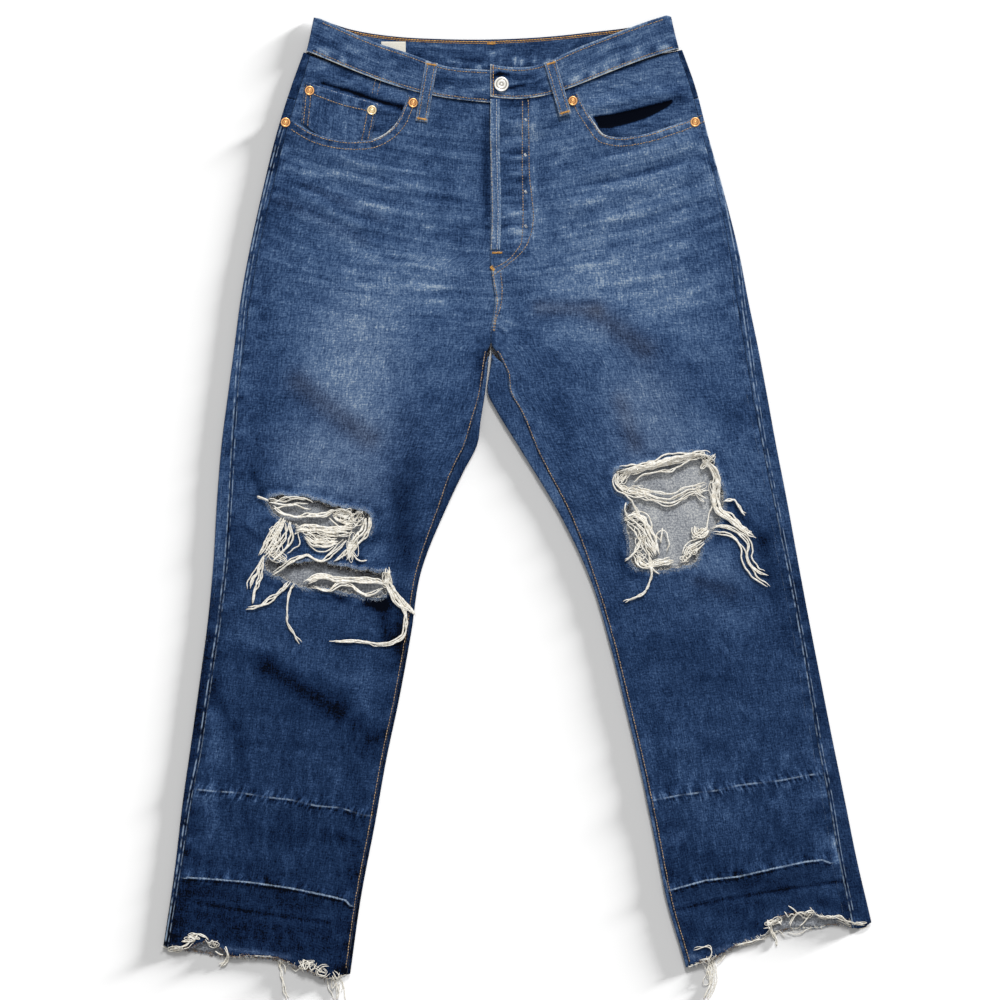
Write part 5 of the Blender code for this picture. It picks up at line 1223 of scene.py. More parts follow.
# ---------------------------------------------------------------- panels
def front_panel(side, looks):
    """A leg front: rows down the leg at even steps, trimmed to the pocket mouth and the holes."""
    sign, table = SIDES[side]["sign"], SIDES[side]["rows"]
    rows, columns = 396, 100
    heights = np.linspace(table[0][0], table[-1][0], rows)
    y_out, y_in, sag = row_table(table, heights)
    outer_x, inner_x = spline(SIDES[side]["outer"], 1, y_out), inner_fold(side, y_in)
    start = seam_x(side, y_out) - sign * GAP / 2
    lap = LAP if side == "right" else -0.6 - GAP / 2
    lapped = smooth(LAP_END, LAP_END + 12.0, y_in)
    end = (inseam_x(side, y_in) + sign * GAP / 2) * (1 - lapped) + lap * lapped
    share = np.linspace(0.0, 1.0, columns)
    first = ((start - outer_x) / (inner_x - outer_x))[:, None]
    last = ((end - outer_x) / (inner_x - outer_x))[:, None]
    plan = row(side, y_out, y_in, sag, first + (last - first) * share)
    slip = seam_x(side, plan[:, 0, 1]) - sign * GAP / 2 - plan[:, 0, 0]
    plan[:, :, 0] += slip[:, None] * (1 - share)
    plan[0, :, 1] -= GAP / 2
    raw_hem(plan, side, 1, heights, 0.8 * ripple(share * 200.0, 3.0, 81))
    region = mouth_region(side)
    points, faces, used = trimmed(
        plan, lambda spots: np.minimum(distance(spots, region), worn_edge(spots, side)))
    level = np.repeat((y_out + y_in) / 2, columns)[used]
    across = np.tile(share, rows)[used] * 0.2
    fields = wash(points, side, level)
    creased = 0.25 + 0.75 * smooth(-30.0, 60.0, points[:, 1])
    fields.update(creases(wrinkle_lines(points), creased))
    middle = np.column_stack((points, front_height(points, side) + front_detail(points, side)))
    cloth("front_panel_" + side, middle, faces, CLOTH, looks, fields,
          np.stack((across, level * MM), axis=-1), 0, "front_" + side)


def back_rows(side, y_out, y_in, sag):
    """Sections of the back: lip in front, half-round outer roll, flat back, inner roll and lip.

    Gives the points and, for each, its length s across the section."""
    data, sign = SIDES[side], SIDES[side]["sign"]
    y_out, y_in = np.asarray(y_out, dtype=float), np.asarray(y_in, dtype=float)
    ends = row(side, y_out, y_in, sag, np.array((0.0, 1.0)), back=True)
    width = np.abs(ends[:, 1, 0] - ends[:, 0, 0])[:, None]
    lip_out = spline(data["outer"], 2, y_out)[:, None] - GAP / 2
    lip_in = spline(data["inner"], 2, y_in)[:, None] - GAP / 2
    curl = smooth(-4.0, -22.0, y_in)[:, None]
    mouth_y = data["mouth"][0][1]
    below = smooth(mouth_y + 10.0, mouth_y - 3.0, y_out)
    seam = pair(seam_x(side, y_out), y_out)
    top_out = (FACING * (1 - below) + front_height(seam, side) * below)[:, None]
    top_in = front_height(pair(inseam_x(side, y_in), y_in), side)[:, None]
    low_out, low_in = back_height(ends[:, 0])[:, None], back_height(ends[:, 1])[:, None]
    # outer lip and roll
    turn = np.radians(np.linspace(90.0, 270.0, 9))[None]
    radius = (top_out - low_out) / 2
    roll_s = radius + CLOTH / 2 + radius * np.cos(turn)
    roll_z = (top_out + low_out) / 2 + radius * np.sin(turn)
    lip_s = lip_out + (roll_s[:, :1] - lip_out) * np.linspace(0.0, 1.0, 6)[None, :-1]
    # inner roll and lip, rolled up as far as curl
    radius = (top_in - low_in) / 2
    unrolled = (radius + CLOTH / 2 - GAP / 2) * (1 - smooth(0.0, 0.5, curl))
    tail = unrolled + np.maximum(lip_in - radius - CLOTH / 2, 0.5) * smooth(0.5, 1.0, curl)
    reach = math.pi * curl * radius
    steps = np.linspace(0.0, 1.0, 9)[None]
    rolled = curl * reach * steps - (1 - curl) * 20.0 * (1 - 0.8 * steps)
    along = np.concatenate((rolled, reach + tail * np.linspace(0.0, 1.0, 6)[None, 1:]), axis=1)
    angle = np.clip(along / radius, 0.0, math.pi * curl)
    beyond = np.maximum(along - reach, 0.0)
    edge_s = width - radius - CLOTH / 2 + np.minimum(along, 0.0)
    edge_s = edge_s + radius * np.sin(angle) + beyond * np.cos(angle)
    edge_z = low_in + radius * (1.0 - np.cos(angle)) + beyond * np.sin(angle)
    edge_z = np.minimum(edge_z, top_in)
    # flat back between them, and the whole section in plan
    first, last = roll_s[:, -1:], edge_s[:, :1]
    bottom_s = first + (last - first) * np.linspace(0.0, 1.0, 64)[None, 1:-1]
    s = np.concatenate((lip_s, roll_s, bottom_s, edge_s), axis=1)
    plan = row(side, y_out, y_in, sag, s / width, back=True)
    plan[:, 0, 0] = seam_x(side, plan[:, 0, 1]) + sign * GAP / 2
    lip_x = inseam_x(side, plan[:, -1, 1]) - sign * GAP
    plan[:, -1, 0] += (lip_x - plan[:, -1, 0]) * curl[:, 0]
    low, turned_in = back_height(plan), edge_s.shape[1]
    edge_z = edge_z + (low[:, -turned_in:] - low_in) * (1 - curl)
    lip_z = np.broadcast_to(top_out, lip_s.shape)
    flat_z = low[:, lip_s.shape[1] + roll_s.shape[1]:-turned_in]
    z = np.concatenate((lip_z, roll_z, flat_z, edge_z), axis=1)
    pucker = 0.25 * ripple(plan[..., 1], 8.0, 91) * smooth(2.4, 4.0, z)
    return np.concatenate((plan, (z + pucker)[..., None]), axis=-1), s


def back_piece(name, side, table, looks, tone, solid, hem=False):
    """A back panel or yoke from rows of y outside, y inside and sag, and a tone of its points."""
    middle, s = back_rows(side, *table)
    if hem:
        raw_hem(middle, side, 2, table[0], 0.7 * ripple(middle[-1, :, 0], 3.0, 92))
    rows, columns = middle.shape[:2]
    points = middle.reshape(-1, 3)
    plan = points[:, :2]
    fields = plain_fields(points, tone(points), 93)
    out = np.abs(points[:, 0] - seam_x(side, points[:, 1]))
    upper = points[:, 2] > 2.2
    dashes = 0.17 * ripple(points[:, 1], 9.0, 94) - 0.03
    fields["tone"] = fields["tone"] + np.where(upper, dashes, 0.0) * bell(out, 12.0)
    fields["seam"] = np.where(upper, pale_seam(plan, side), OFF_SEAM)
    hole = worn_edge(plan, side)
    # painted shade on the inside under the holes' rims, deepest under their upper sides
    shade = 0.38 * upper_side(plan, side, 3.0) * smooth(-8.5, -2.0, hole)
    shade += 0.18 * smooth(-5.0, -1.0, hole)
    fields["pale"] = (0.30 if side == "left" else 0.21) - shade + 0.08 * noise(plan, 14.0, 95)
    grain = np.stack((s.ravel(), points[:, 1]), axis=-1) * MM
    cloth(name, points, grid_faces(rows, columns), CLOTH, looks, fields, grain,
          (rows // 2) * columns + 1, solid)


def backs(side, looks):
    """Back panel from the yoke seam to the hem, and the yoke above it."""
    table, seam = SIDES[side]["rows"], np.array(YOKE_SEAM)

    def tone(points):
        total = spline(WASHES[side], 1, points[:, 1]) * 0.8 + 0.04
        for column, fold in ((1, "outer"), (2, "inner")):
            away = np.abs(points[:, 0] - spline(SIDES[side][fold], 1, points[:, 1]))
            total += np.exp(-away / 12.0) * spline(FOLD_TONES[side], column, points[:, 1])
        return total

    y_out, y_in, _ = row_table(table, np.linspace(158.0, table[-1][0], 150))
    head = np.linspace(0.0, 1.0, 24)[:-1]
    y_out, y_in = (np.concatenate((start - GAP / 2 + (y[0] - start + GAP / 2) * head, y))
                   for start, y in ((seam[0], y_out), (seam[1], y_in)))
    back_piece("back_panel_" + side, side, (y_out, y_in, np.zeros(len(y_out))), looks, tone,
               "back_" + side, hem=True)
    share = np.linspace(0.0, 1.0, 22)[:, None]
    top = np.array(BACK_WAIST[side]) - np.array((GAP / 2, GAP / 2, 0.0))
    foot = seam + np.array((GAP / 2, GAP / 2, 0.0))
    back_piece("yoke_panel_" + side, side, (top[None] * (1 - share) + foot[None] * share).T, looks,
               lambda points: 0.22, "yoke_" + side)


def ruled(top, foot, rows):
    """Plan of straight lines from a top edge to a foot."""
    down = np.linspace(0.0, 1.0, rows)[:, None, None]
    return top[None] * (1 - down) + foot[None] * down


def facing(side, looks):
    """Hip piece behind a mouth: ruled between the waist seam and a line behind the mouth."""
    data, sign = SIDES[side], SIDES[side]["sign"]
    rows, columns = 62, 90
    share = np.linspace(0.0, 1.0, columns)
    y_waist = data["rows"][0][0]
    start = spline(data["outer"], 2, y_waist) / abs(spline(data["outer"], 1, y_waist))
    top = waist_row(side, start + (0.63 - start) * share)
    top[:, 1] -= GAP / 2 + 2.4 * (1.0 - share) ** 3
    line = mouth_curve(side, BEHIND_MOUTH)
    y_mouth = data["mouth"][0][1] + 1.5
    line[0] = (seam_x(side, y_mouth) - sign * GAP / 2, y_mouth)
    line[1:6, 0] -= sign * 2.0
    plan = ruled(top, flow(line[:52:3], columns), rows)
    plan[:, 0, 0] = seam_x(side, plan[:, 0, 1]) - sign * GAP / 2
    points = plan.reshape(-1, 2)
    height = FACING + 0.25 * noise(points, 24.0, 101) + 0.1 * noise(points, 8.0, 102)
    if side == "left":
        fall = smooth(2.2, -1.4, distance(points, SLIT) + 0.3 * noise(points, 9.0, 106))
        ridge = to_line(points, ((104, 243), (134, 249), (160, 254), (190, 257)))[0]
        height = height - 1.7 * fall + 2.0 * bell(ridge, 7.0)
        fold = np.interp(points[:, 0], (108, 134, 164, 186), (227, 233, 240, 248))
        below = smooth(3.0, -3.0, points[:, 1] - fold)
        corner = spot(points, 122.0, 219.0, 13.0)
        # the slit is painted near black as the shadow inside the fold, and the corner below its
        # left end gets painted shade
        tone = 0.59 - 1.3 * fall - 0.05 * below - 0.30 * corner * below
        tone = tone + 0.09 * noise(points, (22.0, 4.0), 103) + 0.08 * noise(points, (9.0, 2.4), 107)
        tone -= 0.02 * smooth(186.0, 196.0, points[:, 0])
        # painted shade at the slit's right end
        tone -= 0.32 * spot(points, 192.0, 254.0, 10.0)
    else:
        slit = ((-172, 267), (-144, 259), (-121, 250.5), (-108, 246.5), (-90, 242))
        away, run = to_line(points, slit)
        fall = bell(away, np.interp(run, (0.0, 60.0, 90.0), (1.4, 2.2, 4.0)))
        height = height - 1.2 * fall + 0.8 * bell(away - 7.0, 5.0)
        # the slit is painted dark as the shadow above the coin pocket's top edge
        tone = 0.45 - 0.80 * fall + 0.13 * noise(points, (30.0, 5.0), 104)
        tone += 0.12 * noise(points, (9.0, 2.4), 108)
        tone += 0.08 * bell(by_waist(points, side) - 7.0, 6.0)
        tone += 0.12 * spot(points, -188.0, 271.0, 8.0)
    # painted shadow: a thin dark line just under the waistband's lower edge
    tone -= 0.34 * bell(by_waist(points, side) - 0.6, 2.0)
    fields = plain_fields(points, tone, 105)
    fields.update(creases(wrinkle_lines(points), 1.0))
    middle = np.column_stack((points, height))
    cloth("pocket_facing_cloth_" + side, middle, grid_faces(rows, columns), CLOTH, looks,
          fields, points[:, ::-1] * MM, 700, "pocket_facing_" + side)


def coin_pocket(looks):
    """Small pocket: ruled between its top and foot, its hem and sides rising over their seams."""
    rows, columns = 34, 46
    points = ruled(flow(COIN_TOP, columns), flow(COIN_FOOT, columns), rows).reshape(-1, 2)
    grain = pair(np.linspace(0.0, 1.0, columns) * COIN_WIDE,
                 np.linspace(0.0, 1.0, rows)[:, None] * COIN_TALL).reshape(-1, 2)
    u, v = grain.T
    pucker = ripple(u, 5.0, 111) * bell(v - 4.0, 3.5)
    sides = smooth(9.5, 7.0, u) + smooth(66.5, 69.0, u)
    bulge = np.sin(math.pi * u / COIN_WIDE) * 0.5
    height = COIN + 0.3 * smooth(9.5, 7.5, v) + 0.3 * pucker + 0.28 * sides
    height = height + bulge + 0.12 * noise(points, 9.0, 112)
    tone = 0.48 + 0.26 * pucker - 0.10 * sides + 0.12 * np.exp(-v / 1.5)
    tone += 0.08 * noise(points, (4.0, 14.0), 113)
    tone = tone + 0.20 * veins(points, (8.0, 22.0), 115) - 0.04
    edge = np.minimum(np.minimum(u, COIN_WIDE - u), v)
    fields = plain_fields(points, tone, 114, 0.5 * bell(edge, 1.0))
    cloth("coin_pocket_cloth", np.column_stack((points, height)), grid_faces(rows, columns), THIN,
          looks, fields, grain * MM, 600, "coin_pocket")


def band_edges(side, share):
    """Lower and upper edge of the front of the waistband, from the centre outwards."""
    lower = waist_row(side, 1.0 - share)
    lower[:, 1] += 1.5 * GAP
    inwards = spline(BAND_LEAN, 1, share) * SIDES[side]["sign"] * -1.0
    return lower, lower + pair(inwards, spline(BAND_LEAN, 2, share))


def back_waist(x):
    """Height of the waist seam at the back."""
    levels = []
    for side in ("right", "left"):
        y_out, y_in, sag = BACK_WAIST[side]
        share = np.clip(1.0 - np.abs(x) / abs(spline(SIDES[side]["outer"], 1, y_out)), 0.0, 1.0)
        levels.append(y_out + (y_in - y_out) * share - sag * np.sin(math.pi * share))
    return np.where(x < 0.0, *levels)


def fold(start, end, z_a, z_b, outward):
    """Half-round turn of the waistband at a side, between two places of its edges."""
    turn = np.radians(np.linspace(-78.0, 78.0, TURN_ROWS))
    weight = (np.sin(turn) + 1) / 2
    out = np.cos(turn)[:, None] * (abs(z_b - z_a) / 2) * np.array((outward, 0.0))
    low, top = (a + (b - a) * weight[:, None] + out for a, b in zip(start, end))
    return low, top, z_a + (z_b - z_a) * weight


def band_lines():
    """Lower edge, upper edge and height along the waistband, from the lapped right end round."""
    share = np.linspace(0.0, 0.975, FRONT_ROWS)
    right, left = band_edges("right", share), band_edges("left", share)
    tail_x = np.linspace(32.0, 1.6, TAIL_ROWS)
    tail = [np.column_stack((tail_x, np.full(TAIL_ROWS, edge[0, 1] + 1.0))) for edge in right]
    left[0][0, 0] = left[1][0, 0] = -0.6
    x = np.linspace(-186.0, 189.0, BACK_ROWS)
    back = (np.column_stack((x, back_waist(x) + GAP)),
            np.column_stack((x * 0.965, spline(BAND_BACK_TOP, 1, x * 0.965))))
    turn_r = fold([e[-1] for e in right], [e[0] for e in back], BAND_HIGH, BAND_LOW, -1.0)
    turn_l = fold([e[-1] for e in back], [e[-1] for e in left], BAND_LOW, BAND_HIGH, 1.0)
    lows, tops = (np.concatenate((tail[k], right[k], turn_r[k], back[k], turn_l[k], left[k][::-1]))
                  for k in (0, 1))
    high_left = BAND_HIGH + (BAND_OVER - BAND_HIGH) * smooth(0.36, 0.19, share)
    z = np.concatenate((np.full(TAIL_ROWS + FRONT_ROWS, BAND_HIGH), turn_r[2],
                        np.full(BACK_ROWS, BAND_LOW), turn_l[2], high_left[::-1]))
    return lows, tops, z


def band_grid():
    """Middle of the waistband: lines across it, its lower seam roped and its edges rounded."""
    lows, tops, z = band_lines()
    run = arc(np.column_stack((lows, z)))
    across = 0.5 - 0.5 * np.cos(math.pi * np.linspace(0.0, 1.0, 26))
    plan = lows[:, None] * (1 - across[:, None]) + tops[:, None] * across[:, None]
    low_edge = across[None] * BAND_TALL
    top_edge = BAND_TALL - low_edge
    rope = ripple(run + 200.0, 6.5, 121)[:, None] * bell(low_edge - 5.0, 4.0)
    round_off = -0.35 * np.exp(-low_edge / 1.0) - 0.35 * np.exp(-top_edge / 1.0)
    groove = -0.2 * bell(low_edge - 2.4, 0.9) - 0.2 * bell(top_edge - 3.0, 0.9)
    sense = np.where(np.abs(z - BAND_LOW)[:, None] < 0.01, -1.0, 1.0)
    waves = 0.3 * noise(pair(run[:, None], low_edge), 20.0, 122)
    relief = (0.3 * rope + round_off + groove + waves) * np.where(sense < 0, 0.3, 1.0)
    height = z[:, None] + relief * sense
    return np.concatenate((plan, height[..., None]), axis=-1), run[:, None], low_edge, rope


def waistband(looks):
    """One strip round the waist, two plies thick."""
    middle, run, low_edge, rope = band_grid()
    rows, columns = middle.shape[:2]
    points, top_edge = middle.reshape(-1, 3), BAND_TALL - low_edge
    edge, near = np.minimum(low_edge, top_edge), np.abs(middle[..., 0])
    behind = np.abs(middle[..., 2] - BAND_LOW) < 1.2
    tone = 0.52 + 0.30 * rope - 0.10 * bell(low_edge - 16.0, 8.0)
    tone -= behind * (0.10 + 0.12 * bell(top_edge, 7.0))
    tone += 0.11 * bell(low_edge - 7.0, 5.5) * smooth(50.0, 90.0, near) * ~behind
    tone = tone - 0.10 * bell(edge - 3.4, 1.2) + np.where(behind, -0.22, 0.24) * bell(edge, 1.3)
    tone -= 0.05 * bell(near, 46.0) * ~behind
    flat = pair(run, low_edge)
    tone = tone + 0.11 * noise(flat, (30.0, 4.5), 123) + 0.07 * noise(flat, (13.0, 3.0), 125)
    tone = tone + 0.09 * veins(flat, (26.0, 8.0), 126) + 0.06 * noise(flat, (6.0, 7.0), 127) + 0.02
    plan = middle[..., :2]
    tone += np.where(behind, strokes(plan, INSIDE_MARKS), strokes(plan, BAND_MARKS))
    worn = (0.72 + 0.30 * ripple(run, 8.0, 128)) * bell(low_edge, 1.1)
    worn = worn + 0.42 * bell(top_edge, 0.8) + 0.9 * bell(run[-1] - run, 1.4)
    fields = plain_fields(points, tone, 124, worn * ~behind)
    fields.update(creases(flat.reshape(-1, 2), 1.0))
    cloth("waistband_cloth", points, grid_faces(rows, columns), BAND, looks, fields,
          flat.reshape(-1, 2)[:, ::-1] * MM, BAND_UP[0] * columns + BAND_UP[1],
          "waistband")


def band_top(points):
    """Top of the waistband's front at a point."""
    over = smooth(0.36, 0.19, points[..., 0] / 194.0) * (points[..., 0] > -0.6)
    return BAND_HIGH + (BAND_OVER - BAND_HIGH) * over + BAND / 2


def strip(path, width, steps, columns):
    """Plan of a strip of even width along a smooth path, length along it and offset across it."""
    middle = flow(path, steps)
    normal = aside(unit(np.gradient(middle, axis=0)))
    offset = np.linspace(-width / 2, width / 2, columns)
    return middle[:, None] + normal[:, None] * offset[:, None], arc(middle)[:, None], offset[None]


def strip_cloth(name, plan, z, run, offset, thickness, looks, fields, above, solid):
    """Sheet of a strip, with its grain along it."""
    points = np.concatenate((plan, z[..., None]), axis=-1).reshape(-1, 3)
    cloth(name, points, grid_faces(*z.shape), thickness, looks, fields,
          pair(offset, run).reshape(-1, 2) * MM, above, solid)


def loop_height(plan, side, run):
    """Middle of a front loop: over the waistband, arched, then down to the front at its foot."""
    t = run / run[-1]
    level = np.maximum(BAND_HIGH + BAND / 2, band_top(plan))
    low = front_height(plan, side).max() + CLOTH / 2
    down = smooth(0.66, 0.8, t)
    arch = 1.3 * np.sin(math.pi * np.clip(t / 0.95, 0, 1)) ** 2
    return level * (1 - down) + low * down + GAP + 0.6 + arch


def belt_loop(end, path, height, looks, tone, relief=1.0, wall=1.2):
    """A belt loop: a folded strip, raised along both edges, with hollows under its stitches."""
    plan, run, offset = strip(path, LOOP_WIDTH, 46, 15)
    out = np.abs(offset)
    ridge = 0.28 * bell(out - 4.8, 0.9) - 0.12 * bell(out - 3.4, 0.6)
    ends = np.exp(-run / 2.0) + np.exp(-(run[-1] - run) / 2.0)
    z = height(plan, run) + relief * (ridge - 0.3 * ends + 0.12 * ripple(run, 5.0, 131))
    shade = tone + 0.12 * bell(out - 5.4, 0.9) - 0.05 * bell(offset, 2.5) + 0.12 * ends
    bare = 0.7 * bell(out - 6.0, 0.5) + 0.6 * ends ** 3
    fields = plain_fields(plan.reshape(-1, 2), shade, 132, bare)
    strip_cloth("belt_loop_cloth_" + end, plan, z, run, offset, wall, looks, fields, 300,
                "belt_loop_" + end)
    return plan, z


def fly_edge(looks):
    """Folded edge of the fly: a narrow crowned strip standing over the left front."""
    x0, x1, y0, y1 = FLY_EDGE
    x = (x0 + x1) / 2
    path = ((x, y0), (x - 0.2, 215.0), (x + 1.0, 165.0), (x + 1.6, 138.0), (x + 0.4, y1))
    plan, run, offset = strip(path, x1 - x0, 110, 13)
    along = run[:, 0]
    base = front_height(pair(4.0, y0 - along), "left")
    base = np.max([np.interp(along, along + s, base) for s in (-14.0, 0.0, 14.0)], axis=0)
    crown = 0.5 * np.cos(math.pi * offset / 11.0) - 0.3
    z = base[:, None] + CLOTH + GAP + crown + 0.1 * ripple(run, 9.0, 141)
    tone = 0.70 + 0.14 * bell(np.abs(offset) - 4.0, 1.0) + 0.10 * ripple(run, 7.0, 142)
    tone -= 0.10 * bell(offset - 0.6, 1.3)
    worn = 0.62 * bell(offset + 4.6, 0.9) + 0.4 * bell(offset - 4.7, 0.6) + 0.0 * run
    fields = plain_fields(plan.reshape(-1, 2), tone, 143, worn)
    strip_cloth("fly_edge_cloth", plan, z, run, offset, CLOTH, looks, fields, 700,
                "fly_edge")
    return plan, z


def back_pocket(side, looks):
    """Back pocket: ruled between its top hem and its pointed foot."""
    corners = np.array([(-SIDES[side]["sign"] * x, y) for x, y in BACK_POCKET])
    a, b, c, d, e = corners
    foot = np.concatenate((np.linspace(e, d, 31)[:-1], np.linspace(d, c, 30)))
    plan = ruled(flow((a, (a + b) / 2, b), 60), foot, 62)
    points = plan.reshape(-1, 2)
    edge = np.abs(distance(points, corners))
    fields = plain_fields(points, 0.46 + 0.12 * bell(edge, 2.0), 151, 0.5 * bell(edge, 1.0))
    middle = np.column_stack((points, np.full(len(points), 0.55)))
    cloth("back_pocket_cloth_" + side, middle, grid_faces(*plan.shape[:2]), THIN, looks[::-1],
          fields, points * MM, 0, "back_pocket_" + side)


def label(looks):
    """Bare woven label, slightly waved."""
    corners = np.array(LABEL)
    side = np.linspace(0.0, 1.0, 26)
    plan = (corners[0] + (corners[1] - corners[0]) * side[:, None])[None]
    plan = plan + np.linspace(0.0, 1.0, 20)[:, None, None] * (corners[3] - corners[0])
    points = plan.reshape(-1, 2)
    height = BAND_LOW + BAND / 2 + GAP + 0.25 + 0.12 * noise(points, 8.0, 161)
    middle = np.column_stack((points, height))
    cloth("label_cloth", middle, grid_faces(*plan.shape[:2]), 0.45, looks, {}, points * MM,
          0, "label")


# ---------------------------------------------------------------- stitches, yarns and fray
def tubes(lines, radii, sides):
    """Closed round tubes along many lines: rings in the plane across each line, capped by quads.

    lines is (tubes, rings, 3), radii (tubes, rings), sides 4 or 6."""
    many, rings = lines.shape[:2]
    tangent = unit(np.gradient(lines, axis=1))
    across = unit(np.cross(tangent, np.array((0.0, 0.0, 1.0))), 1e-6)
    upward = np.cross(across, tangent)
    angle = np.linspace(0.0, 2.0 * math.pi, sides, endpoint=False)[:, None] - math.pi / 2
    spoke = across[:, :, None] * np.cos(angle) + upward[:, :, None] * np.sin(angle)
    points = (lines[:, :, None] + radii[:, :, None, None] * spoke).reshape(-1, 3)
    index = np.arange(many * rings * sides).reshape(many, rings, sides)
    after = np.roll(index, -1, axis=2)
    wall = np.stack((index[:, :-1], index[:, 1:], after[:, 1:], after[:, :-1]), axis=-1)
    halves = ((0, 1, 2, 3),) if sides == 4 else ((0, 1, 2, 3), (0, 3, 4, 5))
    caps = [index[:, 0][:, half] for half in halves]
    caps += [index[:, -1][:, half[::-1]] for half in halves]
    steps = np.linalg.norm(np.diff(lines, axis=1), axis=-1)
    run = np.concatenate((np.zeros((many, 1)), np.cumsum(steps, axis=1)), axis=1)
    grain = pair(np.arange(sides) / sides, run[:, :, None] * MM).reshape(-1, 2)
    return points, np.concatenate([wall.reshape(-1, 4)] + caps), grain


def threads(name, parts, look):
    """One piece made of several lots of stitches or yarn."""
    points, faces, grain = zip(*parts)
    firsts = np.cumsum([0] + [len(lot) for lot in points[:-1]])
    faces = np.concatenate([lot + first for lot, first in zip(faces, firsts)])
    points, grain = np.concatenate(points), np.concatenate(grain)
    return piece(name, points, faces, (look,), grain=grain)


def stitch_row(path, seed, radius=0.45, length=2.25, stray=0.12, pitch=2.9):
    """Stitches at even steps along a line in space: short arcs that dip at both ends."""
    path = np.asarray(path, dtype=float)
    run = arc(path)
    count = max(int(run[-1] / pitch), 1)
    middle = (np.arange(count) + 0.5) * run[-1] / count
    at = middle[:, None] + STITCH_RINGS * length / 2
    lines = np.stack([np.interp(at, run, path[:, k]) for k in range(3)], axis=-1)
    random = np.random.default_rng(seed)
    lines[:, :, :2] += random.normal(0.0, stray, (count, 1, 2))
    lines[:, :, 2] += radius * 0.5 - 0.35 * radius * STITCH_RINGS ** 4 * 2.0
    radii = np.broadcast_to(radius * np.array((0.55, 1.0, 1.0, 0.55)), (count, 4))
    return tubes(lines, radii, 4)


def bar(a, b, width, height, seed, radius=0.36, pitch=0.62):
    """Bartack: close parallel stitches across the line from a to b."""
    a, b = np.array(a, dtype=float), np.array(b, dtype=float)
    count = int(np.linalg.norm(b - a) / pitch)
    share = (np.arange(count) + 0.5) / count
    middle = a + (b - a) * share[:, None]
    across = aside((b - a) / np.linalg.norm(b - a))
    random = np.random.default_rng(seed)
    reach = width / 2 * random.uniform(0.85, 1.1, (count, 1))
    plan = middle[:, None] + across * (reach * STITCH_RINGS)[..., None]
    plan = plan + random.normal(0.0, 0.08, (count, 1, 2))
    z = height(plan) if callable(height) else np.full(plan.shape[:2], height)
    lines = np.concatenate((plan, (z + 0.25 - 0.3 * STITCH_RINGS ** 4)[..., None]), axis=-1)
    return tubes(lines, np.full((count, 4), radius), 4)


def raised(path, height):
    """A plan path, smoothed, with its height from a function of the plan."""
    plan = flow(path, max(int(arc(path)[-1] / 1.5), 4))
    return np.column_stack((plan, height(plan)))


def yarns(table, height, seed, thin=0.68, thick=1.04):
    """Loose yarns in bundles: each strand keeps its own even offset, with slow and quick waves.

    Offset at share t is spread (random, widest at the middle) + 1.4 wave(14 mm) + wave(5.5 mm)."""
    random = np.random.default_rng(seed)
    parts = []
    for strands, spread, path in table:
        length = arc(path)[-1]
        count = int(np.clip(length / 1.8, 10, FINE))
        middle = flow(path, FINE)
        tangent = np.gradient(middle, axis=0)
        for k in range(strands):
            start, end = random.uniform(-0.03, 0.05), 1.0 - random.uniform(-0.03, 0.08)
            share = start + (end - start) * np.linspace(0.0, 1.0, count)
            base = np.stack([np.interp(np.clip(share, 0, 1), np.linspace(0, 1, FINE), middle[:, i])
                             for i in range(2)], axis=-1)
            over = np.where(share < 0, share, np.where(share > 1, share - 1, 0.0))[:, None] * length
            ahead = np.where(share[:, None] < 0.5, tangent[0], tangent[-1])
            base = base + over * ahead / np.linalg.norm(tangent[0])
            own = (k + 0.5) / strands - 0.5 if strands > 1 else 0.0
            own = own * spread * 1.35 + random.normal(0.0, 0.18) * spread
            lane = own * (0.65 + 0.35 * np.sin(math.pi * share)) + random.normal(0, 0.4)
            run = share * length + random.uniform(0.0, 500.0)
            sway = 1.4 * ripple(run, 14.0, seed + k) + 1.0 * ripple(run, 5.5, seed + 50 + k)
            away = (lane + sway * min(1.0, length / 30.0))[:, None]
            plan = base + aside(unit(np.gradient(base, axis=0), 1e-6)) * away
            lift_off = random.uniform(0.1, 1.3) + 0.5 * ripple(run, 11.0, seed + 90 + k)
            radius = random.uniform(thin, thick)
            z = height(plan) + radius + 0.25 + np.maximum(lift_off, 0.0)
            taper = np.minimum(1.0, 0.35 + 6.0 * np.minimum(share - start, end - share))
            radii = radius * taper * (1.0 + 0.12 * ripple(run, 3.0, seed + 130 + k))
            parts.append(tubes(np.column_stack((plan, z))[None], radii[None], 6))
    return parts


def tangles(table, height, seed, radius=(0.34, 0.52)):
    """Curled yarn in heaps: x = a (0.62 sin(p t) + 0.38 sin(q t)), y the same with b, z a wave."""
    random = np.random.default_rng(seed)
    parts = []
    for x, y, a, b, loops in table:
        t = np.linspace(0.0, 2.0 * math.pi, 20 * loops)
        turns = loops * random.uniform(0.75, 1.25, 4)
        phase = random.uniform(0.0, 2.0 * math.pi, 5)
        pace = turns * np.array((1.0, 0.37, 1.0, 0.41))
        wave = np.sin(pace[:, None] * t + phase[:4, None])
        plan = np.stack((x + a * (0.62 * wave[0] + 0.38 * wave[1]),
                         y + b * (0.62 * wave[2] + 0.38 * wave[3])), axis=-1)
        z = height(plan) + 0.7 + 1.0 * (1 + np.sin(loops * 1.7 * t + phase[4]))
        taper = np.minimum(1.0, 0.3 + 5.0 * np.minimum(t, t[::-1]) / math.pi)
        size = random.uniform(*radius) * taper
        parts.append(tubes(np.column_stack((plan, z))[None], size[None], 6))
    return parts


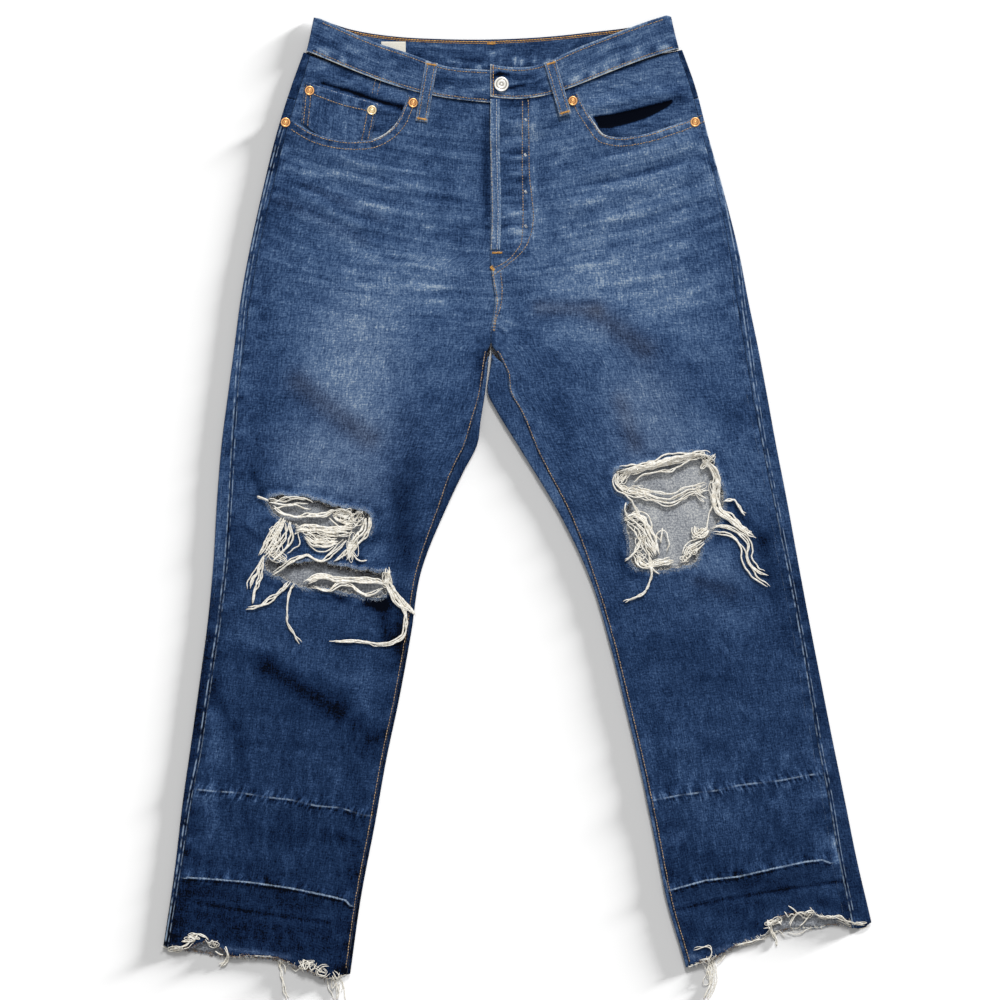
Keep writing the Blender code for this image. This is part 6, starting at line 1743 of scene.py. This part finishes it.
def fray(roots, outward, height, lengths, radius, seed, droop=0.8):
    """Short fibres from points on an edge, each along its own arc: root + t length, turning."""
    random = np.random.default_rng(seed)
    count = len(roots)
    turn = random.normal(0.0, 0.55, count)
    bend = random.normal(0.0, 0.5, count)
    length = random.uniform(*lengths, count) * random.uniform(0.5, 1.0, count)
    t = np.linspace(0.0, 1.0, 4)
    angle = (turn[:, None] + bend[:, None] * t)[..., None]
    direction = outward[:, None] * np.cos(angle) + aside(outward)[:, None] * np.sin(angle)
    plan = roots[:, None] + direction * (t * length[:, None])[..., None]
    up = random.uniform(-0.3, 0.9, count)[:, None] * t * 1.6 - droop * (t ** 2)[None]
    lines = np.concatenate((plan, (height(plan) + up)[..., None]), axis=-1)
    radii = radius * random.uniform(0.6, 1.2, (count, 1)) * np.array((1.0, 1.0, 0.8, 0.3))
    return tubes(lines, radii, 4)


def rim_roots(side, step):
    """Places on the ragged rims of a side's holes, and the way into the hole at each."""
    roots = np.concatenate([rim(outline, int(arc(outline)[-1] / step)) for outline in HOLES[side]])
    roots, slope = to_zero(lambda spots: worn_edge(spots, side), roots)
    return roots, -unit(slope, 1e-6)


def knee_level(side):
    """Height that loose yarns rest on at the knee: the front, or lower within its holes."""
    def level(plan):
        inside = smooth(0.0, -9.0, worn_edge(plan, side))
        return front_height(plan, side) + CLOTH / 2 + 0.3 + lip(plan, side) - 1.6 * inside
    return level


def hem_level(side):
    """Height under a hem's yarns: the front, the back's inside, or the surface beyond."""
    def level(plan):
        x, y = plan[..., 0], plan[..., 1]
        front, back = hem_line(side, 1, x), hem_line(side, 2, x)
        on_back, on_front = smooth(back - 2.0, back + 1.0, y), smooth(front - 3.5, front + 0.5, y)
        return 0.1 + 0.9 * on_back + 3.9 * on_front
    return level


def turned(name, solid, profile, x, y, look, slot, segments=48, tilt=(0.0, 0.0)):
    """Solid of revolution standing for a solid: a profile of radius and height, then leaned.

    Its groove field is how far each ring of the profile lies below the rings beside it; the metal
    darkens it as grime and painted shade."""
    rows = np.array(profile, dtype=float)
    angle = np.linspace(0.0, 2.0 * math.pi, segments + 1)
    px, py = rows[:, :1] * np.cos(angle), rows[:, :1] * np.sin(angle)
    pz = rows[:, 1:2] + tilt[0] * px + tilt[1] * py
    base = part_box(solid)[0][2] / MM
    points = np.stack((px + x, py + y, pz + base), axis=-1).reshape(-1, 3)
    level = rows[:, 1]
    crest = np.minimum(np.maximum.accumulate(level), np.maximum.accumulate(level[::-1])[::-1])
    low = np.clip((crest - level) / 0.35, 0.0, 1.0)
    item = piece(name, points, grid_faces(len(rows), segments + 1), (look,),
                 fields={"groove": np.repeat(low, segments + 1)})
    form = bmesh.new()
    form.from_mesh(item.data)
    bmesh.ops.remove_doubles(form, verts=form.verts, dist=1e-7)
    bmesh.ops.recalc_face_normals(form, faces=form.faces)
    form.to_mesh(item.data)
    form.free()
    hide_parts(solid)


# ---------------------------------------------------------------- finishes
def node(tree, kind, inputs=None, **settings):
    """A shader node with its settings; each input is a plain value or another node's output."""
    item = tree.nodes.new("ShaderNode" + kind)
    for key, value in settings.items():
        setattr(item, key, value)
    for key, value in (inputs or {}).items():
        if isinstance(value, bpy.types.NodeSocket):
            tree.links.new(value, item.inputs[key])
        else:
            item.inputs[key].default_value = value
    return item


def calc(operation, *values):
    """A sum of the values, at least one of which is a node's output."""
    tree = next(v for v in values if isinstance(v, bpy.types.NodeSocket)).id_data
    return node(tree, "Math", dict(enumerate(values)), operation=operation).outputs[0]


def times(a, b):
    """a times b."""
    return calc("MULTIPLY", a, b)


def plus(a, b, c):
    """a times b, plus c."""
    return calc("MULTIPLY_ADD", a, b, c)


def step_between(value, low, high):
    """Smooth step of a value between low and high."""
    limits = {"Value": value, "From Min": low, "From Max": high}
    return node(value.id_data, "MapRange", limits, interpolation_type="SMOOTHSTEP").outputs[0]


def mix(factor, a, b):
    return node(factor.id_data, "Mix", {0: factor, 6: a, 7: b}, data_type="RGBA").outputs[2]


def speckle(place, scale, detail, roughness):
    """Noise from about -0.5 to 0.5, stretched by a scale along each way."""
    tree = place.id_data
    spread = node(tree, "VectorMath", {0: place, 1: scale}, operation="MULTIPLY").outputs[0]
    look = {"Vector": spread, "Scale": 1.0, "Detail": detail, "Roughness": roughness}
    return calc("SUBTRACT", node(tree, "TexNoise", look).outputs[0], 0.5)


def new_group(name, inputs, outputs):
    """An empty node group with named sockets, given as name and kind; gives it and its two ends."""
    tree = bpy.data.node_groups.new(name, "ShaderNodeTree")
    for sockets, way in ((inputs, "INPUT"), (outputs, "OUTPUT")):
        for key, kind in sockets.items():
            tree.interface.new_socket(name=key, in_out=way, socket_type="NodeSocket" + kind)
    return tree, tree.nodes.new("NodeGroupInput").outputs, tree.nodes.new("NodeGroupOutput").inputs


def link(values, sockets):
    """Joins outputs to the sockets of the same names, or sets their plain values."""
    for key, value in values.items():
        if isinstance(value, bpy.types.NodeSocket):
            value.id_data.links.new(value, sockets[key])
        else:
            sockets[key].default_value = value


def weave_group():
    """Denim's yarns: streaks along and across, short specks, soft mottling, and twill ribs."""
    names = ("Warp", "Weft", "Speck", "Mottle", "Ribs")
    tree, given, out = new_group("denim weave", {"Place": "Vector"}, dict.fromkeys(names, "Float"))
    place = given["Place"]
    warp = speckle(place, (850.0, 85.0, 0.0), 2.0, 0.65)
    weft = speckle(place, (120.0, 820.0, 0.0), 2.0, 0.65)
    speck = speckle(place, (560.0, 520.0, 0.0), 2.0, 0.7)
    mottle = speckle(place, (75.0, 48.0, 0.0), 3.0, 0.6)
    slant = {0: place, 1: (6200.0, 4100.0, 0.0)}
    lean = node(tree, "VectorMath", slant, operation="DOT_PRODUCT").outputs[1]
    ribs = calc("ADD", times(calc("SINE", lean), 0.35), times(warp, 1.6))
    link(dict(zip(names, (warp, weft, speck, mottle, calc("ADD", ribs, speck)))), out)
    return tree


def field(tree, name):
    return node(tree, "Attribute", attribute_name=name).outputs["Fac"]


def grain_of(tree):
    """Place across and along the cloth or the yarn."""
    return node(tree, "UVMap", uv_map="grain").outputs["UV"]


def new_material(name):
    """A material, its tree and the inputs of its shader."""
    item = bpy.data.materials.new(name)
    item.use_nodes = True
    return item, item.node_tree, item.node_tree.nodes["Principled BSDF"].inputs


def effect(tree, group, **values):
    """Outputs of a node group that is used in a tree with the given values."""
    item = tree.nodes.new("ShaderNodeGroup")
    item.node_tree = group
    link(values, item.inputs)
    return item.outputs


def finish(shader, colour, relief, **values):
    """Sets a shader's colour, its relief (strength, depth and height) and its other values."""
    strength, depth, height = relief
    bump = {"Strength": strength, "Distance": depth, "Height": height}
    bump = node(height.id_data, "Bump", bump).outputs["Normal"]
    link({"Base Color": colour, "Normal": bump}, shader)
    names = {"roughness": "Roughness", "specular": "Specular IOR Level", "metallic": "Metallic"}
    link({names[key]: value for key, value in values.items()}, shader)


def ramp(value, stops):
    """A colour picked by a value from stops of place and colour."""
    item = node(value.id_data, "ValToRGB", {"Fac": value})
    band = item.color_ramp
    while len(band.elements) < len(stops):
        band.elements.new(0.5)
    for element, (place, colour) in zip(band.elements, stops):
        element.position = place
        element.color = colour + (1.0,)
    return item.outputs["Color"]


def denim(weave):
    """Outside of the cloth: tone and yarns pick the indigo, pale lines and threads cover it."""
    item, tree, shader = new_material("washed denim")
    place = grain_of(tree)
    yarn = effect(tree, weave, Place=place)
    speck, tone = yarn["Speck"], field(tree, "tone")
    hem, power = field(tree, "line"), field(tree, "power")
    # yarns, wrinkles and mottling
    streaks = plus(yarn["Weft"], 0.62, times(yarn["Warp"], 0.80))
    streaks = plus(speck, 1.02, streaks)
    even = plus(step_between(tone, 0.10, 0.36), 0.22, 0.80)
    lean = {0: field(tree, "lean_x"), 1: field(tree, "lean_y")}
    lean = node(tree, "CombineXYZ", lean).outputs[0]
    wrinkle = plus(speckle(lean, (26.0, 330.0, 0.0), 1.0, 0.5), 0.4,
                   speckle(lean, (11.0, 165.0, 0.0), 1.0, 0.5))
    wrinkle = times(wrinkle, field(tree, "creased"))
    tone = plus(streaks, even, tone)
    tone = plus(times(yarn["Mottle"], plus(even, 1.0, -0.45)), 0.68, tone)
    tone = plus(wrinkle, 0.38, tone)
    # old hem line
    broken = speckle(place, (300.0, 240.0, 0.0), 2.0, 0.7)
    ply = step_between(speckle(place, (420.0, 200.0, 0.0), 1.0, 0.5), -0.16, 0.12)
    line = step_between(plus(broken, 2.2, calc("ABSOLUTE", hem)), 1.05, 0.35)
    line = times(times(line, power), plus(ply, 0.6, 0.45))
    # two broken lines of the outseam, and the groove between them
    first, groove, second = (calc("ABSOLUTE", calc("SUBTRACT", field(tree, "seam"), at))
                             for at in (SEAM_LINE, 2.8, 4.4))
    close = plus(broken, 0.8, calc("MINIMUM", first, calc("ADD", second, 0.30)))
    dashes = step_between(speckle(place, (180.0, 130.0, 0.0), 1.0, 0.5), -0.14, 0.12)
    dash = times(step_between(close, 0.95, 0.35), dashes)
    pale = calc("MAXIMUM", line, times(dash, 0.78))
    tone = plus(step_between(groove, 1.0, 0.3), -0.10, tone)
    beside = calc("ABSOLUTE", plus(broken, 2.0, calc("ADD", hem, 2.3)))
    tone = plus(times(step_between(beside, 1.6, 0.4), power), -0.22, tone)
    slanted = {"Vector": place, "Angle": 0.35}
    slanted = node(tree, "VectorRotate", slanted, rotation_type="Z_AXIS").outputs[0]
    crimp = calc("MAXIMUM", speckle(slanted, (300.0, 75.0, 0.0), 1.0, 0.5), -0.07)
    tone = plus(times(field(tree, "crimped"), crimp), 2.0, tone)
    # colours
    dull = {"Color": ramp(plus(tone, 0.9, 0.1), INDIGO),
            "Saturation": plus(field(tree, "grey"), -0.55, 1.0)}
    dull = node(tree, "HueSaturation", dull).outputs["Color"]
    colour = mix(times(pale, 0.75), dull, (0.38, 0.50, 0.66, 1.0))
    ragged = plus(speck, 0.8, plus(broken, 1.1, field(tree, "bare")))
    colour = mix(step_between(ragged, 0.35, 0.85), colour, (0.60, 0.62, 0.60, 1.0))
    finish(shader, colour, (0.55, 0.0004, yarn["Ribs"]), roughness=0.92, specular=0.05)
    return item


def denim_inside(weave):
    """Inside of the cloth: mostly the undyed filling yarn, with blue showing between."""
    item, tree, shader = new_material("denim inside")
    yarn = effect(tree, weave, Place=grain_of(tree))
    # the pale field holds the inside's lightness less the painted shade under the holes' rims
    mixed = plus(yarn["Speck"], 1.5, field(tree, "pale"))
    mixed = plus(yarn["Mottle"], 0.4, plus(yarn["Weft"], 0.6, mixed))
    colour = ramp(calc("ADD", mixed, 0.45), (
        (0.0, (0.016, 0.012, 0.010)), (0.2, (0.082, 0.080, 0.086)), (0.5, (0.20, 0.215, 0.245)),
        (0.8, (0.38, 0.40, 0.43)), (1.0, (0.60, 0.61, 0.60))))
    finish(shader, colour, (0.6, 0.0004, yarn["Ribs"]), roughness=0.95, specular=0.05)
    return item


def twist_group():
    """Spun yarn: slanting plies from the place round and along it, and specks of colour."""
    tree, given, out = new_group("yarn twist", {"Place": "Vector", "Pitch": "Float"},
                                 {"Ply": "Float", "Fleck": "Float"})
    apart = node(tree, "SeparateXYZ", {0: given["Place"]}).outputs
    turns = calc("ADD", calc("DIVIDE", apart["Y"], given["Pitch"]), apart["X"])
    where = node(tree, "TexCoord").outputs["Object"]
    link({"Ply": calc("SINE", times(turns, 2.0 * math.pi)),
          "Fleck": speckle(where, (260.0, 260.0, 260.0), 2.0, 0.6)}, out)
    return tree


def yarn_material(name, twist, dark, light, pitch=0.0012, depth=0.0001):
    """Thread or yarn: two colours mixed by flecks and plies."""
    item, tree, shader = new_material(name)
    spun = effect(tree, twist, Place=grain_of(tree), Pitch=pitch)
    share = plus(spun["Ply"], 0.18, plus(spun["Fleck"], 2.2, 0.5))
    finish(shader, ramp(share, ((0.1, dark), (0.9, light))), (0.5, depth, spun["Ply"]),
           roughness=0.85, specular=0.25)
    return item


def patina_group():
    """Old metal: smudges, fine scratches and grime from the place on it, and its grooves darkened
    as grime and painted shade.
    """
    tree, given, out = new_group(
        "patina", {"Clean": "Color", "Grime": "Color", "Amount": "Float", "Groove": "Float"},
        {"Color": "Color", "Roughness": "Float", "Height": "Float"})
    where = node(tree, "TexCoord").outputs["Object"]
    smudge = speckle(where, (420.0, 420.0, 420.0), 3.0, 0.6)
    spots = times(step_between(smudge, -0.05, 0.22), given["Amount"])
    # grooves take the grimy colour: grime and painted shade in the hollows
    grime_and_shade = calc("MAXIMUM", spots, given["Groove"])
    link({"Color": mix(grime_and_shade, given["Clean"], given["Grime"]), "Roughness": plus(smudge, 0.5, 0.36),
          "Height": speckle(where, (1900.0, 1900.0, 1900.0), 2.0, 0.6)}, out)
    return tree


def metal(name, patina, clean, grime_and_shade, amount):
    """Worn metal: a clean and a grimy colour, with an amount of grime from 0 to 1; the grimy colour
    also fills the turned grooves as grime and painted shade.
    """
    item, tree, shader = new_material(name)
    old = effect(tree, patina, Clean=clean + (1.0,), Grime=grime_and_shade + (1.0,), Amount=amount,
                 Groove=field(tree, "groove"))
    finish(shader, old["Color"], (0.3, 0.0001, old["Height"]), roughness=old["Roughness"],
           metallic=1.0)
    return item


def label_material(weave):
    """Undyed woven tape."""
    item, tree, shader = new_material("woven label")
    yarn = effect(tree, weave, Place=grain_of(tree))
    stops = ((0.0, (0.64, 0.61, 0.52)), (1.0, (0.90, 0.87, 0.78)))
    colour = ramp(plus(yarn["Speck"], 1.0, 0.5), stops)
    finish(shader, colour, (0.4, 0.0002, yarn["Ribs"]), roughness=0.8)
    return item


# ---------------------------------------------------------------- the jeans
weave, twist, patina = weave_group(), twist_group(), patina_group()
outside = denim(weave)
looks = (outside, denim_inside(weave))
cream = yarn_material("undyed yarn", twist, (0.72, 0.67, 0.57), (0.97, 0.95, 0.89), 0.0034, 0.00012)
blue_fluff = yarn_material("blue fibres", twist, (0.12, 0.19, 0.32), (0.52, 0.58, 0.66), 0.003)
orange = yarn_material("orange thread", twist, (0.40, 0.20, 0.05), (0.85, 0.50, 0.16))
tan = yarn_material("worn tan thread", twist, (0.14, 0.11, 0.09), (0.64, 0.45, 0.25))
rust = yarn_material("soiled thread", twist, (0.05, 0.035, 0.03), (0.42, 0.30, 0.20))
white = yarn_material("pale thread", twist, (0.35, 0.38, 0.42), (0.72, 0.74, 0.74))

for side in SIDES:
    front_panel(side, looks)
    backs(side, looks)
    facing(side, looks)
    back_pocket(side, looks)
coin_pocket(looks)
waistband((outside, outside))
loops = {}
for side, path in LOOPS.items():
    loops[side] = belt_loop("front_" + side, path, lambda plan, run: loop_height(plan, side, run),
                            (outside, outside), 0.64)
for name, x in BACK_LOOPS:
    head = float(spline(BAND_BACK_TOP, 1, x)) - 2.0
    belt_loop("back_" + name, ((x, head), (x, head - 29.0), (x, head - 58.0)),
              lambda plan, run: np.full(plan.shape[:2], 0.62), looks[::-1], 0.5, -0.5, 0.75)
fly_plan, fly_height = fly_edge(looks)
label((label_material(weave),) * 2)

# rivets and the button, turned about upright axes
copper = metal("aged copper", patina, (0.88, 0.47, 0.19), (0.26, 0.11, 0.04), 0.45)
brass = metal("pale brass", patina, (0.90, 0.74, 0.46), (0.36, 0.24, 0.11), 0.4)
nickel = metal("worn nickel", patina, (0.92, 0.90, 0.84), (0.30, 0.28, 0.25), 0.4)
for name, x, y in RIVETS:
    finish_of = (brass, "brass") if name == "coin_inner" else (copper, "copper")
    turned("rivet_cap_" + name, "rivet_" + name, CAP, x, y, *finish_of)
turned("fly_button", "button", FACE, *BUTTON, nickel, "nickel", 64, (0.02, -0.015))


# ---------------------------------------------------------------- sewn rows
def left_top(plan):
    """Height of the left front's outer face."""
    return front_top(plan, "left")


def band_row(surface, start, end, share):
    """A line along the waistband's face at a share of its height."""
    at = math.acos(1.0 - 2.0 * share) / math.pi * (surface.shape[1] - 1)
    low, high = surface[start:end, int(at)], surface[start:end, int(at) + 1]
    return low + (high - low) * (at - int(at))


def coin_row(a, b):
    """A line on the coin pocket between two places given as shares across and down."""
    u = np.linspace(0.0, 1.0, 40)
    across, down = a[0] + (b[0] - a[0]) * u, a[1] + (b[1] - a[1]) * u
    top, foot = (np.stack([np.interp(across, u, edge[:, k]) for k in range(2)], axis=-1)
                 for edge in (flow(COIN_TOP, 40), flow(COIN_FOOT, 40)))
    plan = top * (1 - down)[:, None] + foot * down[:, None]
    return np.column_stack((plan, COIN + 0.4 + 0.3 + 0.5 * np.sin(math.pi * across)))


rows_tan, rows_orange, rows_pale = [], [], []
for side, ends in LOOPS.items():
    for k, out in enumerate((2.0, 8.6)):
        line = raised(mouth_curve(side, out), lambda plan: front_top(plan, side))
        rows_tan.append(stitch_row(line, 200 + k))
    y = np.linspace(-6.0, SIDES[side]["rows"][-1][1] + 6.0, 240)
    plan = np.stack((inseam_x(side, y) + SIDES[side]["sign"] * (GAP / 2 + 1.6), y), axis=-1)
    rows_tan.append(stitch_row(np.column_stack((plan, front_top(plan, side))), 210))
    plan, z = loops[side]
    for column in (3, 11):
        line = np.column_stack((plan[:, column], z[:, column] + 0.6))
        rows_tan.append(stitch_row(line, 220 + column))
    head, foot = np.array(ends)
    down = (foot - head) / np.linalg.norm(foot - head)
    over = aside(down) * 5.2
    for place, index in ((head + down * 2.2, 2), (foot - down * 2.6, -3)):
        rows_orange.append(bar(place - over, place + over, 1.7, float(z[index].mean()) + 0.6, 230))
for path, seed in zip(FLY_STITCH + CENTRE_STITCH, (240, 241, 244, 245)):
    rows_tan.append(stitch_row(raised(path, left_top), seed))
line = np.column_stack((fly_plan[:, 8], fly_height[:, 8] + 0.5))
rows_pale.append(stitch_row(line, 250, 0.3))
line = np.column_stack((fly_plan[:, 1], fly_height[:, 1] + 0.4))
rows_tan.append(stitch_row(line[30:], 249, 0.26))
for path in (((-117.5, 271.5), (-121.5, 256.0)), ((-112.3, 270.5), (-116.5, 254.5))):
    line = raised(path, lambda plan: np.full(len(plan), FACING + 0.95))
    rows_tan.append(stitch_row(line, 248, 0.3))
rows_orange.append(bar((1.0, 94.0), (11.5, 94.0), 1.9, left_top, 251))
rows_orange.append(bar((-0.3, 80.0), (3.2, 76.0), 3.0, left_top, 252))
for k, (x, y) in enumerate(((35.5, 229.5), (35.0, 193.8), (35.5, 156.0), (35.5, 121.0))):
    rows_pale.append(bar((x - 0.9, y - 0.6), (x + 0.9, y + 0.6), 3.4, left_top, 253 + k))

band = band_grid()[0]
outward = normals_of(band.reshape(-1, 3), grid_faces(*band.shape[:2])).reshape(band.shape)
if outward[BAND_UP][2] < 0:
    outward = -outward
face = band + outward * BAND / 2
inner_face = band - outward * BAND / 2
for start, end in ((TAIL_ROWS + 1, TAIL_ROWS + FRONT_ROWS - 2), (LEFT_START + 2, len(band) - 1)):
    rows_tan.append(stitch_row(band_row(face, start, end, 0.07), 260))
    rows_tan.append(stitch_row(band_row(face, start, end, 0.915), 261))
for share, thick in ((0.935, 0.50), (0.885, 0.26)):
    line = band_row(inner_face, BACK_START + 3, BACK_START + BACK_ROWS - 3, share)
    rows_orange.append(stitch_row(line, 262, thick, 2.7, 0.06))
rows_orange.append(stitch_row(face[-3, 1:-1], 263, 0.4))
rows_orange.append(bar((-4.0, 307.6), (4.5, 307.8), 2.2, BAND_LOW + 1.0, 264))
rows_tan.append(stitch_row(coin_row((0.10, 0.21), (0.90, 0.21)), 270))
for across, top in ((0.035, 0.05), (0.10, 0.2), (0.965, 0.05), (0.885, 0.2)):
    rows_tan.append(stitch_row(coin_row((across, top), (across, 0.98)), 270))
threads("stitching_tan", rows_tan, tan)
threads("stitching_orange", rows_orange, orange)
threads("stitching_pale", rows_pale, white)

# ---------------------------------------------------------------- loose yarns and fray
fringe = {}
for side in SIDES:
    knee, hem = knee_level(side), hem_level(side)
    at_knee = yarns(KNEE_YARNS[side], knee, 300) + tangles(HEAPS[side], knee, 330)
    at_hem = yarns(HEM_YARNS[side], hem, 400, 0.42, 0.72)
    at_hem += tangles(HEM_HEAPS[side], hem, 430, (0.28, 0.45))
    fringe[side] = []
    for place, parts, solids in (("knee", at_knee, ("knee_band_", "knee_tuft_")),
                                 ("hem", at_hem, ("hem_tuft_", "hem_fringe_"))):
        item = threads(place + "_yarns_" + side, parts, cream)
        starts = tuple(start + side for start in solids)
        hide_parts(*[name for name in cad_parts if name.startswith(starts)])
        fringe[side].append(item)
    roots, inward = rim_roots(side, 0.8)
    pale = [fray(roots, inward, lambda plan: front_height(plan, side) + 0.6, (1.0, 5.0), 0.17, 500)]
    blue = [fray(roots - inward * out, way * inward, lambda plan: front_top(plan, side) + 0.15,
                 (1.5, 5.0), 0.15, seed, 0.1)
            for out, way, seed in ((0.0, -1, 501), (1.5, -1, 502), (3.0, 1, 503), (1.0, 1, 504))]
    y_out, y_in = SIDES[side]["rows"][-1][:2]
    corners = sorted((float(seam_x(side, y_out)), float(inseam_x(side, y_in))))
    x = np.linspace(*corners, 330)[2:-2]
    blue_hem, pale_hem, brown_hem = [], [], []
    for column, seed in ((1, 510), (2, 511)):
        roots = np.stack((x, hem_line(side, column, x) + 0.4), axis=-1)
        down = np.tile(np.array((0.0, -1.0)), (len(x), 1))
        blue_hem.append(fray(roots, down, hem, (1.0, 3.5), 0.17, seed, 0.3))
        slant = -0.25 + 0.3 * ripple(x, 3.0, seed + 1)
        sideways = np.stack((np.sign(ripple(x, 2.0, seed)), slant), axis=-1)
        worn = ripple(x, 13.0, seed + 2) > -0.25
        pale_hem.append(fray(roots[worn], sideways[worn], hem, (1.5, 5.0), 0.26, seed + 3, 0.1))
        brown_hem.append(fray(roots[~worn], sideways[~worn], hem, (1.5, 5.0), 0.24, seed + 4, 0.1))
    for name, parts, look in (
            ("rim_fray_pale_", pale, cream), ("rim_fray_blue_", blue, blue_fluff),
            ("hem_fray_", blue_hem, blue_fluff), ("hem_fray_pale_", pale_hem, cream),
            ("hem_fray_brown_", brown_hem, rust)):
        fringe[side].append(threads(name + side, parts, look))


# ---------------------------------------------------------------- floor, light and camera
def seen_directly(tree):
    """1 for rays that look at a thing, also off a mirror or through glass, and 0 for its light."""
    ray = node(tree, "LightPath").outputs
    seen = calc("MAXIMUM", ray["Is Camera Ray"], ray["Is Glossy Ray"])
    return calc("MAXIMUM", seen, ray["Is Transmission Ray"])


floor_mesh = bpy.data.meshes.new("studio_floor")
corners = [(x, y, -0.0003) for x, y in ((-8.0, -8.0), (8.0, -8.0), (8.0, 8.0), (-8.0, 8.0))]
floor_mesh.from_pydata(corners, [], [(0, 1, 2, 3)])
floor = bpy.data.objects.new("studio_floor", floor_mesh)
bpy.context.scene.collection.objects.link(floor)
paper, tree, shader = new_material("white paper")
colour = mix(seen_directly(tree), (0.4, 0.4, 0.4, 1.0), (0.57, 0.57, 0.57, 1.0))
link({"Base Color": colour, "Roughness": 1.0, "Specular IOR Level": 0.0}, shader)
floor_mesh.materials.append(paper)

world = bpy.data.worlds.new("soft studio")
bpy.context.scene.world = world
world.use_nodes = True
strength = plus(seen_directly(world.node_tree), 0.5, 0.5)
sky = world.node_tree.nodes["Background"].inputs
link({"Color": (1.0, 1.0, 1.0, 1.0), "Strength": strength}, sky)


def sun(name, share, height, bearing, width):
    """A sun that lends a level surface a share of white; bearing is where it stands, from +X."""
    lamp = bpy.data.lights.new(name, "SUN")
    lamp.energy = share * math.pi / math.sin(math.radians(height))
    lamp.angle = math.radians(width)
    item = bpy.data.objects.new(name, lamp)
    item.rotation_euler = (0.0, math.radians(90.0 - height), math.radians(bearing))
    bpy.context.scene.collection.objects.link(item)
    return item


sun("key", 0.50, 36.0, 78.0, 14.0)
low_sun = sun("floor shadow", 0.87, 6.4, 27.0, 9.7)
lit = bpy.data.collections.new("lit by the low sun")
lit.objects.link(floor)
low_sun.light_linking.receiver_collection = lit

camera = bpy.data.cameras.new("above")
camera.sensor_width = 36.0
camera.lens = 211.6
camera.clip_end = 60.0
camera_object = bpy.data.objects.new("above", camera)
camera_object.location = (0.00918 + PLACE[0] * MM, -0.1581 + PLACE[1] * MM, 6.0)
bpy.context.scene.collection.objects.link(camera_object)
bpy.context.scene.camera = camera_object
bpy.context.scene.view_settings.view_transform = "Standard"
